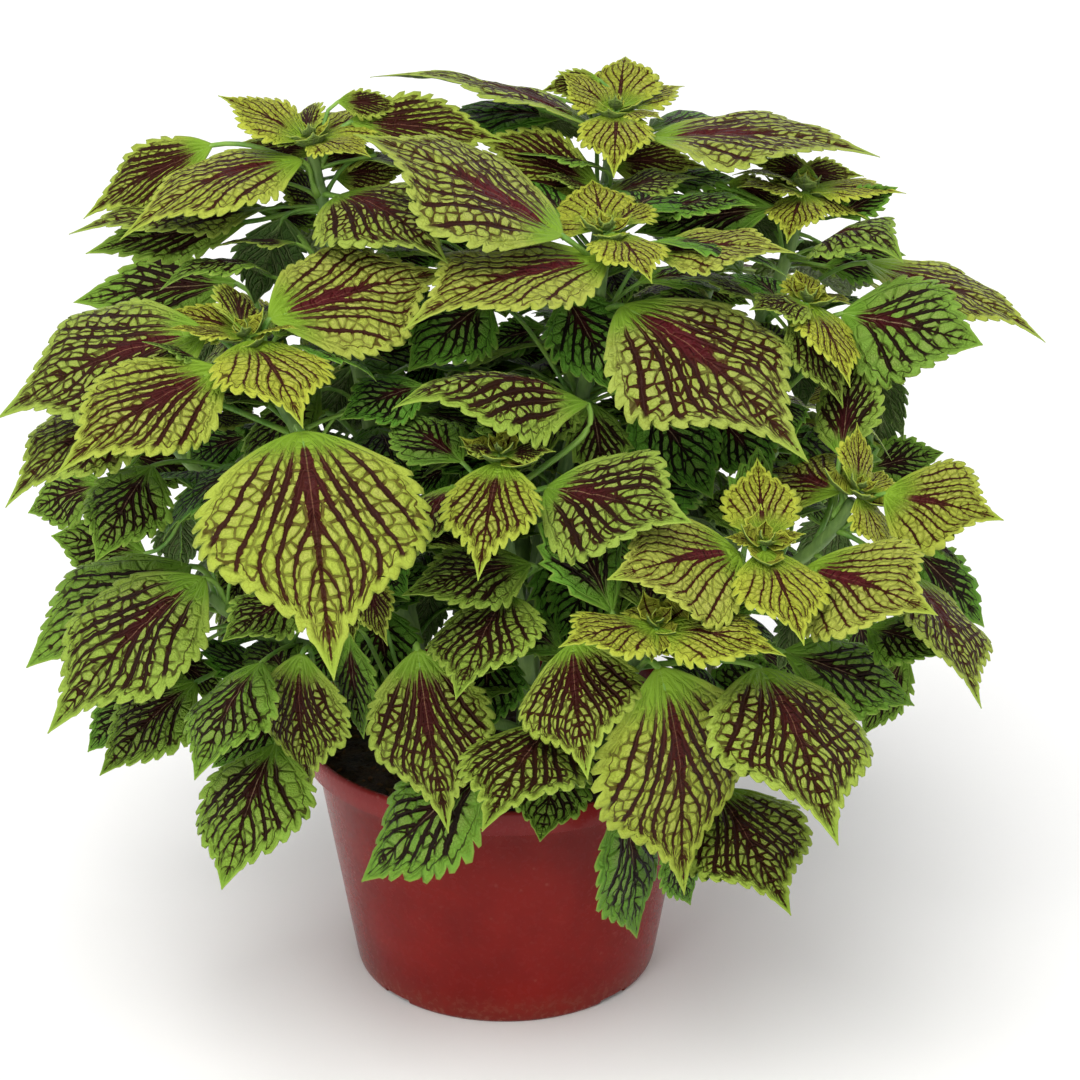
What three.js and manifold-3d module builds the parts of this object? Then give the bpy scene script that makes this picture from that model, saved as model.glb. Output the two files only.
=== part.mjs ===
// Potted coleus: a round nursery pot with its soil, four rooted plants that
// fork into green stems, and their leaves, modelled in millimetres.
// +Z is up and the origin is the middle of the underside of the pot.
import * as THREE from 'three';
import { mergeVertices } from 'three/addons/utils/BufferGeometryUtils.js';
import Module from 'manifold-3d';

// ---------------------------------------------------------------- dimensions
const POT_HEIGHT = 96;            // floor to lip
const POT_BASE_R = 57;            // outer radius at the foot
const POT_NECK_R = 71;            // outer radius just under the rim band
const RIM_R = 76.3;               // outer radius of the rim band
const RIM_BAND = 10;              // height of the rim band
const WALL = 2.1;                 // wall thickness
const FLOOR = 4;                  // floor thickness
const POT_SIDES = 40;
const SLOT_WIDTH = 13;            // drain slots under the foot
const SLOT_HEIGHT = 2;
const SLOT_INNER_R = 37;
const DRAIN_HOLE_R = 4;
const DRAIN_RING_R = 43;
const SLOT_ANGLES = [45, 135, 225, 315];
const SOIL_TOP = 84;              // level of the soil at the wall
const SOIL_CROWN = 1.6;           // how much it rises in the middle
const GAP = 0.4;                  // clearance between neighbouring pieces
const ROOT_BOTTOM = 73;           // the cut ends of the rooted stems
const COLLAR_HALF = 2.2;          // half height of a leaf pair's collar
const COLLAR_WALL = 1.9;
const STEM_SIDES = 6;
const BLADE_THICK = 1.1;          // at the midrib, thinning to the margins
const SHAPE_POWER = 0.76;         // where along its length a leaf is widest

// stems: centreline as a cubic Bezier, radius at the foot and at the apex,
// and the parameters of its cross-sections
const STEMS = [
  { id: 'B', node: 'stem_left', p: [[-28, -6, 80], [-28, -6, 159.52], [-61.08, -33.35, 193.38], [-83, -49, 256]], r0: 3.8, r1: 1.9, u: [0, 0.2042, 0.4083, 0.6125, 0.805, 0.945, 1] },
  { id: 'A', node: 'stem_left', p: [[-30.36, -7.94, 114.97], [-43.96, -9.26, 196.36], [-53.19, 13.1, 236.96], [-67, 20, 306]], r0: 3.2, r1: 1.9, u: [0, 0.2125, 0.425, 0.5912, 0.7575, 0.925, 1] },
  { id: 'V', node: 'stem_left', p: [[-28.95, -6.78, 102.56], [-42.07, -16.49, 137.64], [-77.84, -48.5, 138.34], [-100, -58, 170]], r0: 2.8, r1: 1.8, u: [0, 0.1656, 0.3312, 0.4969, 0.6625, 0.7975, 0.9325, 1] },
  { id: 'C', node: 'stem_back', p: [[8, 16, 80], [8, 16, 178.53], [31.64, 52.64, 224.38], [40, 61, 308]], r0: 3.8, r1: 1.9, u: [0, 0.2025, 0.405, 0.5988, 0.7925, 0.8775, 0.955, 1] },
  { id: 'D', node: 'stem_back', p: [[8.55, 16.84, 105.39], [15.23, 15.88, 180.46], [31.79, -2.58, 216.79], [35, -9, 281]], r0: 3.3, r1: 1.9, u: [0, 0.215, 0.43, 0.645, 0.8525, 0.9575, 1] },
  { id: 'F', node: 'stem_right', p: [[34, 4, 80], [34, 4, 172.39], [92.54, 32.27, 206.72], [108, 40, 284]], r0: 3.8, r1: 1.9, u: [0, 0.175, 0.35, 0.525, 0.6625, 0.8, 0.91, 1] },
  { id: 'G', node: 'stem_right', p: [[43.39, 8.54, 139.98], [64.68, 10.78, 191.36], [95.69, -4.34, 209.44], [105, -9, 256]], r0: 3, r1: 1.9, u: [0, 0.1844, 0.3688, 0.5531, 0.7375, 0.925, 1] },
  { id: 'I', node: 'stem_right', p: [[35.07, 4.52, 101.11], [54.58, -4.66, 159.11], [98.63, -49.32, 156.58], [118, -59, 205]], r0: 3.2, r1: 1.9, u: [0, 0.1835, 0.367, 0.5505, 0.734, 0.9175, 1] },
  { id: 'J', node: 'stem_right', p: [[50.99, -5.94, 131.79], [73.99, -35.18, 166.04], [76.22, -80.5, 163.12], [84, -98, 202]], r0: 3, r1: 1.9, u: [0, 0.1658, 0.3317, 0.4975, 0.6963, 0.895, 1] },
  { id: 'L', node: 'stem_front', p: [[6, -34, 80], [6, -34, 128.21], [40.62, -90.85, 140.09], [49, -116, 182]], r0: 3.6, r1: 1.9, u: [0, 0.1692, 0.3383, 0.5075, 0.6687, 0.83, 1] },
  { id: 'Q', node: 'stem_front', p: [[7.62, -36.69, 97.11], [12.97, -53.92, 149.19], [0, -59.42, 177.74], [0, -73, 223]], r0: 3.2, r1: 1.9, u: [0, 0.205, 0.41, 0.615, 0.7462, 0.8775, 1] },
  { id: 'K1', node: 'stem_left', p: [[-28.61, -6.51, 98.25], [-41.97, 3.63, 162.33], [-70.32, 50.32, 173.74], [-86, 66, 226]], r0: 3.2, r1: 1.9, u: [0, 0.2033, 0.4067, 0.61, 0.805, 1] },
  { id: 'K2', node: 'stem_back', p: [[8.95, 17.47, 113.35], [8.29, 37.61, 186.4], [-12, 95.26, 204.31], [-12, 108, 268]], r0: 3.2, r1: 1.9, u: [0, 0.1688, 0.3375, 0.5063, 0.675, 0.8375, 1] },
  { id: 'K3', node: 'stem_back', p: [[10.07, 19.18, 128.61], [26.12, 39.81, 187.63], [64.72, 88.72, 185.07], [80, 104, 236]], r0: 3, r1: 1.9, u: [0, 0.1733, 0.3467, 0.52, 0.68, 0.84, 1] },
  { id: 'K4', node: 'stem_back', p: [[8.54, 22.22, 127.91], [-4.88, 53.56, 174.25], [-43.22, 100.7, 153.41], [-56, 122, 196]], r0: 2.8, r1: 1.9, u: [0, 0.1542, 0.3083, 0.4625, 0.6417, 0.8208, 1] },
  { id: 'K5', node: 'stem_back', p: [[8.84, 19.38, 119.78], [12.88, 51.81, 170.12], [31.16, 111.2, 154.39], [38, 134, 200]], r0: 2.8, r1: 1.9, u: [0, 0.1825, 0.365, 0.5475, 0.6983, 0.8492, 1] },
  { id: 'K6', node: 'stem_right', p: [[38.08, 5.97, 120.3], [58.43, 23.28, 164.8], [94.51, 66.51, 147.28], [110, 82, 186]], r0: 2.8, r1: 1.9, u: [0, 0.22, 0.415, 0.61, 0.805, 1] },
  { id: 'K7', node: 'stem_left', p: [[-37.12, 2.13, 128.28], [-63.28, 18.32, 169.02], [-108.51, 20.1, 167.01], [-128, 24, 206]], r0: 2.8, r1: 1.9, u: [0, 0.1837, 0.3675, 0.5783, 0.7892, 1] },
  { id: 'P', node: 'stem_front', p: [[8.41, -38, 100.62], [27.76, -58.17, 127.42], [65.39, -86.16, 92.78], [80, -92, 122]], r0: 2.5, r1: 1.4, u: [0, 0.19, 0.38, 0.57, 0.76, 0.95, 1] },
  { id: 'U', node: 'stem_left', p: [[-35.69, -12.05, 115.45], [-51.02, -30.91, 131.86], [-59.25, -64.01, 108.52], [-66, -73, 131]], r0: 2.4, r1: 1.4, u: [0, 0.19, 0.38, 0.57, 0.76, 0.95, 1] },
  { id: 'O', node: 'stem_front', p: [[8.29, -39.19, 104.75], [2.01, -51.93, 128.61], [-27.52, -71.28, 117.61], [-32, -78, 140]], r0: 2.5, r1: 1.4, u: [0, 0.19, 0.38, 0.57, 0.76, 0.95, 1] },
];

// the nodes of the stems where leaf pairs sit
const COLLARS = [
  { node: 'leaves_a1', stem: 'A', u: 0.925 },
  { node: 'leaves_a2', stem: 'A', u: 0.7575 },
  { node: 'leaves_b1', stem: 'B', u: 0.945 },
  { node: 'leaves_b2', stem: 'B', u: 0.805 },
  { node: 'leaves_b3', stem: 'B', u: 0.6125 },
  { node: 'leaves_c1', stem: 'C', u: 0.955 },
  { node: 'leaves_c2', stem: 'C', u: 0.8775 },
  { node: 'leaves_c3', stem: 'C', u: 0.7925 },
  { node: 'leaves_d1', stem: 'D', u: 0.9575 },
  { node: 'leaves_d2', stem: 'D', u: 0.8525 },
  { node: 'leaves_d3', stem: 'D', u: 0.648 },
  { node: 'leaves_c4', stem: 'C', u: 0.405 },
  { node: 'leaves_a3', stem: 'A', u: 0.425 },
  { node: 'leaves_f3', stem: 'F', u: 0.525 },
  { node: 'leaves_f1', stem: 'F', u: 0.91 },
  { node: 'leaves_f2', stem: 'F', u: 0.8 },
  { node: 'leaves_g1', stem: 'G', u: 0.925 },
  { node: 'leaves_g2', stem: 'G', u: 0.7375 },
  { node: 'leaves_i1', stem: 'I', u: 0.9175 },
  { node: 'leaves_j1', stem: 'J', u: 0.895 },
  { node: 'leaves_j2', stem: 'J', u: 0.4975 },
  { node: 'leaves_l1', stem: 'L', u: 0.83 },
  { node: 'leaves_l2', stem: 'L', u: 0.5075 },
  { node: 'leaves_p1', stem: 'P', u: 1 },
  { node: 'leaves_q1', stem: 'Q', u: 0.8775 },
  { node: 'leaves_q2', stem: 'Q', u: 0.615 },
  { node: 'leaves_v1', stem: 'V', u: 0.9325 },
  { node: 'leaves_v2', stem: 'V', u: 0.6625 },
  { node: 'leaves_u1', stem: 'U', u: 1 },
  { node: 'leaves_o1', stem: 'O', u: 1 },
  { node: 'leaves_r1', stem: 'K1', u: 0.61 },
  { node: 'leaves_s1', stem: 'K2', u: 0.675 },
  { node: 'leaves_t1', stem: 'K3', u: 0.52 },
  { node: 'leaves_w1', stem: 'K4', u: 0.4625 },
  { node: 'leaves_x1', stem: 'K5', u: 0.5475 },
  { node: 'leaves_y1', stem: 'K6', u: 0.22 },
  { node: 'leaves_z1', stem: 'K7', u: 0.3675 },
];

// growing points with their rosettes
const TIPS = [
  { node: 'tip_a', stem: 'A' },
  { node: 'tip_b', stem: 'B' },
  { node: 'tip_c', stem: 'C' },
  { node: 'tip_d', stem: 'D' },
  { node: 'tip_f', stem: 'F' },
  { node: 'tip_g', stem: 'G' },
  { node: 'tip_i', stem: 'I' },
  { node: 'tip_j', stem: 'J' },
  { node: 'tip_l', stem: 'L' },
  { node: 'tip_q', stem: 'Q' },
  { node: 'tip_r', stem: 'K1' },
  { node: 'tip_s', stem: 'K2' },
  { node: 'tip_t', stem: 'K3' },
  { node: 'tip_w', stem: 'K4' },
  { node: 'tip_x', stem: 'K5' },
  { node: 'tip_y', stem: 'K6' },
  { node: 'tip_z', stem: 'K7' },
];

// leaves: name, node, blade base, blade tip, width, roll about the blade's
// axis (deg), arch at the base and at the tip (deg), fold of the left and
// right half (deg), sideways curl, twist (deg), 1 for a rosette leaf
const LEAVES = [
  ['A1', 'tip_a', [-70.09, 16.37, 311.81], [-99.75, 26, 324.33], 25.7, -19.94, 10, 12, 10, 10, 0.25, 0, 1],
  ['A2', 'tip_a', [-67.74, 26.48, 310.74], [-40.16, 46, 313.95], 27.69, 10, 15, 15, 8, 8, 0.25, 0, 1],
  ['A3', 'tip_a', [-66.19, 15.58, 309.98], [-44.78, -0.95, 308.29], 23.14, 6, 15.86, 20, 8, 8, 0.25, 0, 1],
  ['A4', 'tip_a', [-69.74, 26, 310.91], [-68.06, 50, 316.76], 13.99, -30, 15, 30, 8, 8, 0.25, 0, 1],
  ['A5', 'tip_a', [-71.12, 22.86, 307.37], [-89.42, 16.82, 309.29], 12.6, 3.65, 15, 28.08, 8, 8, 0.25, 0, 1],
  ['A6', 'leaves_a1', [-70.15, 16, 303.86], [-130.3, -14, 282.52], 46.85, -10, 24, 22, 6, 6, 0.25, 0, 0],
  ['A7', 'leaves_a2', [-85.71, 30, 283.38], [-151.84, 8, 279.06], 53.94, -2, 14, 14, 8, 8, 0.25, 0, 0],
  ['A8', 'leaves_a1', [-57.78, 14, 291.53], [-17.73, -34, 279.75], 50.93, 13, 25, 20, 4, 4, 0.25, 0, 0],
  ['A9', 'leaves_a2', [-71.89, 2, 277.72], [-100.55, -8, 278.17], 15.35, 6, 10, 20, 8, 8, 0.25, 0, 0],
  ['A10', 'leaves_a2', [-80.48, 0, 266.44], [-117.31, -16, 265.46], 31.18, 5, 40, 35, 10, 10, 0.25, 0, 0],
  ['B1', 'leaves_b1', [-76.82, -45.96, 264.1], [-16.49, -15.67, 272.13], 55.12, 28, 11.1, 11.32, 4, 4, 0.25, 0, 0],
  ['B2', 'tip_b', [-85.85, -42.59, 259.67], [-113.7, -26.9, 261.7], 19.82, -24.75, 7.33, 14, 8, 8, 0.25, 0, 1],
  ['B3', 'tip_b', [-86.74, -52, 259.39], [-109.88, -62.15, 265.11], 15.44, -4, 12, 14, 8, 8, 0.25, 0, 1],
  ['B4', 'tip_b', [-81.72, -56, 258.53], [-61.42, -101, 244.23], 39.77, 0, 16, 20, 6, 6, 0.25, 0, 1],
  ['B5', 'tip_b', [-86.18, -50.39, 262.86], [-95.81, -14.91, 267.82], 18.35, 30, 11.46, 22.98, 8, 8, 0.25, 0, 1],
  ['B6', 'tip_b', [-78.7, -52, 262.13], [-65.36, -60, 264.48], 8.79, 0, 10, 25, 8, 8, 0.25, 0, 1],
  ['L1', 'leaves_b1', [-97.64, -49.23, 260.52], [-165.82, -63.45, 234.84], 65.04, -26, 22, 20.05, 4, 4, 0.25, 0, 0],
  ['L2', 'leaves_b1', [-91.01, -68, 254], [-138.23, -110, 231.78], 44.43, -24, 14, 22, 8, 8, 0.25, 0, 0],
  ['L3', 'leaves_b2', [-118.93, -40, 235.43], [-163.89, -70, 206.19], 42.96, -12, 16, 24, 8, 8, 0.25, 0, 0],
  ['L4', 'leaves_b3', [-120.01, -38, 209.61], [-135.52, -69, 186.54], 31.62, -15, 24, 10, 4, 4, 0.25, 0, 0],
  ['L5', 'leaves_b1', [-97.16, -60.61, 253.5], [-115.51, -70, 263.39], 14.48, 0, 10, 10.27, 8, 8, 0.25, 0, 0],
  ['C1', 'tip_c', [42.6, 61.24, 314.33], [45.33, 97.66, 325.1], 29.99, -4.76, -3.19, 22.01, 6, 6, 0.25, 0, 1],
  ['C2', 'tip_c', [38.93, 57.34, 313.72], [19.66, 66.06, 325.64], 24.53, -15.72, 6.91, 11.42, 8, 8, 0.25, 0, 1],
  ['C3', 'tip_c', [41.9, 53.91, 313.12], [39.03, 22.73, 295.81], 27.4, 0, 22, 25.1, 8, 8, 0.25, 0, 1],
  ['C4', 'tip_c', [45.21, 64, 313.25], [67.37, 92.82, 314.86], 18.43, 8, 8, 14, 8, 8, 0.25, 0, 1],
  ['C5', 'tip_c', [45.81, 58.26, 312.53], [57.27, 46.77, 311.63], 13.6, 3.22, 8.5, 19.06, 8, 8, 0.25, 0, 1],
  ['C6', 'leaves_c1', [34.89, 54.34, 305.56], [-49.42, 70.83, 322.21], 44.58, 6, 18, 20, 12, 12, 0.25, 0, 0],
  ['C7', 'leaves_c1', [52.83, 50, 304.4], [133.97, 32, 301.04], 57.62, 7, 12, 16, 10, 10, 0.25, 0, 0],
  ['C8', 'leaves_c2', [22.85, 96, 309.16], [-11.87, 86, 296], 30.75, -20, 16, 14, 8, 8, 0.25, 0, 0],
  ['C9', 'leaves_c2', [36.85, 44, 294.01], [4.05, 38, 301.17], 20.67, 4, 18, 10, 8, 8, 0.25, 0, 0],
  ['C10', 'leaves_c2', [36.02, 36, 284.87], [70.88, 44, 291.07], 27.78, 6, 20, 20, 8, 8, 0.25, 0, 0],
  ['C11', 'leaves_c2', [33.8, 34, 286.81], [13, 30, 295], 17.38, -6, 20, 20, 8, 8, 0.25, 0, 0],
  ['C12', 'leaves_c3', [52.91, 26, 282.17], [88.8, 14, 287.96], 24.22, 10, 20, 20, 8, 8, 0.25, 0, 0],
  ['C13', 'leaves_c3', [53.57, 60, 284.42], [87.95, 66, 284.53], 21.32, 14, 18, 20, 8, 8, 0.25, 0, 0],
  ['D1', 'tip_d', [34.54, -5.00, 285.41], [31.56, 32, 293.09], 30.16, 0.05, 4, 12, 4, 4, 0.25, 0, 1],
  ['D2', 'tip_d', [40.8, -14.3, 285.1], [50.01, -45, 275.87], 25.96, 0, 12, 20, 8, 8, 0.25, 0, 1],
  ['D3', 'tip_d', [32.1, -8, 286.3], [18.62, 14, 285.81], 20.52, -20, 8, 14, 8, 8, 0.25, 0, 1],
  ['D4', 'tip_d', [41.7, -3, 286.8], [51.16, 20, 287.24], 18.99, 0, 8, 20, 8, 8, 0.25, 0, 1],
  ['D5', 'tip_d', [36.4, -17.2, 282.9], [35.92, -27.15, 277.7], 13.76, 0.92, 20.76, 20, 8, 8, 0.25, 0, 1],
  ['D6', 'leaves_d1', [20.71, -20.15, 285.82], [-50.18, -9.49, 318.02], 65.51, -14.1, 8, 17.53, 4, 4, 0.25, 0, 0],
  ['D7', 'leaves_d1', [34.73, -14.51, 276.08], [-31.86, -57.15, 263.07], 56.36, -10.57, 11.15, 26, 14, 14, 0.25, 0, 0],
  ['D8', 'leaves_d2', [51.41, -11.94, 277.97], [99.62, -24.94, 280.74], 38.47, 10.29, 12, 16, 10, 10, 0.25, 0, 0],
  ['D9', 'leaves_d2', [40.98, -22, 261.84], [100.7, -74, 223.4], 69.95, 14, 22, 14, 4, 4, 0.25, 0, 0],
  ['E1', 'leaves_q1', [29.02, -47.94, 235.28], [-34.64, -79.45, 243.33], 48.91, 10.43, 30, 31.72, 6, -40, 0.25, 0, 0],
  ['F1', 'tip_f', [109.29, 44.99, 288.54], [81.84, 36.09, 293.72], 17.02, 2.89, 20, 28.02, 8, 8, 0.25, 0, 1],
  ['F2', 'tip_f', [106.43, 36, 287.06], [82.6, 22, 292.52], 19.38, -8, 10, 20, 8, 8, 0.25, 0, 1],
  ['F3', 'tip_f', [106.96, 34, 286.81], [99.66, 9, 275.57], 21.86, 0, 16, 20, 8, 8, 0.25, 0, 1],
  ['F4', 'tip_f', [112.55, 40, 288.32], [144.11, 32.59, 287.91], 20.1, 9.99, 14.58, 10, 8, 8, 0.25, 0, 1],
  ['F5', 'tip_f', [111.52, 36, 285.6], [130.11, 27.73, 279.67], 18.78, 11.84, 15, 20, 8, 8, 0.25, 0, 1],
  ['F6', 'leaves_f1', [96.43, 34, 280.22], [72.95, 42, 290.06], 13.45, 6, 10, 16, 8, 8, 0.25, 0, 0],
  ['G1', 'leaves_f1', [109.85, 20, 268.37], [138.03, -9, 273.12], 37.1, 13, 44, 64, 4, 4, 0.25, 0, 0],
  ['G2', 'leaves_f2', [129.12, 19.43, 266.12], [189.67, -6, 243.92], 47.04, 4, 10, 20.12, 8, 8, 0.25, 0, 0],
  ['G5', 'tip_g', [106.77, -13, 260.72], [116.94, -45.86, 240.05], 25.42, -16.27, 11.54, 14, 8, 8, 0.25, 0, 1],
  ['G6', 'tip_g', [105.7, -10, 260.59], [103.07, 8, 266.45], 15.18, 0, 8, 14, 8, 8, 0.25, 0, 1],
  ['G7', 'tip_g', [103.6, -18.1, 261.47], [83.68, -29.5, 262.36], 23.43, -12.86, 14.42, 12, 8, 8, 0.25, 0, 1],
  ['G8', 'tip_g', [109.7, -7.51, 258.37], [119.74, 19.52, 253.87], 17.58, 0, 11.2, 14, 8, 8, 0.25, 0, 1],
  ['G9', 'leaves_g1', [99.77, -16, 255.86], [116.17, -36, 229.83], 25.53, 16.58, 18, 15.61, 6, 6, 0.25, 0, 0],
  ['G3', 'leaves_g1', [117.98, -7.17, 254.94], [162.63, -34.93, 251.79], 45.85, 42.06, 10.08, 8.94, 4, 4, 0.25, 0, 0],
  ['G4', 'leaves_g2', [123.5, -12, 244.63], [139.41, -22, 213.55], 22.04, -50, 10, 20, 8, 8, 0.25, 0, 0],
  ['I1', 'tip_i', [118.92, -61.41, 210.39], [120.33, -41.72, 226.53], 17.43, 18, 6, 10, 8, 8, 0.25, 0, 1],
  ['I2', 'tip_i', [119.63, -65.31, 207.45], [129.04, -75.94, 189.59], 23.75, -5.45, 9.24, 10.65, 8, 8, 0.25, 0, 1],
  ['I3', 'tip_i', [123.21, -56.71, 206.08], [130.82, -38.85, 208.34], 17.13, -0.44, 4.06, 10, 8, 8, 0.25, 0, 1],
  ['I5', 'leaves_i1', [128.07, -62.16, 208.47], [163.98, -84.67, 207.27], 40.1, 34, 5.95, 11.91, 4, 4, 0.25, 0, 0],
  ['I6', 'leaves_i1', [114.09, -57.67, 207.14], [93.15, -7.49, 195.96], 37.65, -27.93, 11.6, 14.61, 4, 4, 0.25, 0, 0],
  ['H1', 'leaves_i1', [114.9, -44, 215.7], [123.36, -13.36, 241.58], 26.4, -31.47, -1.9, 20.79, 4, 4, 0.25, 0, 0],
  ['K1', 'leaves_i1', [135.24, -70.22, 182.78], [154.56, -117.06, 154.93], 43.44, -26, 22.64, 8, 10, 10, 0.25, 0, 0],
  ['I7', 'leaves_i1', [146.21, -50, 187.06], [156.7, -56, 178.8], 6.7, 0, 18, 18, 8, 8, 0.25, 0, 0],
  ['J1', 'tip_j', [84.83, -98, 206.37], [84.7, -66, 222.33], 25.68, 0, 4, 10, 6, 6, 0.25, 0, 1],
  ['J2', 'tip_j', [85.26, -102.79, 202.03], [94.58, -137, 185.67], 31.17, -0.53, 8, 17.01, 6, 6, 0.25, 0, 1],
  ['J3', 'tip_j', [82.76, -100, 205.77], [72.05, -98.51, 206.67], 6.91, -21.28, 15.56, 18, 8, 8, 0.25, 0, 1],
  ['J4', 'tip_j', [87.88, -100, 205.77], [98.48, -96, 206.97], 6.95, 20, 18, 18, 8, 8, 0.25, 0, 1],
  ['J5', 'leaves_j1', [77.07, -97.1, 200.77], [33.89, -120.91, 201.03], 51.13, -27.78, 17.8, 13.63, 4, 4, 0.25, 0, 0],
  ['J6', 'leaves_j1', [99.23, -93.01, 194.07], [135.75, -135, 194.89], 47.77, 28, 9.95, 13.84, 4, 4, 0.25, 0, 0],
  ['K2', 'leaves_j2', [93.31, -92, 163.81], [136.51, -96, 146.11], 36.85, 24, 10, 16, 6, 6, 0.25, 0, 0],
  ['K3', 'leaves_j2', [122.28, -80, 167.25], [146.77, -101.31, 166.45], 26.08, 24, 10.93, 16, 8, 8, 0.25, 0, 0],
  ['M11', 'tip_l', [47.98, -120.14, 183.89], [18.65, -146.33, 189.08], 29.59, -12.3, 16, 16, 4, 4, 0.25, 0, 1],
  ['M12', 'tip_l', [51.53, -120, 183.05], [89.26, -136, 181.52], 32.31, 10, 14, 16, 6, 6, 0.25, 0, 1],
  ['M13', 'tip_l', [49.7, -118, 184.25], [52.36, -89, 179.67], 22.91, 0, 4, 20, 8, 8, 0.25, 0, 1],
  ['M14', 'tip_l', [49.37, -125.84, 184.16], [47.8, -134.4, 179.03], 13.93, 6.77, 18.57, 22.73, 8, 8, 0.25, 0, 1],
  ['M15', 'tip_l', [52.41, -116.66, 180.09], [58.78, -134.67, 177.33], 18.65, -5.82, 12, 20, 8, 8, 0.25, 0, 1],
  ['M1', 'leaves_l1', [50.4, -120.91, 171.15], [60.55, -117.35, 87.37], 59.9, 0, 31.06, 4, 2, 2, 0.25, 0, 0],
  ['M2', 'leaves_l1', [84.43, -104, 163.43], [104.59, -163, 130.01], 56.82, -8, 24, 4, 4, 4, 0.25, 0, 0],
  ['N1', 'leaves_l1', [23.99, -104, 172.63], [27.92, -148, 145.06], 42.01, 24, 24, 14, -4, -4, 0.25, 0, 0],
  ['M3', 'leaves_p1', [73.01, -79.68, 106.92], [94.28, -135, 89.43], 44.76, 11.03, 20, 4.63, 4, 4, 0.25, 0, 0],
  ['M4', 'leaves_p1', [38.3, -100, 117.17], [46.29, -88, 53.78], 42.72, -21, 20, 4, 6, 6, 0.25, 0, 0],
  ['M5', 'leaves_p1', [56.36, -92, 97.98], [64.86, -86, 65.67], 23.42, 0, 20, 4, 8, 8, 0.25, 0, 0],
  ['Q1', 'tip_q', [-0.03, -78, 223.08], [-6.34, -121.68, 201.07], 32.67, 0, 14, 16.55, 6, 6, 0.25, 0, 1],
  ['Q2', 'tip_q', [-1.34, -76, 226.52], [-13.44, -74, 228.93], 6.98, -10, 18, 18, 8, 8, 0.25, 0, 1],
  ['Q3', 'tip_q', [3.87, -76, 226.52], [18.21, -76, 227.9], 10.98, 16, 18, 18, 8, 8, 0.25, 0, 1],
  ['Q4', 'tip_q', [2.53, -72, 227.89], [7.61, -43, 236.4], 24.49, 0, 4, 10, 8, 8, 0.25, 0, 1],
  ['R1', 'leaves_q1', [14.97, -74, 214.69], [60.7, -116.57, 218.37], 48.01, 34.33, 12.7, 14, 2, 2, 0.25, 0, 0],
  ['R2', 'leaves_q1', [-15.97, -72, 214.66], [-25.76, -107, 203.72], 30.28, 14, 20, 14, 4, 4, 0.25, 0, 0],
  ['S3', 'leaves_q1', [-12.79, -66, 220.93], [-38.4, -43, 228.59], 27.42, -14, 12, 14, 8, 8, 0.25, 0, 0],
  ['R3', 'leaves_q2', [9.7, -80, 190.21], [-31.78, -96, 185.41], 32.88, -20, 14, 14, 4, 4, 0.25, 0, 0],
  ['P1', 'leaves_q2', [2.39, -80, 178.79], [-13.59, -126, 162.21], 40.99, 10, 16, 10, 8, 8, 0.25, 0, 0],
  ['S1', 'leaves_b2', [-62.8, -94, 240.87], [-48.46, -165, 186.55], 73.94, 0, 40, 6, 0, 0, 0.3, 0, 0],
  ['S2', 'leaves_o1', [-43.55, -84, 186.85], [-36.45, -100, 169.47], 14.88, 30, 10, 10, 8, 8, 0.25, 0, 0],
  ['S4', 'leaves_v2', [-49.98, -80, 178.79], [-48.29, -90, 166.53], 9.6, 0, 10, 10, 8, 8, 0.25, 0, 0],
  ['V1', 'leaves_u1', [-65.7, -87.4, 161.27], [-64.15, -91.9, 111.8], 37.34, -0.98, 23.3, 8.3, 4, 4, 0.25, 0, 0],
  ['V2', 'leaves_u1', [-76.61, -80, 124.43], [-90.99, -125, 93.39], 44.39, 8, 20, 4, 4, 4, 0.25, 0, 0],
  ['V3', 'leaves_v2', [-80.34, -80.02, 154.69], [-99.5, -114.32, 127.93], 40.29, 16, 19.42, 8, 6, 6, 0.25, 0, 0],
  ['V4', 'leaves_v2', [-106.26, -56, 136.59], [-137.52, -78, 111.33], 36.14, -14, 20, 8, 8, 8, 0.25, 0, 0],
  ['V5', 'leaves_v1', [-101.28, -58, 176.3], [-150.21, -96, 135.88], 58.48, -12, 22, 10, 10, 10, 0.25, 0, 0],
  ['V6', 'leaves_v1', [-109.17, -36, 171.9], [-161.8, -68.23, 147.29], 54.86, -14.01, 17.97, 16, 8, 8, 0.25, 0, 0],
  ['V7', 'leaves_v1', [-66.14, -84, 180.44], [-89.26, -108, 174.37], 26.68, -14, 16, 10, 8, 8, 0.25, 0, 0],
  ['V8', 'leaves_v1', [-110.49, -40, 189.84], [-109.78, -50, 177.5], 11.19, 40, 10, 10, 8, 8, 0.25, 0, 0],
  ['W1', 'leaves_o1', [-50.04, -84.97, 166.65], [-45.74, -91.64, 132.05], 21.02, 20, 10.52, 6.99, 8, 8, 0.25, 0, 0],
  ['O1', 'leaves_o1', [-27.03, -94.95, 165.93], [-17.31, -108.48, 105.54], 42.76, 0, 24, 6, 2, 2, 0.25, 0, 0],
  ['O2', 'leaves_l2', [-0.96, -98, 126.54], [-47.82, -92, 78.01], 42.95, -5, 16, 10, 2, 2, 0.25, 0, 0],
  ['N2', 'leaves_l2', [18.39, -95.86, 139.16], [-4.7, -165.5, 136.06], 44.03, 0.19, 22, 9.76, 2, 2, 0.25, 0, 0],
  ['N3', 'leaves_l2', [19.68, -94, 125.31], [13, -125, 111.06], 27.47, 0, 16, 8, 8, 8, 0.25, 0, 0],
  ['X1', 'leaves_d3', [48.09, -13.3, 227.24], [72.63, -36.2, 196.83], 36.17, 31.52, 18, 18, 8, 8, 0.25, 0, 0],
  ['X2', 'leaves_g2', [73.63, -8, 220.67], [93.57, -30, 199.42], 27.95, 28, 18, 18, 8, 8, 0.25, 0, 0],
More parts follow.
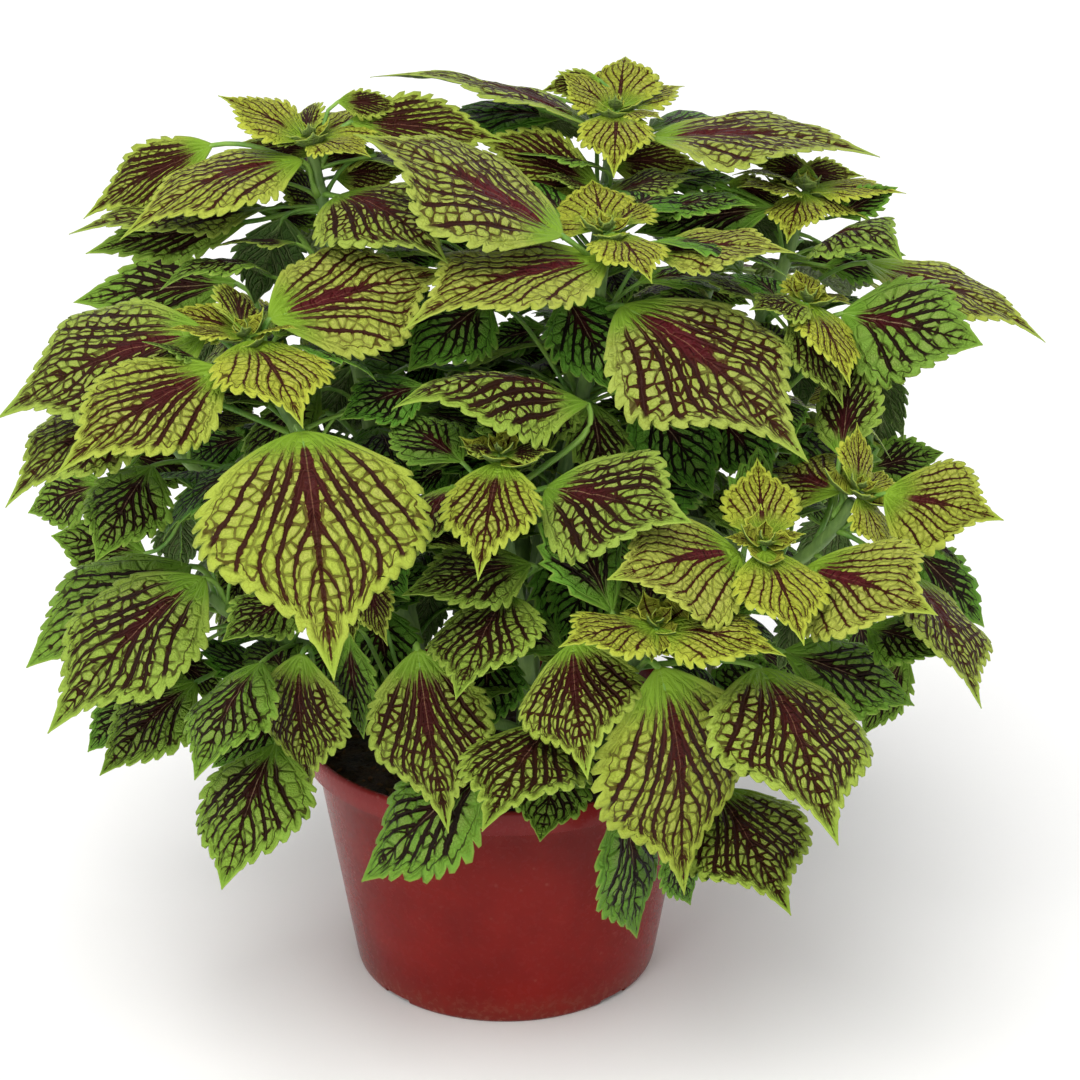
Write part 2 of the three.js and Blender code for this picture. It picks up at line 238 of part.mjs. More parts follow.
  ['X3', 'leaves_d2', [21.85, -4.81, 260.63], [40.24, -36.47, 233.7], 31.24, 27.95, 29.63, 15.28, 8, 8, 0.25, 0, 0],
  ['X4', 'leaves_d3', [-5.2, 1.2, 256.9], [-32.05, -30, 240.8], 33, -28, 18, 18, 8, 8, 0.25, 0, 0],
  ['X5', 'leaves_b2', [-26.38, -36, 237.7], [-53.88, -52, 230.88], 25.08, -28, 18, 18, 8, 8, 0.25, 0, 0],
  ['X6', 'leaves_q2', [35.32, -36, 174.15], [18.51, -56, 152.45], 26.07, -20, 18, 18, 8, 8, 0.25, 0, 0],
  ['X7', 'leaves_o1', [-42.89, -60, 166.82], [-36.35, -78, 139.19], 26.74, -20, 18, 18, 8, 8, 0.25, 0, 0],
  ['X8', 'leaves_o1', [-5.44, -62, 156.55], [-6.41, -90, 131.51], 29.96, -20, 18, 18, 8, 8, 0.25, 0, 0],
  ['X10', 'leaves_j2', [47.38, -40, 197.93], [69.46, -15, 199.98], 26.45, 34, 18, 18, 8, 8, 0.25, 0, 0],
  ['X11', 'leaves_b3', [-50.88, -60, 198.15], [-30.69, -70, 173.19], 25.07, 24, 18, 18, 8, 8, 0.25, 0, 0],
  ['K1t0', 'tip_r', [-83.51, 70.31, 226.48], [-66.61, 99.59, 222.92], 24.72, 0, 12, 16, 6, 6, 0.25, 0, 1],
  ['K1t1', 'tip_r', [-88.49, 61.69, 226.48], [-105.39, 32.41, 222.92], 24.72, 0, 12, 16, 6, 6, 0.25, 0, 1],
  ['K1t2', 'tip_r', [-90.07, 68.35, 231.71], [-109.6, 79.63, 239.92], 17.45, 0, 12, 16, 6, 6, 0.25, 0, 1],
  ['K1t3', 'tip_r', [-81.93, 63.65, 231.71], [-62.4, 52.37, 239.92], 17.45, 0, 12, 16, 6, 6, 0.25, 0, 1],
  ['K1a0', 'tip_r', [-94.49, 71.46, 228.4], [-144.61, 106.56, 203.68], 49.74, 0, 22, 16, 6, 6, 0.25, 0, 0],
  ['K1a1', 'tip_r', [-76.04, 58.55, 227.4], [-43.4, 35.69, 223.92], 29.94, 0, 14, 16, 6, 6, 0.25, 0, 0],
  ['K1b0', 'leaves_r1', [-55.08, 53.2, 191.48], [-23.6, 118.05, 168.88], 55.76, 19.23, 19.11, 14.76, 6, 6, 0.25, 0, 0],
  ['K1b1', 'leaves_r1', [-70.03, 19.61, 188.94], [-87.8, -29.22, 158.94], 45.21, 0, 22, 16, 6, 6, 0.25, 0, 0],
  ['K1b2', 'leaves_r1', [-82.54, 52.06, 163.54], [-122.16, 85.31, 97.35], 63.3, 0, 22, 16, 6, 6, 0.25, 0, 0],
  ['K2t0', 'tip_s', [-7.05, 108.43, 268.48], [23.96, 115.02, 259.96], 24.72, 0, 13.85, 16, 6, 6, 0.25, 0, 1],
  ['K2t1', 'tip_s', [-16.95, 107.57, 268.48], [-50.64, 104.62, 264.92], 24.72, 0, 12, 16, 6, 6, 0.25, 0, 1],
  ['K2t2', 'tip_s', [-12.41, 112.68, 273.71], [-14.38, 135.15, 281.92], 17.45, 0, 12, 16, 6, 6, 0.25, 0, 1],
  ['K2t3', 'tip_s', [-11.59, 103.32, 273.71], [-9.62, 80.85, 281.92], 17.45, 0, 12, 16, 6, 6, 0.25, 0, 1],
  ['K2a0', 'tip_s', [-12.37, 118.85, 269.39], [-14.57, 181.86, 243.92], 51.24, 0, 22, 16, 6, 6, 0.25, 0, 0],
  ['K2a1', 'tip_s', [-11.58, 96.35, 268.39], [-10.19, 56.53, 271.88], 29.94, 0, 14, 16, 6, 6, 0.25, 0, 0],
  ['K2b0', 'leaves_s1', [10.4, 91.78, 229.03], [70.24, 112.22, 196.34], 57.27, 0, 22, 16, 6, 6, 0.25, 0, 0],
  ['K2b1', 'leaves_s1', [-25.84, 87.98, 228.61], [-90.66, 99.41, 190.61], 57.27, 0, 22, 16, 6, 6, 0.25, 0, 0],
  ['K2b2', 'leaves_s1', [-9, 107.4, 202.42], [-14.9, 161.58, 135.43], 64.81, -1.89, 22, 18.15, 6, 6, 0.25, 0, 0],
  ['K3t0', 'tip_t', [76.19, 107.2, 236.48], [50.29, 128.93, 232.92], 24.72, 0, 12, 16, 6, 6, 0.25, 0, 1],
  ['K3t1', 'tip_t', [83.81, 100.8, 236.48], [109.71, 79.07, 232.92], 24.72, 0, 12, 16, 6, 6, 0.25, 0, 1],
  ['K3t2', 'tip_t', [76.98, 100.4, 241.71], [62.48, 83.12, 249.92], 17.45, 0, 12, 16, 6, 6, 0.25, 0, 1],
  ['K3t3', 'tip_t', [83.02, 107.6, 241.71], [97.52, 124.88, 249.92], 17.45, 0, 12, 16, 6, 6, 0.25, 0, 1],
  ['K3a0', 'tip_t', [85.52, 112.47, 238.56], [120.62, 162.59, 213.83], 49.74, 0, 22, 16, 6, 6, 0.25, 0, 0],
  ['K3a1', 'tip_t', [72.6, 94.02, 237.56], [49.75, 61.38, 234.07], 29.94, 0, 14, 16, 6, 6, 0.25, 0, 0],
  ['K3b0', 'leaves_t1', [39.57, 78.46, 199.81], [-1.72, 123.11, 172.42], 55.76, -7, 19.42, 19.39, 6, 6, 0.25, 0, 0],
  ['K3b1', 'leaves_t1', [66.53, 63.29, 198.69], [129.07, 70, 191.54], 49.74, -6.07, 22, 19.42, 6, 6, 0.25, 0, 0],
  ['K3b2', 'leaves_t1', [60.61, 81.75, 174.18], [93.06, 120.42, 109.57], 61.79, 0, 22, 16, 6, 6, 0.25, 0, 0],
  ['K4t0', 'tip_w', [-51.39, 123.86, 196.48], [-23.73, 135.04, 193.34], 21.81, 0, 12, 16, 6, 6, 0.25, 0, 1],
  ['K4t1', 'tip_w', [-60.61, 120.14, 196.48], [-88.27, 108.96, 193.34], 21.81, 0, 12, 16, 6, 6, 0.25, 0, 1],
  ['K4t2', 'tip_w', [-57.76, 126.36, 201.71], [-64.8, 143.78, 208.55], 14.54, 0, 12, 16, 6, 6, 0.25, 0, 1],
  ['K4t3', 'tip_w', [-54.24, 117.64, 201.71], [-47.2, 100.22, 208.55], 14.54, 0, 12, 16, 6, 6, 0.25, 0, 1],
  ['K4a0', 'tip_w', [-58.74, 128.74, 197.19], [-81.16, 176.83, 161.4], 48.23, 0, 22, 16, 6, 6, 0.25, 0, 0],
  ['K4a1', 'tip_w', [-51.39, 111.19, 196.19], [-39.07, 77.36, 196.19], 26.94, 0, 14, 16, 6, 6, 0.25, 0, 0],
  ['K4b0', 'leaves_w1', [-36.58, 64.13, 171.93], [-79.61, 44.06, 126.08], 49.74, 0, 22, 16, 6, 6, 0.25, 0, 0],
  ['K4b1', 'leaves_w1', [-8.42, 89.06, 174.59], [11.69, 135.88, 122.6], 45.21, -12.58, 12.15, 10.37, 6, 6, 0.25, 0, 0],
  ['K5t0', 'tip_x', [33.2, 135.29, 200.48], [4.38, 143.01, 197.34], 21.81, 0, 12, 16, 6, 6, 0.25, 0, 1],
  ['K5t1', 'tip_x', [42.8, 132.71, 200.48], [71.62, 124.99, 197.34], 21.81, 0, 12, 16, 6, 6, 0.25, 0, 1],
  ['K5t2', 'tip_x', [36.78, 129.46, 205.71], [31.92, 111.31, 212.55], 14.54, 0, 12, 16, 6, 6, 0.25, 0, 1],
  ['K5t3', 'tip_x', [39.22, 138.54, 205.71], [44.08, 156.69, 212.55], 14.54, 0, 12, 16, 6, 6, 0.25, 0, 1],
  ['K5a0', 'tip_x', [39.82, 141.13, 200.81], [53.64, 192.71, 162.02], 49.74, 0, 22, 16, 6, 6, 0.25, 0, 0],
  ['K5a1', 'tip_x', [34.88, 122.73, 199.81], [23.3, 85.82, 202.91], 26.94, 0, 14, 18.34, 6, 6, 0.25, 0, 0],
  ['K5b0', 'leaves_x1', [41.41, 85.27, 174.08], [88.47, 81.16, 125.17], 51.24, 0, 22, 16, 6, 6, 0.25, 0, 0],
  ['K5b1', 'leaves_x1', [7.18, 93.15, 168.06], [-18.09, 101.2, 118.51], 43.71, 5.49, 22, 13.84, 6, 6, 0.25, 0, 0],
  ['K6t0', 'tip_y', [107.15, 86.07, 186.48], [91.18, 108.88, 183.55], 20.36, 0, 12, 16, 6, 6, 0.25, 0, 1],
  ['K6t1', 'tip_y', [112.85, 77.93, 186.48], [128.82, 55.12, 183.55], 20.36, 0, 12, 16, 6, 6, 0.25, 0, 1],
  ['K6t2', 'tip_y', [106.15, 79.31, 191.71], [90.76, 68.53, 198.55], 14.54, 0, 12, 16, 6, 6, 0.25, 0, 1],
  ['K6t3', 'tip_y', [113.85, 84.69, 191.71], [129.24, 95.47, 198.55], 14.54, 0, 12, 16, 6, 6, 0.25, 0, 1],
  ['K6a0', 'tip_y', [115.49, 86.16, 186.6], [154.86, 119.2, 151.93], 46.72, 0, 22, 16, 6, 6, 0.25, 0, 0],
  ['K6a1', 'tip_y', [99.61, 75, 185.16], [85.95, 61.12, 169.69], 25.45, 2.93, 16.21, 14.04, 6, 6, 0.25, 0, 0],
  ['K6b0', 'leaves_y1', [68, 8.34, 152.92], [96.56, -15.62, 108.49], 43.71, 0, 22, 16, 6, 6, 0.25, 0, 0],
  ['K6b1', 'leaves_y1', [51.6, 41.29, 153.92], [47.36, 89.74, 103.57], 52.75, 0, 22, 16, 6, 6, 0.25, 0, 0],
  ['K7t0', 'tip_z', [-127.14, 28.9, 206.48], [-122.3, 56.32, 203.55], 20.36, 0, 12, 16, 6, 6, 0.25, 0, 1],
  ['K7t1', 'tip_z', [-128.86, 19.1, 206.48], [-133.7, -8.32, 203.55], 20.36, 0, 12, 16, 6, 6, 0.25, 0, 1],
  ['K7t2', 'tip_z', [-132.63, 24.82, 211.71], [-151.14, 28.08, 218.55], 14.54, 0, 12, 16, 6, 6, 0.25, 0, 1],
  ['K7t3', 'tip_z', [-123.37, 23.18, 211.71], [-104.86, 19.92, 218.55], 14.54, 0, 12, 16, 6, 6, 0.25, 0, 1],
  ['K7a0', 'tip_z', [-135.71, 25.7, 207.51], [-175.79, 34.22, 175.5], 39.19, 0, 22, 16, 6, 6, 0.25, 0, 0],
  ['K7a1', 'tip_z', [-117.01, 22.04, 206.51], [-83.53, 16.13, 206.51], 25.45, 0, 14, 16, 6, 6, 0.25, 0, 0],
  ['K7b0', 'leaves_z1', [-75.64, 41.16, 165.94], [-94.94, 81.42, 121.39], 52.75, -1.97, 25.72, 16, 6, 6, 0.25, 0, 0],
  ['K7b1', 'leaves_z1', [-82.44, 2.67, 170.75], [-101.61, -27.67, 131.54], 39.19, 0, 22, 16, 6, 6, 0.25, 0, 0],
  ['Cz1', 'leaves_c4', [37.5, 39.31, 189.19], [62.5, 33.83, 169.38], 49.74, 2.25, 22.21, 20.53, 6, 6, 0.25, 0, 0],
  ['Az0', 'leaves_a3', [-44.68, 17.63, 212.84], [-25.89, 78.4, 190.23], 51.24, -9.98, 22, 16, 6, 6, 0.25, 0, 0],
  ['Az1', 'leaves_a3', [-63.98, 11.06, 212.64], [-103.95, 36.14, 173.38], 49.74, 0, 22.68, 16, 6, 6, 0.25, 0, 0],
  ['Fz0', 'leaves_f3', [83.79, 28.11, 200.08], [128.63, 54.74, 169.31], 49.74, 1.43, 22, 18.42, 6, 6, 0.25, 0, 0],
  ['Fz1', 'leaves_f3', [66.57, 30.17, 199.4], [76.33, 72.37, 167.09], 52.75, -0.89, 30.64, 18.44, 6, 6, 0.25, 0, 0],
  ['Dz0', 'leaves_d3', [39.12, 20.68, 231.12], [73.11, 64.11, 203.82], 49.74, 0, 19.08, 16, 6, 6, 0.25, 0, 0],
  ['Dz1', 'leaves_d3', [16.03, 21.16, 235.56], [-20.66, 69.17, 202.51], 49.74, -5.17, 22, 13.41, 6, 6, 0.25, 0, 0],
  ['Cx0', 'leaves_c3', [36.18, 69.85, 282.85], [38.41, 133.76, 254.38], 52.75, 0, 22, 16, 6, 6, 0.25, 0, 0],
  ['Cy0', 'leaves_c3', [47.07, 54.18, 251.67], [103.63, 78.69, 236.21], 54.26, -9.05, 22, 16, 6, 6, 0.25, 0, 0],
  ['Cy1', 'leaves_c3', [17.65, 64.17, 253.32], [-34.13, 90.16, 246.11], 57.27, -3.41, 20.47, 14.84, 6, 6, 0.25, 0, 0],
  ['Ax0', 'leaves_a2', [-61.97, 28.31, 277.25], [-72.58, 88.5, 247.44], 51.24, 0, 22, 16, 6, 6, 0.25, 0, 0],
  ['Ax1', 'leaves_a2', [-70.74, 11.65, 256.93], [-116.53, 15.65, 218.36], 45.21, 0, 22, 16, 6, 6, 0.25, 0, 0],
  ['Fx0', 'leaves_f2', [104.62, 46.91, 257.79], [134.28, 98.29, 228.86], 49.74, 0, 22, 16, 6, 6, 0.25, 0, 0],
  ['Fx1', 'leaves_f2', [99.81, 27.8, 230.5], [142.94, 26.29, 188.82], 45.21, 0, 22, 16, 6, 6, 0.25, 0, 0],
];

// ------------------------------------------------------------------- helpers
const V = (a) => new THREE.Vector3(a[0], a[1], a[2]);
const RAD = Math.PI / 180;
const unit = (v) => v.clone().normalize();
const mix = (a, b, t) => a.clone().multiplyScalar(1 - t).addScaledVector(b, t);
const across = (v, axis) => v.clone().addScaledVector(axis, -v.dot(axis));

const wasm = await Module();
wasm.setup();

// closed body from rings of equal vertex count, with fan caps
// joins the rings; with paired set, upper and lower faces of a four-cornered blade are split along matching diagonals
function loft(rings, paired = false) {
  const n = rings.length, m = rings[0].length;
  const pos = [], idx = [];
  for (const ring of rings) for (const p of ring) pos.push(p.x, p.y, p.z);
  for (let i = 0; i < n - 1; i++) {
    for (let j = 0; j < m; j++) {
      const a = i * m + j, b = i * m + (j + 1) % m, c = (i + 1) * m + (j + 1) % m, d = (i + 1) * m + j;
      if (paired && j % 2 === 0) idx.push(a, b, d, b, c, d);
      else idx.push(a, b, c, a, c, d);
    }
  }
  for (let j = 1; j < m - 1; j++) {
    idx.push(0, j + 1, j);
    idx.push((n - 1) * m, (n - 1) * m + j, (n - 1) * m + j + 1);
  }
  const g = new THREE.BufferGeometry();
  g.setAttribute('position', new THREE.Float32BufferAttribute(pos, 3));
  g.setIndex(idx);
  return volume(g) < 0 ? flip(g) : g;
}

function volume(g) {
  const p = g.attributes.position, ix = g.index.array;
  const a = new THREE.Vector3(), b = new THREE.Vector3(), c = new THREE.Vector3();
  let v = 0;
  for (let i = 0; i < ix.length; i += 3) {
    a.fromBufferAttribute(p, ix[i]); b.fromBufferAttribute(p, ix[i + 1]); c.fromBufferAttribute(p, ix[i + 2]);
    v += a.dot(b.cross(c)) / 6;
  }
  return v;
}

function flip(g) {
  const ix = g.index.array;
  for (let i = 0; i < ix.length; i += 3) { const t = ix[i]; ix[i] = ix[i + 1]; ix[i + 1] = t; }
  return g;
}

function toSolid(geometry) {
  let g = geometry.clone();
  for (const k of ['normal', 'uv', 'uv1']) if (g.attributes[k]) g.deleteAttribute(k);
  g = mergeVertices(g, 1e-4);
  const ix = g.index.array, keep = [];
  for (let i = 0; i < ix.length; i += 3) {
    if (ix[i] !== ix[i + 1] && ix[i + 1] !== ix[i + 2] && ix[i] !== ix[i + 2]) keep.push(ix[i], ix[i + 1], ix[i + 2]);
  }
  return new wasm.Manifold(new wasm.Mesh({
    numProp: 3,
    vertProperties: new Float32Array(g.attributes.position.array),
    triVerts: new Uint32Array(keep),
  }));
}

function toGeometry(solid) {
  const mesh = solid.getMesh();
  const g = new THREE.BufferGeometry();
  const n = mesh.vertProperties.length / mesh.numProp;
  const pos = new Float32Array(n * 3);
  for (let i = 0; i < n; i++) for (let k = 0; k < 3; k++) pos[3 * i + k] = mesh.vertProperties[mesh.numProp * i + k];
  g.setAttribute('position', new THREE.BufferAttribute(pos, 3));
  g.setIndex(Array.from(mesh.triVerts));
  g.computeVertexNormals();
  return g;
}

function lathe(points, sides) {
  const g = new THREE.LatheGeometry(points.map((p) => new THREE.Vector2(p[0], p[1])), sides);
  g.rotateX(Math.PI / 2);
  return g;
}

// --------------------------------------------------------------------- stems
class Stem {
  constructor(s) {
    this.data = s;
    this.curve = new THREE.CubicBezierCurve3(...s.p.map(V));
  }
  at(u) { return this.curve.getPoint(u); }
  tangent(u) {
    return unit(this.at(Math.min(u + 0.01, 1)).sub(this.at(Math.max(u - 0.01, 0))));
  }
  radius(u) { return this.data.r0 + (this.data.r1 - this.data.r0) * u; }
}
const stems = new Map(STEMS.map((s) => [s.id, new Stem(s)]));

function ringAt(centre, axis, radius, sides, turn = 0) {
  const a = unit(new THREE.Vector3(0.1, 1, 0.05).cross(axis).negate());
  const b = axis.clone().cross(a);
  const out = [];
  for (let i = 0; i < sides; i++) {
    const t = turn + (i * 2 * Math.PI) / sides;
    out.push(centre.clone().addScaledVector(a, radius * Math.cos(t)).addScaledVector(b, radius * Math.sin(t)));
  }
  return out;
}

function stemBody(stem) {
  const rings = [];
  if (!stem.rootless && stem.data.p[0][2] === 80) {
    rings.push(ringAt(stem.at(0).setZ(ROOT_BOTTOM), new THREE.Vector3(0, 0, 1), stem.radius(0), STEM_SIDES));
  }
  for (const u of stem.data.u) rings.push(ringAt(stem.at(u), stem.tangent(u), stem.radius(u), STEM_SIDES));
  return toSolid(loft(rings));
}

// ------------------------------------------------------------ leaf and stalk
const halfWidth = (s) => Math.sin(Math.PI * Math.pow(s, SHAPE_POWER)) * (1 - 0.2 * Math.pow(s, 8));

function bladeFrame(B, T, roll) {
  const e1 = unit(T.clone().sub(B));
  const out = unit(new THREE.Vector3(B.x + T.x, B.y + T.y, 0));
  let q = Math.min(Math.max((Math.abs(e1.z) - 0.55) / 0.35, 0), 1);
  q = q * q * (3 - 2 * q);
  const ref = new THREE.Vector3(0, 0, 1).addScaledVector(out, 1.2 * q);
  const n = unit(across(ref, e1)).applyAxisAngle(e1, roll * RAD);
  return { e1, n };
}

const bezier = (P, s) => new THREE.CubicBezierCurve3(...P).getPoint(s);
function bezierTangent(P, s) {
  const a = P[1].clone().sub(P[0]).multiplyScalar(3 * (1 - s) * (1 - s));
  const b = P[2].clone().sub(P[1]).multiplyScalar(6 * s * (1 - s));
  const c = P[3].clone().sub(P[2]).multiplyScalar(3 * s * s);
  return a.add(b).add(c);
}

// cross-section of the blade at s: left margin, upper midrib, right margin, lower midrib
function bladeSection(leaf, s) {
  const { B, T, W, roll, a0, a1, foldL, foldR, curl, twist } = leaf;
  const { e1, n } = bladeFrame(B, T, roll);
  const D = T.distanceTo(B);
  const d0 = e1.clone().multiplyScalar(Math.cos(a0 * RAD)).addScaledVector(n, Math.sin(a0 * RAD));
  const d1 = e1.clone().multiplyScalar(Math.cos(a1 * RAD)).addScaledVector(n, -Math.sin(a1 * RAD));
  const k = (D / 3) * (1 + 0.125 * Math.pow((Math.abs(a0) + Math.abs(a1)) * RAD, 2));
  const P = [B, B.clone().addScaledVector(d0, k), T.clone().addScaledVector(d1, -k), T];
  const mid = bezier(P, s), tau = unit(bezierTangent(P, s));
  const N = unit(across(n, tau));
  const side = N.clone().cross(tau);
  const tw = twist * RAD * (s - 0.3);
  const N2 = N.clone().multiplyScalar(Math.cos(tw)).addScaledVector(side, Math.sin(tw));
  const S2 = side.clone().multiplyScalar(Math.cos(tw)).addScaledVector(N, -Math.sin(tw));
  const w = Math.max(halfWidth(s) * W / 2, 0.8);
  const edge = (sign, fold) => mid.clone()
    .addScaledVector(S2, sign * w * Math.cos(fold * RAD))
    .addScaledVector(N2, w * Math.sin(fold * RAD) - (curl * w * w) / (W / 2) - BLADE_THICK * 0.35);
  return {
    ring: [edge(-1, foldL), mid, edge(1, foldR), mid.clone().addScaledVector(N2, -BLADE_THICK)],
    N: N2,
  };
}

function stalkSections(leaf, count) {
  const { B, T, roll, a0, start, axis, reach, small } = leaf;
  const { e1, n } = bladeFrame(B, T, roll);
  const d0 = e1.clone().multiplyScalar(Math.cos(a0 * RAD)).addScaledVector(n, Math.sin(a0 * RAD));
  let h = across(B.clone().sub(start), axis);
  if (h.length() < 1e-6) h = across(e1, axis);
  h.normalize();
  const A = start.clone().addScaledVector(h, reach);
  const v = B.clone().sub(A), D = v.length();
  const dv = unit(v);
  const el = Math.min(Math.max(Math.atan2(v.dot(axis), Math.abs(v.dot(h)) + 1e-9) + 20 * RAD, -30 * RAD), 48 * RAD);
  const dA = unit(h.clone().multiplyScalar(Math.cos(el)).addScaledVector(axis, Math.sin(el)).addScaledVector(dv, 0.6));
  const dB = unit(d0.clone().addScaledVector(dv, 0.5));
  const P = [A, A.clone().addScaledVector(dA, D * 0.36), B.clone().addScaledVector(dB, -D * 0.36), B];
  const N0 = bladeSection(leaf, 0.06).N;
  const len = D0(leaf);
  const r = small ? 0.9 : 0.55 + 0.009 * len;
  const rings = [];
  for (let i = 0; i < count; i++) {
    const f = i / count;
    const c = bezier(P, f), tau = unit(bezierTangent(P, f));
    let nz = across(mix(axis, N0, f), tau);
    if (nz.length() < 0.15) nz = across(N0, tau);
    nz.normalize();
    const side = nz.clone().cross(tau);
    const q = i === 0 ? 0.75 * r : r;
    rings.push([
      c.clone().addScaledVector(side, -q), c.clone().addScaledVector(nz, q * 0.85),
      c.clone().addScaledVector(side, q), c.clone().addScaledVector(nz, -q * 0.85),
    ]);
  }
  return rings;
}

// length of the blade along its arch
function D0(leaf) {
  return leaf.T.distanceTo(leaf.B) * (1 + Math.pow((Math.abs(leaf.a0) + Math.abs(leaf.a1)) * RAD, 2) / 24);
}

// leaves whose stalk meets the blade at a sharp angle get a section right at the joint
const BENT = new Set(['E1', 'V1', 'W1', 'O1', 'S2', 'M1', 'M3', 'N1', 'V8', 'X5']);

function leafBody(leaf) {
  const stations = leaf.small ? [0.1, 0.5, 0.955] : BENT.has(leaf.name) ? [0, 0.1, 0.31, 0.62, 0.96] : [0.05, 0.3, 0.62, 0.96];
  const rings = stalkSections(leaf, leaf.small ? 1 : 3);
  for (const s of stations) rings.push(bladeSection(leaf, s).ring);
  return toSolid(loft(rings, true));
}

// ------------------------------------------------------------------ assembly
const group = new THREE.Group();
const green = (hex, rough = 0.55) => new THREE.MeshStandardMaterial({ color: hex, roughness: rough, metalness: 0 });

// keeps the one outer shell where joined leaves close round a pinhole
function add(name, joined, material) {
  const solid = joined.decompose().sort((a, b) => b.volume() - a.volume())[0];
  const mesh = new THREE.Mesh(toGeometry(solid), material);
  mesh.name = name;
  group.add(mesh);
}

// pot: turned wall and rim, drain slots under the foot and a hole into each
{
  const slope = (POT_NECK_R - POT_BASE_R) / (POT_HEIGHT - RIM_BAND);
  const inner = (z) => POT_BASE_R + slope * z - WALL;
  let pot = toSolid(lathe([
    [0, 0], [POT_BASE_R - 1, 0], [POT_BASE_R, 1.2], [POT_NECK_R, POT_HEIGHT - RIM_BAND],
    [RIM_R - 1.2, POT_HEIGHT - RIM_BAND + 0.4], [RIM_R - 0.6, POT_HEIGHT - RIM_BAND + 1.6],
    [RIM_R, POT_HEIGHT - 1.2], [RIM_R - 0.9, POT_HEIGHT], [RIM_R - 2.4, POT_HEIGHT],
    [RIM_R - 3.4, POT_HEIGHT - 2.5], [inner(POT_HEIGHT - RIM_BAND) + 0.4, POT_HEIGHT - RIM_BAND],
    [inner(FLOOR), FLOOR], [0, FLOOR],
  ], POT_SIDES));
  for (const deg of SLOT_ANGLES) {
    const slot = new THREE.BoxGeometry(POT_BASE_R + 6 - SLOT_INNER_R, SLOT_WIDTH, SLOT_HEIGHT * 2);
    slot.translate((POT_BASE_R + 6 + SLOT_INNER_R) / 2, 0, 0);
    slot.rotateZ(deg * RAD);
    pot = pot.subtract(toSolid(slot));
    const hole = new THREE.CylinderGeometry(DRAIN_HOLE_R, DRAIN_HOLE_R, FLOOR * 3, 8);
    hole.rotateX(Math.PI / 2);
    hole.translate(DRAIN_RING_R * Math.cos(deg * RAD), DRAIN_RING_R * Math.sin(deg * RAD), 0);
    pot = pot.subtract(toSolid(hole));
  }
  add('pot', pot, new THREE.MeshStandardMaterial({ color: 0x8c3a34, roughness: 0.42, metalness: 0 }));

  // soil: fills the pot and closes round each rooted stem
  let soil = toSolid(lathe([
    [0, FLOOR + GAP], [inner(FLOOR + GAP) - GAP, FLOOR + GAP], [inner(SOIL_TOP) - GAP, SOIL_TOP],
    [inner(SOIL_TOP) - 22, SOIL_TOP + SOIL_CROWN * 0.8], [0, SOIL_TOP + SOIL_CROWN],
  ], POT_SIDES));
  for (const stem of stems.values()) {
    if (stem.data.p[0][2] !== 80) continue;
    const foot = stem.at(0);
    const pocket = loft([
      ringAt(foot.clone().setZ(ROOT_BOTTOM - GAP), new THREE.Vector3(0, 0, 1), stem.radius(0) + 0.9, 8),
      ringAt(foot.clone().setZ(SOIL_TOP + 6), new THREE.Vector3(0, 0, 1), stem.radius(0) + 2.4, 8),
    ]);
    soil = soil.subtract(toSolid(pocket));
  }
  add('soil', soil, new THREE.MeshStandardMaterial({ color: 0x2c2019, roughness: 0.95, metalness: 0 }));
}

// stems: each rooted stem with its forks is one piece
for (const node of ['stem_left', 'stem_back', 'stem_right', 'stem_front']) {
  let body = null;
  for (const stem of stems.values()) {
    if (stem.data.node !== node) continue;
    const b = stemBody(stem);
    body = body ? body.add(b) : b;
  }
  add(node, body, green(0x6f8f3a, 0.5));
}

// leaves, gathered by the node they grow from
const byNode = new Map();
for (const [name, node, B, T, W, roll, a0, a1, foldL, foldR, curl, twist, small] of LEAVES) {
  if (!byNode.has(node)) byNode.set(node, []);
  byNode.get(node).push({ name, B: V(B), T: V(T), W, roll, a0, a1, foldL, foldR, curl, twist, small });
}

for (const { node, stem: id, u } of COLLARS) {
  const stem = stems.get(id), c = stem.at(u), t = stem.tangent(u), r = stem.radius(u);
  const rin = (r + GAP) / Math.cos(Math.PI / STEM_SIDES), rout = rin + COLLAR_WALL;
  const at = (h, radius) => ringAt(c.clone().addScaledVector(t, h), t, radius, STEM_SIDES);
  const outer = toSolid(loft([at(-COLLAR_HALF, rout), at(COLLAR_HALF, rout)]));
  const bore = toSolid(loft([at(-COLLAR_HALF - 1, rin), at(COLLAR_HALF + 1, rin)]));
  let body = outer.subtract(bore);
  for (const leaf of byNode.get(node)) {
    body = body.add(leafBody({ ...leaf, start: c, axis: t, reach: r + 1.5 }));
  }
  add(node, body, green(0x93a83c));
}

for (const { node, stem: id } of TIPS) {
  const stem = stems.get(id), top = stem.at(1), t = stem.tangent(1);
  const bud = new THREE.SphereGeometry(2.6, 5, 4);
  bud.rotateX(Math.PI / 2);
  bud.scale(1, 1, 1.2);
  bud.applyQuaternion(new THREE.Quaternion().setFromUnitVectors(new THREE.Vector3(0, 0, 1), t));
  const c = top.clone().addScaledVector(t, GAP + 3.1);
  bud.translate(c.x, c.y, c.z);
  let body = toSolid(bud);
  for (const leaf of byNode.get(node)) {
    const start = top.clone().addScaledVector(t, leaf.small ? 3.0 : 2.6);
    body = body.add(leafBody({ ...leaf, start, axis: t, reach: 1.0 }));
  }
  add(node, body, green(0xb4bd38));
}

export default group;
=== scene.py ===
"""Coleus in its nursery pot: broad toothed leaves with dark veins on branching stems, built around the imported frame.

Lengths in the tables are millimetres in the frame of the part: +Z up, -Y towards the front, origin under the pot.
"""

import math
import random

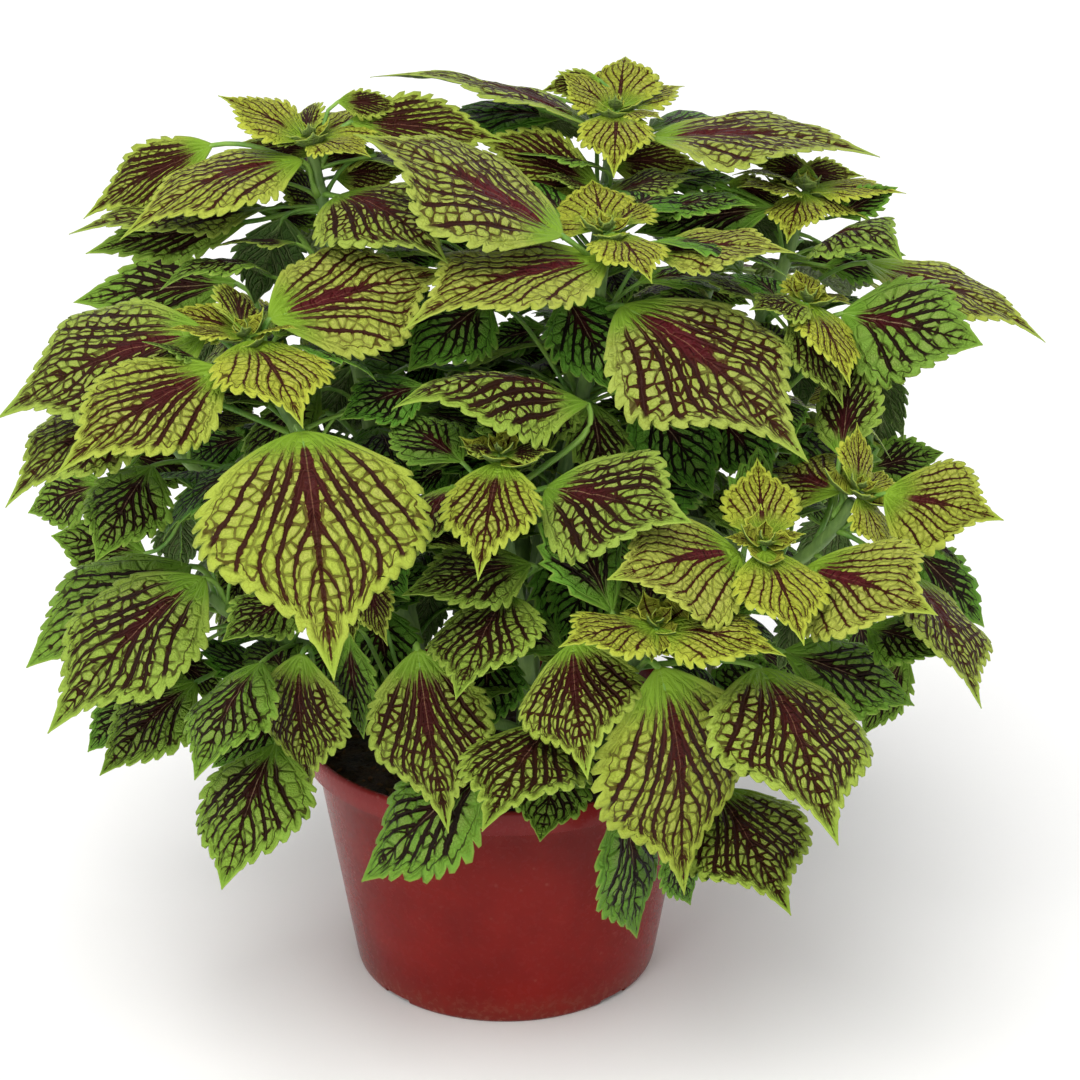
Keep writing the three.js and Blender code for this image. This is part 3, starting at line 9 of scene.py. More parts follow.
import bmesh
import bpy
import numpy as np
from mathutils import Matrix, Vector


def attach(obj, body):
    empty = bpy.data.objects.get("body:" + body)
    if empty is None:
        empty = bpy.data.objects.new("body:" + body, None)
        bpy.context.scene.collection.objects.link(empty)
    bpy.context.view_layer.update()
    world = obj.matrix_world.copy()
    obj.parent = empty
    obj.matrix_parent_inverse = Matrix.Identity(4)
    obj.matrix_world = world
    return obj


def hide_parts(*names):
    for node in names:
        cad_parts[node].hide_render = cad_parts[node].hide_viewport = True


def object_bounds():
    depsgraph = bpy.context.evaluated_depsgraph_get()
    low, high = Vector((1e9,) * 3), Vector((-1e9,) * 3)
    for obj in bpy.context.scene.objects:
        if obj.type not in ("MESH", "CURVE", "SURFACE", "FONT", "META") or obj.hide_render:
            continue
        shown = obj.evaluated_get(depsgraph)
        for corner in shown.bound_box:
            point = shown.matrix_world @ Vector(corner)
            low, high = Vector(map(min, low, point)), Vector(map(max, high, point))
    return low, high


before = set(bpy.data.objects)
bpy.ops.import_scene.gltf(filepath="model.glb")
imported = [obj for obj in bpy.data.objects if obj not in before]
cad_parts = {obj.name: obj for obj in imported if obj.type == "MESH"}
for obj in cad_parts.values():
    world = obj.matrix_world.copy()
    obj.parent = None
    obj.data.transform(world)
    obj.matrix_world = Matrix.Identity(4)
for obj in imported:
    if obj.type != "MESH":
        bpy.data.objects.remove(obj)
cad_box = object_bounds()


MM = 0.001
rng = np.random.default_rng(20)

# ------------------------------------------------------------------ tables
# stems: id, node, four Bezier points, radius at the foot and at the top, places of the leaf rings (0..1)
STEMS = [
    ('B', 'stem_left', ((-28, -6, 80), (-28, -6, 159.5), (-61.1, -33.3, 193.4), (-83, -49, 256)), 3.8, 1.9, (0.613, 0.805, 0.945, )),
    ('A', 'stem_left', ((-30.4, -7.9, 115), (-44, -9.3, 196.4), (-53.2, 13.1, 237), (-67, 20, 306)), 3.2, 1.9, (0.425, 0.758, 0.925, )),
    ('V', 'stem_left', ((-28.9, -6.8, 102.6), (-42.1, -16.5, 137.6), (-77.8, -48.5, 138.3), (-100, -58, 170)), 2.8, 1.8, (0.662, 0.932, )),
    ('C', 'stem_back', ((8, 16, 80), (8, 16, 178.5), (31.6, 52.6, 224.4), (40, 61, 308)), 3.8, 1.9, (0.405, 0.792, 0.878, 0.955, )),
    ('D', 'stem_back', ((8.5, 16.8, 105.4), (15.2, 15.9, 180.5), (31.8, -2.6, 216.8), (35, -9, 281)), 3.3, 1.9, (0.645, 0.853, 0.958, )),
    ('F', 'stem_right', ((34, 4, 80), (34, 4, 172.4), (92.5, 32.3, 206.7), (108, 40, 284)), 3.8, 1.9, (0.525, 0.8, 0.91, )),
    ('G', 'stem_right', ((43.4, 8.5, 140), (64.7, 10.8, 191.4), (95.7, -4.3, 209.4), (105, -9, 256)), 3, 1.9, (0.738, 0.925, )),
    ('I', 'stem_right', ((35.1, 4.5, 101.1), (54.6, -4.7, 159.1), (98.6, -49.3, 156.6), (118, -59, 205)), 3.2, 1.9, (0.917, )),
    ('J', 'stem_right', ((51, -5.9, 131.8), (74, -35.2, 166), (76.2, -80.5, 163.1), (84, -98, 202)), 3, 1.9, (0.497, 0.895, )),
    ('L', 'stem_front', ((6, -34, 80), (6, -34, 128.2), (40.6, -90.9, 140.1), (49, -116, 182)), 3.6, 1.9, (0.508, 0.83, )),
    ('Q', 'stem_front', ((7.6, -36.7, 97.1), (13, -53.9, 149.2), (0, -59.4, 177.7), (0, -73, 223)), 3.2, 1.9, (0.615, 0.878, )),
    ('K1', 'stem_left', ((-28.6, -6.5, 98.2), (-42, 3.6, 162.3), (-70.3, 50.3, 173.7), (-86, 66, 226)), 3.2, 1.9, (0.61, )),
    ('K2', 'stem_back', ((9, 17.5, 113.4), (8.3, 37.6, 186.4), (-12, 95.3, 204.3), (-12, 108, 268)), 3.2, 1.9, (0.675, )),
    ('K3', 'stem_back', ((10.1, 19.2, 128.6), (26.1, 39.8, 187.6), (64.7, 88.7, 185.1), (80, 104, 236)), 3, 1.9, (0.52, )),
    ('K4', 'stem_back', ((8.5, 22.2, 127.9), (-4.9, 53.6, 174.2), (-43.2, 100.7, 153.4), (-56, 122, 196)), 2.8, 1.9, (0.463, )),
    ('K5', 'stem_back', ((8.8, 19.4, 119.8), (12.9, 51.8, 170.1), (31.2, 111.2, 154.4), (38, 134, 200)), 2.8, 1.9, (0.547, )),
    ('K6', 'stem_right', ((38.1, 6, 120.3), (58.4, 23.3, 164.8), (94.5, 66.5, 147.3), (110, 82, 186)), 2.8, 1.9, (0.22, )),
    ('K7', 'stem_left', ((-37.1, 2.1, 128.3), (-63.3, 18.3, 169), (-108.5, 20.1, 167), (-128, 24, 206)), 2.8, 1.9, (0.367, )),
    ('P', 'stem_front', ((8.4, -38, 100.6), (27.8, -58.2, 127.4), (65.4, -86.2, 92.8), (80, -92, 122)), 2.5, 1.4, (1, )),
    ('U', 'stem_left', ((-35.7, -12, 115.5), (-51, -30.9, 131.9), (-59.3, -64, 108.5), (-66, -73, 131)), 2.4, 1.4, (1, )),
    ('O', 'stem_front', ((8.3, -39.2, 104.7), (2, -51.9, 128.6), (-27.5, -71.3, 117.6), (-32, -78, 140)), 2.5, 1.4, (1, )),
]

# leaves: name, node, blade base, blade tip, width, roll, rise at the base, droop at the tip, fold left and right, curl, twist,
# age (0 young .. 1 old), wine tint, stem centre at the stalk, stem direction, reach, 1 for a leaf of a shoot tip
LEAVES = [
    ('A1', 'tip_a', (-70.09, 16.37, 311.81), (-99.75, 26, 324.33), 25.7, -19.9, 10, 12, 10, 10, 0.25, 0, 0.1, 0.12, (-67.59, 20.3, 308.93), (-0.195, 0.1, 0.976), 1, 1),
    ('A2', 'tip_a', (-67.74, 26.48, 310.74), (-40.16, 46, 313.95), 27.69, 10, 15, 15, 8, 8, 0.25, 0, 0.15, 0.12, (-67.59, 20.3, 308.93), (-0.195, 0.1, 0.976), 1, 1),
    ('A3', 'tip_a', (-66.19, 15.58, 309.98), (-44.78, -0.95, 308.29), 23.14, 6, 15.9, 20, 8, 8, 0.25, 0, 0.1, 0.12, (-67.59, 20.3, 308.93), (-0.195, 0.1, 0.976), 1, 1),
    ('A4', 'tip_a', (-69.74, 26, 310.91), (-68.06, 50, 316.76), 13.99, -30, 15, 30, 8, 8, 0.25, 0, 0.3, 0.12, (-67.59, 20.3, 308.93), (-0.195, 0.1, 0.976), 1, 1),
    ('A5', 'tip_a', (-71.12, 22.86, 307.37), (-89.42, 16.82, 309.29), 12.6, 3.7, 15, 28.1, 8, 8, 0.25, 0, 0.45, 0.12, (-67.59, 20.3, 308.93), (-0.195, 0.1, 0.976), 1, 1),
    ('A6', 'leaves_a1', (-70.15, 16, 303.86), (-130.3, -14, 282.52), 46.85, -10, 24, 22, 6, 6, 0.25, 0, 0.25, 0.55, (-63.97, 18.2, 290.92), (-0.196, 0.134, 0.971), 3.5, 0),
    ('A7', 'leaves_a2', (-85.71, 30, 283.38), (-151.84, 8, 279.06), 53.94, -2, 14, 14, 8, 8, 0.25, 0, 0.45, 0.4, (-57.63, 12.81, 259.8), (-0.196, 0.196, 0.961), 3.72, 0),
    ('A8', 'leaves_a1', (-57.78, 14, 291.53), (-17.73, -34, 279.75), 50.93, 13, 25, 20, 4, 4, 0.25, 0, 0.45, 0.55, (-63.97, 18.2, 290.92), (-0.196, 0.134, 0.971), 3.5, 0),
    ('A9', 'leaves_a2', (-71.89, 2, 277.72), (-100.55, -8, 278.17), 15.35, 6, 10, 20, 8, 8, 0.25, 0, 0.5, 0.4, (-57.63, 12.81, 259.8), (-0.196, 0.196, 0.961), 3.72, 0),
    ('A10', 'leaves_a2', (-80.48, 0, 266.44), (-117.31, -16, 265.46), 31.18, 5, 40, 35, 10, 10, 0.25, 0, 0.75, 0.4, (-57.63, 12.81, 259.8), (-0.196, 0.196, 0.961), 3.72, 0),
    ('B1', 'leaves_b1', (-76.82, -45.96, 264.1), (-16.49, -15.67, 272.13), 55.12, 28, 11.1, 11.3, 4, 4, 0.25, 0, 0.25, 0.8, (-79.29, -46.32, 245.92), (-0.348, -0.254, 0.902), 3.5, 0),
    ('B2', 'tip_b', (-85.85, -42.59, 259.67), (-113.7, -26.9, 261.7), 19.82, -24.7, 7.3, 14, 8, 8, 0.25, 0, 0.12, 0.12, (-83.97, -49.7, 258.75), (-0.324, -0.232, 0.917), 1, 1),
    ('B3', 'tip_b', (-86.74, -52, 259.39), (-109.88, -62.15, 265.11), 15.44, -4, 12, 14, 8, 8, 0.25, 0, 0.12, 0.12, (-83.97, -49.7, 258.75), (-0.324, -0.232, 0.917), 1, 1),
    ('B4', 'tip_b', (-81.72, -56, 258.53), (-61.42, -101, 244.23), 39.77, 0, 16, 20, 6, 6, 0.25, 0, 0.12, 0.12, (-83.97, -49.7, 258.75), (-0.324, -0.232, 0.917), 1, 1),
    ('B5', 'tip_b', (-86.18, -50.39, 262.86), (-95.81, -14.91, 267.82), 18.35, 30, 11.5, 23, 8, 8, 0.25, 0, 0.3, 0.12, (-83.97, -49.7, 258.75), (-0.324, -0.232, 0.917), 1, 1),
    ('B6', 'tip_b', (-78.7, -52, 262.13), (-65.36, -60, 264.48), 8.79, 0, 10, 25, 8, 8, 0.25, 0, 0.1, 0.12, (-83.97, -49.7, 258.75), (-0.324, -0.232, 0.917), 1, 1),
    ('L1', 'leaves_b1', (-97.64, -49.23, 260.52), (-165.82, -63.45, 234.84), 65.04, -26, 22, 20.1, 4, 4, 0.25, 0, 0.5, 0.55, (-79.29, -46.32, 245.92), (-0.348, -0.254, 0.902), 3.5, 0),
    ('L2', 'leaves_b1', (-91.01, -68, 254), (-138.23, -110, 231.78), 44.43, -24, 14, 22, 8, 8, 0.25, 0, 0.28, 0.55, (-79.29, -46.32, 245.92), (-0.348, -0.254, 0.902), 3.5, 0),
    ('L3', 'leaves_b2', (-118.93, -40, 235.43), (-163.89, -70, 206.19), 42.96, -12, 16, 24, 8, 8, 0.25, 0, 0.5, 0.4, (-69.23, -38.8, 222.1), (-0.394, -0.3, 0.869), 3.77, 0),
    ('L4', 'leaves_b3', (-120.01, -38, 209.61), (-135.52, -69, 186.54), 31.62, -15, 24, 10, 4, 4, 0.25, 0, 0.75, 0.22, (-55.07, -27.81, 191.83), (-0.4, -0.315, 0.861), 4.14, 0),
    ('L5', 'leaves_b1', (-97.16, -60.61, 253.5), (-115.51, -70, 263.39), 14.48, 0, 10, 10.3, 8, 8, 0.25, 0, 0.8, 0.55, (-79.29, -46.32, 245.92), (-0.348, -0.254, 0.902), 3.5, 0),
    ('C1', 'tip_c', (42.6, 61.24, 314.33), (45.33, 97.66, 325.1), 29.99, -4.8, -3.2, 22, 6, 6, 0.25, 0, 0.12, 0.12, (40.3, 61.31, 310.97), (0.101, 0.103, 0.99), 1, 1),
    ('C2', 'tip_c', (38.93, 57.34, 313.72), (19.66, 66.06, 325.64), 24.53, -15.7, 6.9, 11.4, 8, 8, 0.25, 0, 0.12, 0.12, (40.3, 61.31, 310.97), (0.101, 0.103, 0.99), 1, 1),
    ('C3', 'tip_c', (41.9, 53.91, 313.12), (39.03, 22.73, 295.81), 27.4, 0, 22, 25.1, 8, 8, 0.25, 0, 0.12, 0.12, (40.3, 61.31, 310.97), (0.101, 0.103, 0.99), 1, 1),
    ('C4', 'tip_c', (45.21, 64, 313.25), (67.37, 92.82, 314.86), 18.43, 8, 8, 14, 8, 8, 0.25, 0, 0.12, 0.12, (40.3, 61.31, 310.97), (0.101, 0.103, 0.99), 1, 1),
    ('C5', 'tip_c', (45.81, 58.26, 312.53), (57.27, 46.77, 311.63), 13.6, 3.2, 8.5, 19.1, 8, 8, 0.25, 0, 0.12, 0.12, (40.3, 61.31, 310.97), (0.101, 0.103, 0.99), 1, 1),
    ('C6', 'leaves_c1', (34.89, 54.34, 305.56), (-49.42, 70.83, 322.21), 44.58, 6, 18, 20, 12, 12, 0.25, 0, 0.45, 0.55, (38.78, 59.71, 296.93), (0.118, 0.132, 0.984), 3.49, 0),
    ('C7', 'leaves_c1', (52.83, 50, 304.4), (133.97, 32, 301.04), 57.62, 7, 12, 16, 10, 10, 0.25, 0, 0.35, 0.8, (38.78, 59.71, 296.93), (0.118, 0.132, 0.984), 3.49, 0),
    ('C8', 'leaves_c2', (22.85, 96, 309.16), (-11.87, 86, 296), 30.75, -20, 16, 14, 8, 8, 0.25, 0, 0.8, 0.4, (36.31, 56.77, 278.8), (0.148, 0.184, 0.972), 3.63, 0),
    ('C9', 'leaves_c2', (36.85, 44, 294.01), (4.05, 38, 301.17), 20.67, 4, 18, 10, 8, 8, 0.25, 0, 0.8, 0.4, (36.31, 56.77, 278.8), (0.148, 0.184, 0.972), 3.63, 0),
    ('C10', 'leaves_c2', (36.02, 36, 284.87), (70.88, 44, 291.07), 27.78, 6, 20, 20, 8, 8, 0.25, 0, 0.6, 0.4, (36.31, 56.77, 278.8), (0.148, 0.184, 0.972), 3.63, 0),
    ('C11', 'leaves_c2', (33.8, 34, 286.81), (13, 30, 295), 17.38, -6, 20, 20, 8, 8, 0.25, 0, 0.6, 0.4, (36.31, 56.77, 278.8), (0.148, 0.184, 0.972), 3.63, 0),
    ('C12', 'leaves_c3', (52.91, 26, 282.17), (88.8, 14, 287.96), 24.22, 10, 20, 20, 8, 8, 0.25, 0, 0.85, 0.22, (33.17, 52.72, 260.02), (0.174, 0.231, 0.957), 3.79, 0),
    ('C13', 'leaves_c3', (53.57, 60, 284.42), (87.95, 66, 284.53), 21.32, 14, 18, 20, 8, 8, 0.25, 0, 0.85, 0.22, (33.17, 52.72, 260.02), (0.174, 0.231, 0.957), 3.79, 0),
    ('D1', 'tip_d', (34.54, -5, 285.41), (31.56, 32, 293.09), 30.16, 0, 4, 12, 4, 4, 0.25, 0, 0.1, 0.12, (35.16, -9.3, 283.98), (0.052, -0.102, 0.993), 1, 1),
    ('D2', 'tip_d', (40.8, -14.3, 285.1), (50.01, -45, 275.87), 25.96, 0, 12, 20, 8, 8, 0.25, 0, 0.1, 0.12, (35.16, -9.3, 283.98), (0.052, -0.102, 0.993), 1, 1),
    ('D3', 'tip_d', (32.1, -8, 286.3), (18.62, 14, 285.81), 20.52, -20, 8, 14, 8, 8, 0.25, 0, 0.1, 0.12, (35.16, -9.3, 283.98), (0.052, -0.102, 0.993), 1, 1),
    ('D4', 'tip_d', (41.7, -3, 286.8), (51.16, 20, 287.24), 18.99, 0, 8, 20, 8, 8, 0.25, 0, 0.15, 0.12, (35.16, -9.3, 283.98), (0.052, -0.102, 0.993), 1, 1),
    ('D5', 'tip_d', (36.4, -17.2, 282.9), (35.92, -27.15, 277.7), 13.76, 0.9, 20.8, 20, 8, 8, 0.25, 0, 0.1, 0.12, (35.16, -9.3, 283.98), (0.052, -0.102, 0.993), 1, 1),
    ('D6', 'leaves_d1', (20.71, -20.15, 285.82), (-50.18, -9.49, 318.02), 65.51, -14.1, 8, 17.5, 4, 4, 0.25, 0, 0.35, 1, (34.52, -8.12, 272.96), (0.069, -0.118, 0.991), 3.46, 0),
    ('D7', 'leaves_d1', (34.73, -14.51, 276.08), (-31.86, -57.15, 263.07), 56.36, -10.6, 11.2, 26, 14, 14, 0.25, 0, 0.22, 1, (34.52, -8.12, 272.96), (0.069, -0.118, 0.991), 3.46, 0),
    ('D8', 'leaves_d2', (51.41, -11.94, 277.97), (99.62, -24.94, 280.74), 38.47, 10.3, 12, 16, 10, 10, 0.25, 0, 0.2, 0.95, (32.78, -5.47, 254.19), (0.113, -0.159, 0.981), 3.61, 0),
    ('D9', 'leaves_d2', (40.98, -22, 261.84), (100.7, -74, 223.4), 69.95, 14, 22, 14, 4, 4, 0.25, 0, 0.4, 0.9, (32.78, -5.47, 254.19), (0.113, -0.159, 0.981), 3.61, 0),
    ('E1', 'leaves_q1', (29.02, -47.94, 235.28), (-34.64, -79.45, 243.33), 48.91, 10.4, 30, 31.7, 6, -40, 0.25, 0, 0.6, 0.22, (0.53, -68.34, 207.05), (-0.062, -0.273, 0.96), 3.56, 0),
    ('F1', 'tip_f', (109.29, 44.99, 288.54), (81.84, 36.09, 293.72), 17.02, 2.9, 20, 28, 8, 8, 0.25, 0, 0.3, 0.12, (108.6, 40.3, 286.92), (0.201, 0.101, 0.974), 1, 1),
    ('F2', 'tip_f', (106.43, 36, 287.06), (82.6, 22, 292.52), 19.38, -8, 10, 20, 8, 8, 0.25, 0, 0.2, 0.12, (108.6, 40.3, 286.92), (0.201, 0.101, 0.974), 1, 1),
    ('F3', 'tip_f', (106.96, 34, 286.81), (99.66, 9, 275.57), 21.86, 0, 16, 20, 8, 8, 0.25, 0, 0.15, 0.12, (108.6, 40.3, 286.92), (0.201, 0.101, 0.974), 1, 1),
    ('F4', 'tip_f', (112.55, 40, 288.32), (144.11, 32.59, 287.91), 20.1, 10, 14.6, 10, 8, 8, 0.25, 0, 0.08, 0.12, (108.6, 40.3, 286.92), (0.201, 0.101, 0.974), 1, 1),
    ('F5', 'tip_f', (111.52, 36, 285.6), (130.11, 27.73, 279.67), 18.78, 11.8, 15, 20, 8, 8, 0.25, 0, 0.2, 0.12, (108.6, 40.3, 286.92), (0.201, 0.101, 0.974), 1, 1),
    ('F6', 'leaves_f1', (96.43, 34, 280.22), (72.95, 42, 290.06), 13.45, 6, 10, 16, 8, 8, 0.25, 0, 0.9, 0.55, (102.85, 37.45, 264.1), (0.3, 0.148, 0.942), 3.57, 0),
    ('G1', 'leaves_f1', (109.85, 20, 268.37), (138.03, -9, 273.12), 37.1, 13, 44, 64, 4, 4, 0.25, 0, 0.7, 0.55, (102.85, 37.45, 264.1), (0.3, 0.148, 0.942), 3.57, 0),
    ('G2', 'leaves_f2', (129.12, 19.43, 266.12), (189.67, -6, 243.92), 47.04, 4, 10, 20.1, 8, 8, 0.25, 0, 0.3, 0.4, (94.37, 33.29, 241.98), (0.4, 0.195, 0.896), 3.78, 0),
    ('G5', 'tip_g', (106.77, -13, 260.72), (116.94, -45.86, 240.05), 25.42, -16.3, 11.5, 14, 8, 8, 0.25, 0, 0.08, 0.12, (105.6, -9.3, 258.92), (0.201, -0.1, 0.975), 1, 1),
    ('G6', 'tip_g', (105.7, -10, 260.59), (103.07, 8, 266.45), 15.18, 0, 8, 14, 8, 8, 0.25, 0, 0.08, 0.12, (105.6, -9.3, 258.92), (0.201, -0.1, 0.975), 1, 1),
    ('G7', 'tip_g', (103.6, -18.1, 261.47), (83.68, -29.5, 262.36), 23.43, -12.9, 14.4, 12, 8, 8, 0.25, 0, 0.5, 0.12, (105.6, -9.3, 258.92), (0.201, -0.1, 0.975), 1, 1),
    ('G8', 'tip_g', (109.7, -7.51, 258.37), (119.74, 19.52, 253.87), 17.58, 0, 11.2, 14, 8, 8, 0.25, 0, 0.08, 0.12, (105.6, -9.3, 258.92), (0.201, -0.1, 0.975), 1, 1),
    ('G9', 'leaves_g1', (99.77, -16, 255.86), (116.17, -36, 229.83), 25.53, 16.6, 18, 15.6, 6, 6, 0.25, 0, 0.6, 0.55, (102.55, -7.79, 245.98), (0.276, -0.135, 0.951), 3.48, 0),
    ('G3', 'leaves_g1', (117.98, -7.17, 254.94), (162.63, -34.93, 251.79), 45.85, 42.1, 10.1, 8.9, 4, 4, 0.25, 0, 0.8, 0.55, (102.55, -7.79, 245.98), (0.276, -0.135, 0.951), 3.48, 0),
    ('G4', 'leaves_g2', (123.5, -12, 244.63), (139.41, -22, 213.55), 22.04, -50, 10, 20, 8, 8, 0.25, 0, 0.75, 0.4, (93.75, -3.67, 224.1), (0.45, -0.2, 0.87), 3.69, 0),
    ('I1', 'tip_i', (118.92, -61.41, 210.39), (120.33, -41.72, 226.53), 17.43, 18, 6, 10, 8, 8, 0.25, 0, 0.08, 0.12, (119.12, -59.57, 207.73), (0.372, -0.19, 0.909), 1, 1),
    ('I2', 'tip_i', (119.63, -65.31, 207.45), (129.04, -75.94, 189.59), 23.75, -5.4, 9.2, 10.7, 8, 8, 0.25, 0, 0.08, 0.12, (119.12, -59.57, 207.73), (0.372, -0.19, 0.909), 1, 1),
    ('I3', 'tip_i', (123.21, -56.71, 206.08), (130.82, -38.85, 208.34), 17.13, -0.4, 4.1, 10, 8, 8, 0.25, 0, 0.08, 0.12, (119.12, -59.57, 207.73), (0.372, -0.19, 0.909), 1, 1),
    ('I5', 'leaves_i1', (128.07, -62.16, 208.47), (163.98, -84.67, 207.27), 40.1, 34, 5.9, 11.9, 4, 4, 0.25, 0, 0.2, 0.55, (112.73, -55.93, 193.99), (0.47, -0.304, 0.829), 3.51, 0),
    ('I6', 'leaves_i1', (114.09, -57.67, 207.14), (93.15, -7.49, 195.96), 37.65, -27.9, 11.6, 14.6, 4, 4, 0.25, 0, 0.25, 0.55, (112.73, -55.93, 193.99), (0.47, -0.304, 0.829), 3.51, 0),
    ('H1', 'leaves_i1', (114.9, -44, 215.7), (123.36, -13.36, 241.58), 26.4, -31.5, -1.9, 20.8, 4, 4, 0.25, 0, 0.7, 0.55, (112.73, -55.93, 193.99), (0.47, -0.304, 0.829), 3.51, 0),
    ('K1', 'leaves_i1', (135.24, -70.22, 182.78), (154.56, -117.06, 154.93), 43.44, -26, 22.6, 8, 10, 10, 0.25, 0, 0.4, 0.55, (112.73, -55.93, 193.99), (0.47, -0.304, 0.829), 3.51, 0),
    ('I7', 'leaves_i1', (146.21, -50, 187.06), (156.7, -56, 178.8), 6.7, 0, 18, 18, 8, 8, 0.25, 0, 0.8, 0.55, (112.73, -55.93, 193.99), (0.47, -0.304, 0.829), 3.51, 0),
    ('J1', 'tip_j', (84.83, -98, 206.37), (84.7, -66, 222.33), 25.68, 0, 4, 10, 6, 6, 0.25, 0, 0.12, 0.12, (84.54, -99.24, 204.68), (0.179, -0.413, 0.893), 1, 1),
    ('J2', 'tip_j', (85.26, -102.79, 202.03), (94.58, -137, 185.67), 31.17, -0.5, 8, 17, 6, 6, 0.25, 0, 0.12, 0.12, (84.54, -99.24, 204.68), (0.179, -0.413, 0.893), 1, 1),
    ('J3', 'tip_j', (82.76, -100, 205.77), (72.05, -98.51, 206.67), 6.91, -21.3, 15.6, 18, 8, 8, 0.25, 0, 0.08, 0.12, (84.54, -99.24, 204.68), (0.179, -0.413, 0.893), 1, 1),
    ('J4', 'tip_j', (87.88, -100, 205.77), (98.48, -96, 206.97), 6.95, 20, 18, 18, 8, 8, 0.25, 0, 0.08, 0.12, (84.54, -99.24, 204.68), (0.179, -0.413, 0.893), 1, 1),
    ('J5', 'leaves_j1', (77.07, -97.1, 200.77), (33.89, -120.91, 201.03), 51.13, -27.8, 17.8, 13.6, 4, 4, 0.25, 0, 0.18, 0.9, (81.7, -91.62, 191.04), (0.177, -0.584, 0.792), 3.52, 0),
    ('J6', 'leaves_j1', (99.23, -93.01, 194.07), (135.75, -135, 194.89), 47.77, 28, 9.9, 13.8, 4, 4, 0.25, 0, 0.18, 1, (81.7, -91.62, 191.04), (0.177, -0.584, 0.792), 3.52, 0),
    ('K2', 'leaves_j2', (93.31, -92, 163.81), (136.51, -96, 146.11), 36.85, 24, 10, 16, 6, 6, 0.25, 0, 0.8, 0.22, (73.14, -56.11, 165.03), (0.225, -0.875, 0.428), 3.95, 0),
    ('K3', 'leaves_j2', (122.28, -80, 167.25), (146.77, -101.31, 166.45), 26.08, 24, 10.9, 16, 8, 8, 0.25, 0, 0.8, 0.22, (73.14, -56.11, 165.03), (0.225, -0.875, 0.428), 3.95, 0),
    ('M11', 'tip_l', (47.98, -120.14, 183.89), (18.65, -146.33, 189.08), 29.59, -12.3, 16, 16, 4, 4, 0.25, 0, 0.15, 0.12, (49.52, -117.54, 184.52), (0.174, -0.514, 0.84), 1, 1),
    ('M12', 'tip_l', (51.53, -120, 183.05), (89.26, -136, 181.52), 32.31, 10, 14, 16, 6, 6, 0.25, 0, 0.15, 0.12, (49.52, -117.54, 184.52), (0.174, -0.514, 0.84), 1, 1),
    ('M13', 'tip_l', (49.7, -118, 184.25), (52.36, -89, 179.67), 22.91, 0, 4, 20, 8, 8, 0.25, 0, 0.12, 0.12, (49.52, -117.54, 184.52), (0.174, -0.514, 0.84), 1, 1),
    ('M14', 'tip_l', (49.37, -125.84, 184.16), (47.8, -134.4, 179.03), 13.93, 6.8, 18.6, 22.7, 8, 8, 0.25, 0, 0.1, 0.12, (49.52, -117.54, 184.52), (0.174, -0.514, 0.84), 1, 1),
    ('M15', 'tip_l', (52.41, -116.66, 180.09), (58.78, -134.67, 177.33), 18.65, -5.8, 12, 20, 8, 8, 0.25, 0, 0.1, 0.12, (49.52, -117.54, 184.52), (0.174, -0.514, 0.84), 1, 1),
    ('M1', 'leaves_l1', (50.4, -120.91, 171.15), (60.55, -117.35, 87.37), 59.9, 0, 31.1, 4, 2, 2, 0.25, 0, 0.3, 0.4, (42.75, -100.86, 162.9), (0.312, -0.669, 0.674), 3.69, 0),
    ('M2', 'leaves_l1', (84.43, -104, 163.43), (104.59, -163, 130.01), 56.82, -8, 24, 4, 4, 4, 0.25, 0, 0.45, 0.4, (42.75, -100.86, 162.9), (0.312, -0.669, 0.674), 3.69, 0),
    ('N1', 'leaves_l1', (23.99, -104, 172.63), (27.92, -148, 145.06), 42.01, 24, 24, 14, -4, -4, 0.25, 0, 0.4, 0.4, (42.75, -100.86, 162.9), (0.312, -0.669, 0.674), 3.69, 0),
    ('M3', 'leaves_p1', (73.01, -79.68, 106.92), (94.28, -135, 89.43), 44.76, 11, 20, 4.6, 4, 4, 0.25, 0, 0.5, 0.22, (80, -92, 122), (0.453, -0.185, 0.872), 2.9, 0),
    ('M4', 'leaves_p1', (38.3, -100, 117.17), (46.29, -88, 53.78), 42.72, -21, 20, 4, 6, 6, 0.25, 0, 0.85, 0.22, (80, -92, 122), (0.453, -0.185, 0.872), 2.9, 0),
    ('M5', 'leaves_p1', (56.36, -92, 97.98), (64.86, -86, 65.67), 23.42, 0, 20, 4, 8, 8, 0.25, 0, 0.85, 0.22, (80, -92, 122), (0.453, -0.185, 0.872), 2.9, 0),
    ('Q1', 'tip_q', (-0.03, -78, 223.08), (-6.34, -121.68, 201.07), 32.67, 0, 14, 16.5, 6, 6, 0.25, 0, 0.25, 0.12, (-0.01, -73.86, 225.87), (-0.003, -0.287, 0.958), 1, 1),
    ('Q2', 'tip_q', (-1.34, -76, 226.52), (-13.44, -74, 228.93), 6.98, -10, 18, 18, 8, 8, 0.25, 0, 0.4, 0.12, (-0.01, -73.86, 225.87), (-0.003, -0.287, 0.958), 1, 1),
    ('Q3', 'tip_q', (3.87, -76, 226.52), (18.21, -76, 227.9), 10.98, 16, 18, 18, 8, 8, 0.25, 0, 0.4, 0.12, (-0.01, -73.86, 225.87), (-0.003, -0.287, 0.958), 1, 1),
    ('Q4', 'tip_q', (2.53, -72, 227.89), (7.61, -43, 236.4), 24.49, 0, 4, 10, 8, 8, 0.25, 0, 0.75, 0.12, (-0.01, -73.86, 225.87), (-0.003, -0.287, 0.958), 1, 1),
    ('R1', 'leaves_q1', (14.97, -74, 214.69), (60.7, -116.57, 218.37), 48.01, 34.3, 12.7, 14, 2, 2, 0.25, 0, 0.6, 0.55, (0.53, -68.34, 207.05), (-0.062, -0.273, 0.96), 3.56, 0),
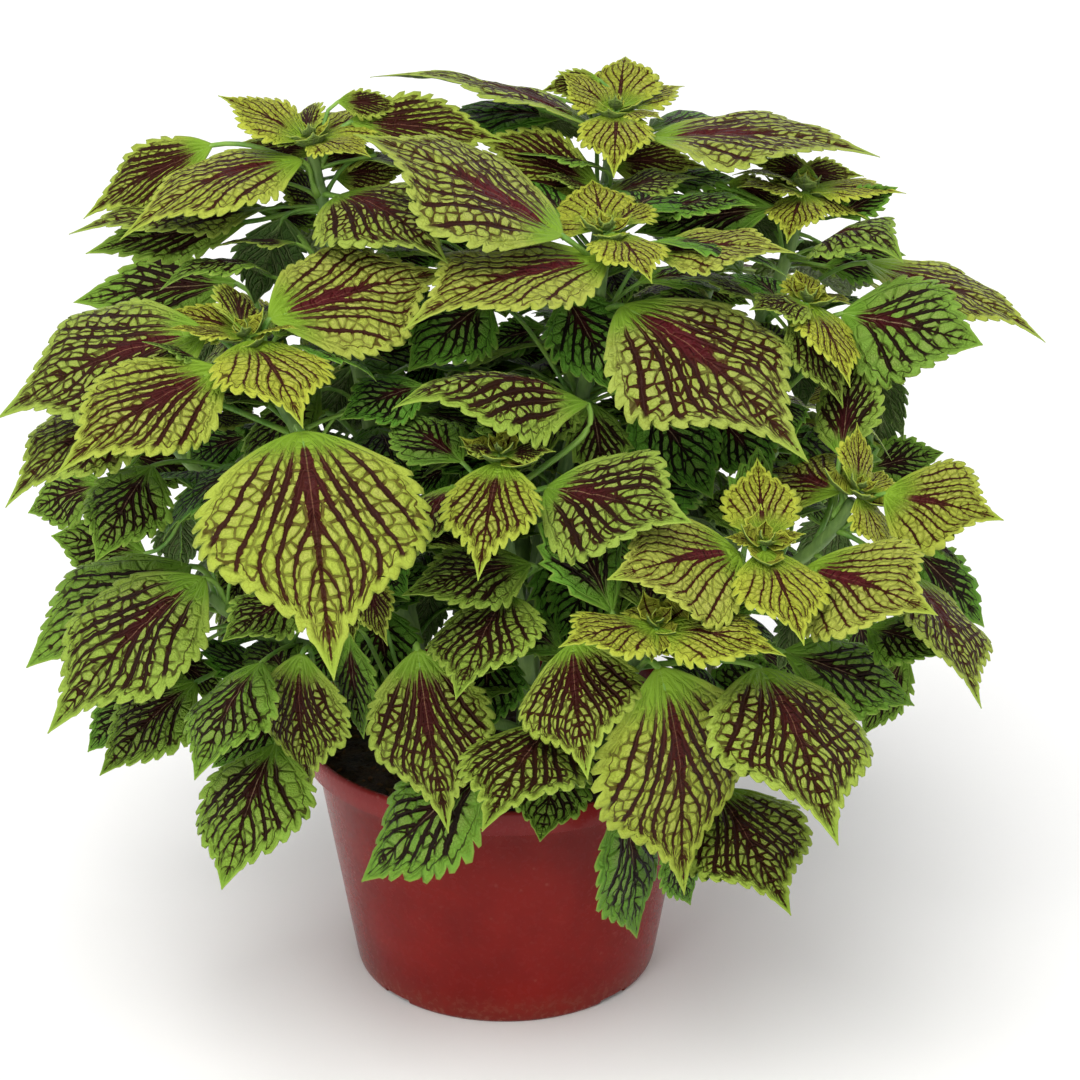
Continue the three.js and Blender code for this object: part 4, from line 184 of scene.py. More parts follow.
    ('R2', 'leaves_q1', (-15.97, -72, 214.66), (-25.76, -107, 203.72), 30.28, 14, 20, 14, 4, 4, 0.25, 0, 0.6, 0.55, (0.53, -68.34, 207.05), (-0.062, -0.273, 0.96), 3.56, 0),
    ('S3', 'leaves_q1', (-12.79, -66, 220.93), (-38.4, -43, 228.59), 27.42, -14, 12, 14, 8, 8, 0.25, 0, 0.85, 0.55, (0.53, -68.34, 207.05), (-0.062, -0.273, 0.96), 3.56, 0),
    ('R3', 'leaves_q2', (9.7, -80, 190.21), (-31.78, -96, 185.41), 32.88, -20, 14, 14, 4, 4, 0.25, 0, 0.65, 0.22, (3.98, -59.78, 175.86), (-0.133, -0.257, 0.957), 3.9, 0),
    ('P1', 'leaves_q2', (2.39, -80, 178.79), (-13.59, -126, 162.21), 40.99, 10, 16, 10, 8, 8, 0.25, 0, 0.6, 0.22, (3.98, -59.78, 175.86), (-0.133, -0.257, 0.957), 3.9, 0),
    ('S1', 'leaves_b2', (-62.8, -94, 240.87), (-48.46, -165, 186.55), 73.94, 0, 40, 6, 0, 0, 0.3, 0, 0.3, 0.4, (-69.23, -38.8, 222.1), (-0.394, -0.3, 0.869), 3.77, 0),
    ('S2', 'leaves_o1', (-43.55, -84, 186.85), (-36.45, -100, 169.47), 14.88, 30, 10, 10, 8, 8, 0.25, 0, 0.3, 0.4, (-32, -78, 140), (-0.201, -0.29, 0.936), 2.9, 0),
    ('S4', 'leaves_v2', (-49.98, -80, 178.79), (-48.29, -90, 166.53), 9.6, 0, 10, 10, 8, 8, 0.25, 0, 0.4, 0.22, (-74.31, -42.41, 146.01), (-0.713, -0.513, 0.477), 3.64, 0),
    ('V1', 'leaves_u1', (-65.7, -87.4, 161.27), (-64.15, -91.9, 111.8), 37.34, -1, 23.3, 8.3, 4, 4, 0.25, 0, 0.45, 0.22, (-66, -73, 131), (-0.272, -0.372, 0.887), 2.9, 0),
    ('V2', 'leaves_u1', (-76.61, -80, 124.43), (-90.99, -125, 93.39), 44.39, 8, 20, 4, 4, 4, 0.25, 0, 0.7, 0.22, (-66, -73, 131), (-0.272, -0.372, 0.887), 2.9, 0),
    ('V3', 'leaves_v2', (-80.34, -80.02, 154.69), (-99.5, -114.32, 127.93), 40.29, 16, 19.4, 8, 6, 6, 0.25, 0, 0.75, 0.22, (-74.31, -42.41, 146.01), (-0.713, -0.513, 0.477), 3.64, 0),
    ('V4', 'leaves_v2', (-106.26, -56, 136.59), (-137.52, -78, 111.33), 36.14, -14, 20, 8, 8, 8, 0.25, 0, 0.7, 0.22, (-74.31, -42.41, 146.01), (-0.713, -0.513, 0.477), 3.64, 0),
    ('V5', 'leaves_v1', (-101.28, -58, 176.3), (-150.21, -96, 135.88), 58.48, -12, 22, 10, 10, 10, 0.25, 0, 0.6, 0.4, (-95.34, -55.78, 163.99), (-0.617, -0.319, 0.719), 3.37, 0),
    ('V6', 'leaves_v1', (-109.17, -36, 171.9), (-161.8, -68.23, 147.29), 54.86, -14, 18, 16, 8, 8, 0.25, 0, 0.75, 0.4, (-95.34, -55.78, 163.99), (-0.617, -0.319, 0.719), 3.37, 0),
    ('V7', 'leaves_v1', (-66.14, -84, 180.44), (-89.26, -108, 174.37), 26.68, -14, 16, 10, 8, 8, 0.25, 0, 0.7, 0.4, (-95.34, -55.78, 163.99), (-0.617, -0.319, 0.719), 3.37, 0),
    ('V8', 'leaves_v1', (-110.49, -40, 189.84), (-109.78, -50, 177.5), 11.19, 40, 10, 10, 8, 8, 0.25, 0, 0.9, 0.4, (-95.34, -55.78, 163.99), (-0.617, -0.319, 0.719), 3.37, 0),
    ('W1', 'leaves_o1', (-50.04, -84.97, 166.65), (-45.74, -91.64, 132.05), 21.02, 20, 10.5, 7, 8, 8, 0.25, 0, 0.8, 0.4, (-32, -78, 140), (-0.201, -0.29, 0.936), 2.9, 0),
    ('O1', 'leaves_o1', (-27.03, -94.95, 165.93), (-17.31, -108.48, 105.54), 42.76, 0, 24, 6, 2, 2, 0.25, 0, 0.45, 0.4, (-32, -78, 140), (-0.201, -0.29, 0.936), 2.9, 0),
    ('O2', 'leaves_l2', (-0.96, -98, 126.54), (-47.82, -92, 78.01), 42.95, -5, 16, 10, 2, 2, 0.25, 0, 0.8, 0.22, (24.79, -66.35, 134), (0.397, -0.712, 0.58), 4.24, 0),
    ('N2', 'leaves_l2', (18.39, -95.86, 139.16), (-4.7, -165.5, 136.06), 44.03, 0.2, 22, 9.8, 2, 2, 0.25, 0, 0.55, 0.22, (24.79, -66.35, 134), (0.397, -0.712, 0.58), 4.24, 0),
    ('N3', 'leaves_l2', (19.68, -94, 125.31), (13, -125, 111.06), 27.47, 0, 16, 8, 8, 8, 0.25, 0, 0.75, 0.22, (24.79, -66.35, 134), (0.397, -0.712, 0.58), 4.24, 0),
    ('X1', 'leaves_d3', (48.09, -13.3, 227.24), (72.63, -36.2, 196.83), 36.17, 31.5, 18, 18, 8, 8, 0.25, 0, 0.95, 0.22, (27.57, 1.07, 220.18), (0.178, -0.205, 0.962), 3.9, 0),
    ('X2', 'leaves_g2', (73.63, -8, 220.67), (93.57, -30, 199.42), 27.95, 28, 18, 18, 8, 8, 0.25, 0, 0.95, 0.4, (93.75, -3.67, 224.1), (0.45, -0.2, 0.87), 3.69, 0),
    ('X3', 'leaves_d2', (21.85, -4.81, 260.63), (40.24, -36.47, 233.7), 31.24, 27.9, 29.6, 15.3, 8, 8, 0.25, 0, 0.95, 0.4, (32.78, -5.47, 254.19), (0.113, -0.159, 0.981), 3.61, 0),
    ('X4', 'leaves_d3', (-5.2, 1.2, 256.9), (-32.05, -30, 240.8), 33, -28, 18, 18, 8, 8, 0.25, 0, 0.9, 0.22, (27.57, 1.07, 220.18), (0.178, -0.205, 0.962), 3.9, 0),
    ('X5', 'leaves_b2', (-26.38, -36, 237.7), (-53.88, -52, 230.88), 25.08, -28, 18, 18, 8, 8, 0.25, 0, 0.95, 0.4, (-69.23, -38.8, 222.1), (-0.394, -0.3, 0.869), 3.77, 0),
    ('X6', 'leaves_q2', (35.32, -36, 174.15), (18.51, -56, 152.45), 26.07, -20, 18, 18, 8, 8, 0.25, 0, 0.95, 0.22, (3.98, -59.78, 175.86), (-0.133, -0.257, 0.957), 3.9, 0),
    ('X7', 'leaves_o1', (-42.89, -60, 166.82), (-36.35, -78, 139.19), 26.74, -20, 18, 18, 8, 8, 0.25, 0, 0.9, 0.4, (-32, -78, 140), (-0.201, -0.29, 0.936), 2.9, 0),
    ('X8', 'leaves_o1', (-5.44, -62, 156.55), (-6.41, -90, 131.51), 29.96, -20, 18, 18, 8, 8, 0.25, 0, 0.95, 0.4, (-32, -78, 140), (-0.201, -0.29, 0.936), 2.9, 0),
    ('X10', 'leaves_j2', (47.38, -40, 197.93), (69.46, -15, 199.98), 26.45, 34, 18, 18, 8, 8, 0.25, 0, 0.95, 0.22, (73.14, -56.11, 165.03), (0.225, -0.875, 0.428), 3.95, 0),
    ('X11', 'leaves_b3', (-50.88, -60, 198.15), (-30.69, -70, 173.19), 25.07, 24, 18, 18, 8, 8, 0.25, 0, 0.95, 0.22, (-55.07, -27.81, 191.83), (-0.4, -0.315, 0.861), 4.14, 0),
    ('K1t0', 'tip_r', (-83.51, 70.31, 226.48), (-66.61, 99.59, 222.92), 24.72, 0, 12, 16, 6, 6, 0.25, 0, 0.12, 0.12, (-86.84, 66.85, 228.75), (-0.28, 0.283, 0.917), 1, 1),
    ('K1t1', 'tip_r', (-88.49, 61.69, 226.48), (-105.39, 32.41, 222.92), 24.72, 0, 12, 16, 6, 6, 0.25, 0, 0.12, 0.12, (-86.84, 66.85, 228.75), (-0.28, 0.283, 0.917), 1, 1),
    ('K1t2', 'tip_r', (-90.07, 68.35, 231.71), (-109.6, 79.63, 239.92), 17.45, 0, 12, 16, 6, 6, 0.25, 0, 0.12, 0.12, (-86.84, 66.85, 228.75), (-0.28, 0.283, 0.917), 1, 1),
    ('K1t3', 'tip_r', (-81.93, 63.65, 231.71), (-62.4, 52.37, 239.92), 17.45, 0, 12, 16, 6, 6, 0.25, 0, 0.12, 0.12, (-86.84, 66.85, 228.75), (-0.28, 0.283, 0.917), 1, 1),
    ('K1a0', 'tip_r', (-94.49, 71.46, 228.4), (-144.61, 106.56, 203.68), 49.74, 0, 22, 16, 6, 6, 0.25, 0, 0.3, 0.22, (-86.73, 66.74, 228.39), (-0.28, 0.283, 0.917), 1, 0),
    ('K1a1', 'tip_r', (-76.04, 58.55, 227.4), (-43.4, 35.69, 223.92), 29.94, 0, 14, 16, 6, 6, 0.25, 0, 0.4, 0.22, (-86.73, 66.74, 228.39), (-0.28, 0.283, 0.917), 1, 0),
    ('K1b0', 'leaves_r1', (-55.08, 53.2, 191.48), (-23.6, 118.05, 168.88), 55.76, 19.2, 19.1, 14.8, 6, 6, 0.25, 0, 0.55, 0.22, (-63.51, 37.51, 177.94), (-0.424, 0.588, 0.688), 3.91, 0),
    ('K1b1', 'leaves_r1', (-70.03, 19.61, 188.94), (-87.8, -29.22, 158.94), 45.21, 0, 22, 16, 6, 6, 0.25, 0, 0.55, 0.22, (-63.51, 37.51, 177.94), (-0.424, 0.588, 0.688), 3.91, 0),
    ('K1b2', 'leaves_r1', (-82.54, 52.06, 163.54), (-122.16, 85.31, 97.35), 63.3, 0, 22, 16, 6, 6, 0.25, 0, 0.75, 0.22, (-63.51, 37.51, 177.94), (-0.424, 0.588, 0.688), 3.91, 0),
    ('K2t0', 'tip_s', (-7.05, 108.43, 268.48), (23.96, 115.02, 259.96), 24.72, 0, 13.9, 16, 6, 6, 0.25, 0, 0.12, 0.12, (-12.01, 108.61, 270.94), (-0.003, 0.204, 0.979), 1, 1),
    ('K2t1', 'tip_s', (-16.95, 107.57, 268.48), (-50.64, 104.62, 264.92), 24.72, 0, 12, 16, 6, 6, 0.25, 0, 0.12, 0.12, (-12.01, 108.61, 270.94), (-0.003, 0.204, 0.979), 1, 1),
    ('K2t2', 'tip_s', (-12.41, 112.68, 273.71), (-14.38, 135.15, 281.92), 17.45, 0, 12, 16, 6, 6, 0.25, 0, 0.12, 0.12, (-12.01, 108.61, 270.94), (-0.003, 0.204, 0.979), 1, 1),
    ('K2t3', 'tip_s', (-11.59, 103.32, 273.71), (-9.62, 80.85, 281.92), 17.45, 0, 12, 16, 6, 6, 0.25, 0, 0.12, 0.12, (-12.01, 108.61, 270.94), (-0.003, 0.204, 0.979), 1, 1),
    ('K2a0', 'tip_s', (-12.37, 118.85, 269.39), (-14.57, 181.86, 243.92), 51.24, 0, 22, 16, 6, 6, 0.25, 0, 0.3, 0.22, (-12.01, 108.53, 270.55), (-0.003, 0.204, 0.979), 1, 0),
    ('K2a1', 'tip_s', (-11.58, 96.35, 268.39), (-10.19, 56.53, 271.88), 29.94, 0, 14, 16, 6, 6, 0.25, 0, 0.4, 0.22, (-12.01, 108.53, 270.55), (-0.003, 0.204, 0.979), 1, 0),
    ('K2b0', 'leaves_s1', (10.4, 91.78, 229.03), (70.24, 112.22, 196.34), 57.27, 0, 22, 16, 6, 6, 0.25, 0, 0.5, 0.22, (-6.94, 84.18, 216.94), (-0.159, 0.59, 0.792), 3.82, 0),
    ('K2b1', 'leaves_s1', (-25.84, 87.98, 228.61), (-90.66, 99.41, 190.61), 57.27, 0, 22, 16, 6, 6, 0.25, 0, 0.5, 0.22, (-6.94, 84.18, 216.94), (-0.159, 0.59, 0.792), 3.82, 0),
    ('K2b2', 'leaves_s1', (-9, 107.4, 202.42), (-14.9, 161.58, 135.43), 64.81, -1.9, 22, 18.1, 6, 6, 0.25, 0, 0.7, 0.22, (-6.94, 84.18, 216.94), (-0.159, 0.59, 0.792), 3.82, 0),
    ('K3t0', 'tip_t', (76.19, 107.2, 236.48), (50.29, 128.93, 232.92), 24.72, 0, 12, 16, 6, 6, 0.25, 0, 0.12, 0.12, (80.85, 104.85, 238.75), (0.282, 0.284, 0.916), 1, 1),
    ('K3t1', 'tip_t', (83.81, 100.8, 236.48), (109.71, 79.07, 232.92), 24.72, 0, 12, 16, 6, 6, 0.25, 0, 0.12, 0.12, (80.85, 104.85, 238.75), (0.282, 0.284, 0.916), 1, 1),
    ('K3t2', 'tip_t', (76.98, 100.4, 241.71), (62.48, 83.12, 249.92), 17.45, 0, 12, 16, 6, 6, 0.25, 0, 0.12, 0.12, (80.85, 104.85, 238.75), (0.282, 0.284, 0.916), 1, 1),
    ('K3t3', 'tip_t', (83.02, 107.6, 241.71), (97.52, 124.88, 249.92), 17.45, 0, 12, 16, 6, 6, 0.25, 0, 0.12, 0.12, (80.85, 104.85, 238.75), (0.282, 0.284, 0.916), 1, 1),
    ('K3a0', 'tip_t', (85.52, 112.47, 238.56), (120.62, 162.59, 213.83), 49.74, 0, 22, 16, 6, 6, 0.25, 0, 0.3, 0.22, (80.73, 104.74, 238.38), (0.282, 0.284, 0.916), 1, 0),
    ('K3a1', 'tip_t', (72.6, 94.02, 237.56), (49.75, 61.38, 234.07), 29.94, 0, 14, 16, 6, 6, 0.25, 0, 0.4, 0.22, (80.73, 104.74, 238.38), (0.282, 0.284, 0.916), 1, 0),
    ('K3b0', 'leaves_t1', (39.57, 78.46, 199.81), (-1.72, 123.11, 172.42), 55.76, -7, 19.4, 19.4, 6, 6, 0.25, 0, 0.5, 0.22, (46.95, 65.6, 186.91), (0.539, 0.663, 0.519), 3.93, 0),
    ('K3b1', 'leaves_t1', (66.53, 63.29, 198.69), (129.07, 70, 191.54), 49.74, -6.1, 22, 19.4, 6, 6, 0.25, 0, 0.55, 0.22, (46.95, 65.6, 186.91), (0.539, 0.663, 0.519), 3.93, 0),
    ('K3b2', 'leaves_t1', (60.61, 81.75, 174.18), (93.06, 120.42, 109.57), 61.79, 0, 22, 16, 6, 6, 0.25, 0, 0.7, 0.22, (46.95, 65.6, 186.91), (0.539, 0.663, 0.519), 3.93, 0),
    ('K4t0', 'tip_w', (-51.39, 123.86, 196.48), (-23.73, 135.04, 193.34), 21.81, 0, 12, 16, 6, 6, 0.25, 0, 0.12, 0.12, (-56.8, 123.32, 198.57), (-0.266, 0.44, 0.857), 1, 1),
    ('K4t1', 'tip_w', (-60.61, 120.14, 196.48), (-88.27, 108.96, 193.34), 21.81, 0, 12, 16, 6, 6, 0.25, 0, 0.12, 0.12, (-56.8, 123.32, 198.57), (-0.266, 0.44, 0.857), 1, 1),
    ('K4t2', 'tip_w', (-57.76, 126.36, 201.71), (-64.8, 143.78, 208.55), 14.54, 0, 12, 16, 6, 6, 0.25, 0, 0.12, 0.12, (-56.8, 123.32, 198.57), (-0.266, 0.44, 0.857), 1, 1),
    ('K4t3', 'tip_w', (-54.24, 117.64, 201.71), (-47.2, 100.22, 208.55), 14.54, 0, 12, 16, 6, 6, 0.25, 0, 0.12, 0.12, (-56.8, 123.32, 198.57), (-0.266, 0.44, 0.857), 1, 1),
    ('K4a0', 'tip_w', (-58.74, 128.74, 197.19), (-81.16, 176.83, 161.4), 48.23, 0, 22, 16, 6, 6, 0.25, 0, 0.4, 0.22, (-56.69, 123.15, 198.23), (-0.266, 0.44, 0.857), 1, 0),
    ('K4a1', 'tip_w', (-51.39, 111.19, 196.19), (-39.07, 77.36, 196.19), 26.94, 0, 14, 16, 6, 6, 0.25, 0, 0.5, 0.22, (-56.69, 123.15, 198.23), (-0.266, 0.44, 0.857), 1, 0),
    ('K4b0', 'leaves_w1', (-36.58, 64.13, 171.93), (-79.61, 44.06, 126.08), 49.74, 0, 22, 16, 6, 6, 0.25, 0, 0.65, 0.22, (-21.08, 71.73, 162.02), (-0.55, 0.794, 0.26), 3.88, 0),
    ('K4b1', 'leaves_w1', (-8.42, 89.06, 174.59), (11.69, 135.88, 122.6), 45.21, -12.6, 12.2, 10.4, 6, 6, 0.25, 0, 0.65, 0.22, (-21.08, 71.73, 162.02), (-0.55, 0.794, 0.26), 3.88, 0),
    ('K5t0', 'tip_x', (33.2, 135.29, 200.48), (4.38, 143.01, 197.34), 21.81, 0, 12, 16, 6, 6, 0.25, 0, 0.12, 0.12, (38.41, 135.36, 202.64), (0.136, 0.453, 0.881), 1, 1),
    ('K5t1', 'tip_x', (42.8, 132.71, 200.48), (71.62, 124.99, 197.34), 21.81, 0, 12, 16, 6, 6, 0.25, 0, 0.12, 0.12, (38.41, 135.36, 202.64), (0.136, 0.453, 0.881), 1, 1),
    ('K5t2', 'tip_x', (36.78, 129.46, 205.71), (31.92, 111.31, 212.55), 14.54, 0, 12, 16, 6, 6, 0.25, 0, 0.12, 0.12, (38.41, 135.36, 202.64), (0.136, 0.453, 0.881), 1, 1),
    ('K5t3', 'tip_x', (39.22, 138.54, 205.71), (44.08, 156.69, 212.55), 14.54, 0, 12, 16, 6, 6, 0.25, 0, 0.12, 0.12, (38.41, 135.36, 202.64), (0.136, 0.453, 0.881), 1, 1),
    ('K5a0', 'tip_x', (39.82, 141.13, 200.81), (53.64, 192.71, 162.02), 49.74, 0, 22, 16, 6, 6, 0.25, 0, 0.4, 0.22, (38.35, 135.18, 202.29), (0.136, 0.453, 0.881), 1, 0),
    ('K5a1', 'tip_x', (34.88, 122.73, 199.81), (23.3, 85.82, 202.91), 26.94, 0, 14, 18.3, 6, 6, 0.25, 0, 0.5, 0.22, (38.35, 135.18, 202.29), (0.136, 0.453, 0.881), 1, 0),
    ('K5b0', 'leaves_x1', (41.41, 85.27, 174.08), (88.47, 81.16, 125.17), 51.24, 0, 22, 16, 6, 6, 0.25, 0, 0.6, 0.22, (24.07, 86.46, 163.96), (0.252, 0.905, 0.342), 3.81, 0),
    ('K5b1', 'leaves_x1', (7.18, 93.15, 168.06), (-18.09, 101.2, 118.51), 43.71, 5.5, 22, 13.8, 6, 6, 0.25, 0, 0.65, 0.22, (24.07, 86.46, 163.96), (0.252, 0.905, 0.342), 3.81, 0),
    ('K6t0', 'tip_y', (107.15, 86.07, 186.48), (91.18, 108.88, 183.55), 20.36, 0, 12, 16, 6, 6, 0.25, 0, 0.12, 0.12, (111.07, 83.07, 188.59), (0.355, 0.357, 0.864), 1, 1),
    ('K6t1', 'tip_y', (112.85, 77.93, 186.48), (128.82, 55.12, 183.55), 20.36, 0, 12, 16, 6, 6, 0.25, 0, 0.12, 0.12, (111.07, 83.07, 188.59), (0.355, 0.357, 0.864), 1, 1),
    ('K6t2', 'tip_y', (106.15, 79.31, 191.71), (90.76, 68.53, 198.55), 14.54, 0, 12, 16, 6, 6, 0.25, 0, 0.12, 0.12, (111.07, 83.07, 188.59), (0.355, 0.357, 0.864), 1, 1),
    ('K6t3', 'tip_y', (113.85, 84.69, 191.71), (129.24, 95.47, 198.55), 14.54, 0, 12, 16, 6, 6, 0.25, 0, 0.12, 0.12, (111.07, 83.07, 188.59), (0.355, 0.357, 0.864), 1, 1),
    ('K6a0', 'tip_y', (115.49, 86.16, 186.6), (154.86, 119.2, 151.93), 46.72, 0, 22, 16, 6, 6, 0.25, 0, 0.45, 0.22, (110.92, 82.93, 188.25), (0.355, 0.357, 0.864), 1, 0),
    ('K6a1', 'tip_y', (99.61, 75, 185.16), (85.95, 61.12, 169.69), 25.45, 2.9, 16.2, 14, 6, 6, 0.25, 0, 0.5, 0.22, (110.92, 82.93, 188.25), (0.355, 0.357, 0.864), 1, 0),
    ('K6b0', 'leaves_y1', (68, 8.34, 152.92), (96.56, -15.62, 108.49), 43.71, 0, 22, 16, 6, 6, 0.25, 0, 0.65, 0.22, (53.41, 20.59, 141.92), (0.592, 0.606, 0.532), 4.1, 0),
    ('K6b1', 'leaves_y1', (51.6, 41.29, 153.92), (47.36, 89.74, 103.57), 52.75, 0, 22, 16, 6, 6, 0.25, 0, 0.65, 0.22, (53.41, 20.59, 141.92), (0.592, 0.606, 0.532), 4.1, 0),
    ('K7t0', 'tip_z', (-127.14, 28.9, 206.48), (-122.3, 56.32, 203.55), 20.36, 0, 12, 16, 6, 6, 0.25, 0, 0.12, 0.12, (-129.36, 24.27, 208.66), (-0.454, 0.089, 0.887), 1, 1),
    ('K7t1', 'tip_z', (-128.86, 19.1, 206.48), (-133.7, -8.32, 203.55), 20.36, 0, 12, 16, 6, 6, 0.25, 0, 0.12, 0.12, (-129.36, 24.27, 208.66), (-0.454, 0.089, 0.887), 1, 1),
    ('K7t2', 'tip_z', (-132.63, 24.82, 211.71), (-151.14, 28.08, 218.55), 14.54, 0, 12, 16, 6, 6, 0.25, 0, 0.12, 0.12, (-129.36, 24.27, 208.66), (-0.454, 0.089, 0.887), 1, 1),
    ('K7t3', 'tip_z', (-123.37, 23.18, 211.71), (-104.86, 19.92, 218.55), 14.54, 0, 12, 16, 6, 6, 0.25, 0, 0.12, 0.12, (-129.36, 24.27, 208.66), (-0.454, 0.089, 0.887), 1, 1),
    ('K7a0', 'tip_z', (-135.71, 25.7, 207.51), (-175.79, 34.22, 175.5), 39.19, 0, 22, 16, 6, 6, 0.25, 0, 0.45, 0.22, (-129.18, 24.23, 208.31), (-0.454, 0.089, 0.887), 1, 0),
    ('K7a1', 'tip_z', (-117.01, 22.04, 206.51), (-83.53, 16.13, 206.51), 25.45, 0, 14, 16, 6, 6, 0.25, 0, 0.5, 0.22, (-129.18, 24.23, 208.31), (-0.454, 0.089, 0.887), 1, 0),
    ('K7b0', 'leaves_z1', (-75.64, 41.16, 165.94), (-94.94, 81.42, 121.39), 52.75, -2, 25.7, 16, 6, 6, 0.25, 0, 0.65, 0.22, (-71.46, 14.96, 160.03), (-0.84, 0.193, 0.508), 3.97, 0),
    ('K7b1', 'leaves_z1', (-82.44, 2.67, 170.75), (-101.61, -27.67, 131.54), 39.19, 0, 22, 16, 6, 6, 0.25, 0, 0.65, 0.22, (-71.46, 14.96, 160.03), (-0.84, 0.193, 0.508), 3.97, 0),
    ('Cz1', 'leaves_c4', (37.5, 39.31, 189.19), (62.5, 33.83, 169.38), 49.74, 2.3, 22.2, 20.5, 6, 6, 0.25, 0, 0.75, 0.22, (17.05, 29.72, 179.8), (0.172, 0.256, 0.951), 4.53, 0),
    ('Az0', 'leaves_a3', (-44.68, 17.63, 212.84), (-25.89, 78.4, 190.23), 51.24, -10, 22, 16, 6, 6, 0.25, 0, 0.7, 0.22, (-46.02, 0.2, 201.96), (-0.187, 0.191, 0.964), 4.15, 0),
    ('Az1', 'leaves_a3', (-63.98, 11.06, 212.64), (-103.95, 36.14, 173.38), 49.74, 0, 22.7, 16, 6, 6, 0.25, 0, 0.7, 0.22, (-46.02, 0.2, 201.96), (-0.187, 0.191, 0.964), 4.15, 0),
    ('Fz0', 'leaves_f3', (83.79, 28.11, 200.08), (128.63, 54.74, 169.31), 49.74, 1.4, 22, 18.4, 6, 6, 0.25, 0, 0.7, 0.22, (67.7, 20.31, 192.12), (0.478, 0.232, 0.847), 4.3, 0),
    ('Fz1', 'leaves_f3', (66.57, 30.17, 199.4), (76.33, 72.37, 167.09), 52.75, -0.9, 30.6, 18.4, 6, 6, 0.25, 0, 0.7, 0.22, (67.7, 20.31, 192.12), (0.478, 0.232, 0.847), 4.3, 0),
    ('Dz0', 'leaves_d3', (39.12, 20.68, 231.12), (73.11, 64.11, 203.82), 49.74, 0, 19.1, 16, 6, 6, 0.25, 0, 0.7, 0.22, (27.57, 1.07, 220.18), (0.178, -0.205, 0.962), 3.9, 0),
    ('Dz1', 'leaves_d3', (16.03, 21.16, 235.56), (-20.66, 69.17, 202.51), 49.74, -5.2, 22, 13.4, 6, 6, 0.25, 0, 0.7, 0.22, (27.57, 1.07, 220.18), (0.178, -0.205, 0.962), 3.9, 0),
    ('Cx0', 'leaves_c3', (36.18, 69.85, 282.85), (38.41, 133.76, 254.38), 52.75, 0, 22, 16, 6, 6, 0.25, 0, 0.4, 0.22, (33.17, 52.72, 260.02), (0.174, 0.231, 0.957), 3.79, 0),
    ('Cy0', 'leaves_c3', (47.07, 54.18, 251.67), (103.63, 78.69, 236.21), 54.26, -9.1, 22, 16, 6, 6, 0.25, 0, 0.55, 0.22, (33.17, 52.72, 260.02), (0.174, 0.231, 0.957), 3.79, 0),
    ('Cy1', 'leaves_c3', (17.65, 64.17, 253.32), (-34.13, 90.16, 246.11), 57.27, -3.4, 20.5, 14.8, 6, 6, 0.25, 0, 0.55, 0.22, (33.17, 52.72, 260.02), (0.174, 0.231, 0.957), 3.79, 0),
    ('Ax0', 'leaves_a2', (-61.97, 28.31, 277.25), (-72.58, 88.5, 247.44), 51.24, 0, 22, 16, 6, 6, 0.25, 0, 0.45, 0.4, (-57.63, 12.81, 259.8), (-0.196, 0.196, 0.961), 3.72, 0),
    ('Ax1', 'leaves_a2', (-70.74, 11.65, 256.93), (-116.53, 15.65, 218.36), 45.21, 0, 22, 16, 6, 6, 0.25, 0, 0.6, 0.4, (-57.63, 12.81, 259.8), (-0.196, 0.196, 0.961), 3.72, 0),
    ('Fx0', 'leaves_f2', (104.62, 46.91, 257.79), (134.28, 98.29, 228.86), 49.74, 0, 22, 16, 6, 6, 0.25, 0, 0.45, 0.4, (94.37, 33.29, 241.98), (0.4, 0.195, 0.896), 3.78, 0),
    ('Fx1', 'leaves_f2', (99.81, 27.8, 230.5), (142.94, 26.29, 188.82), 45.21, 0, 22, 16, 6, 6, 0.25, 0, 0.6, 0.4, (94.37, 33.29, 241.98), (0.4, 0.195, 0.896), 3.78, 0),
]

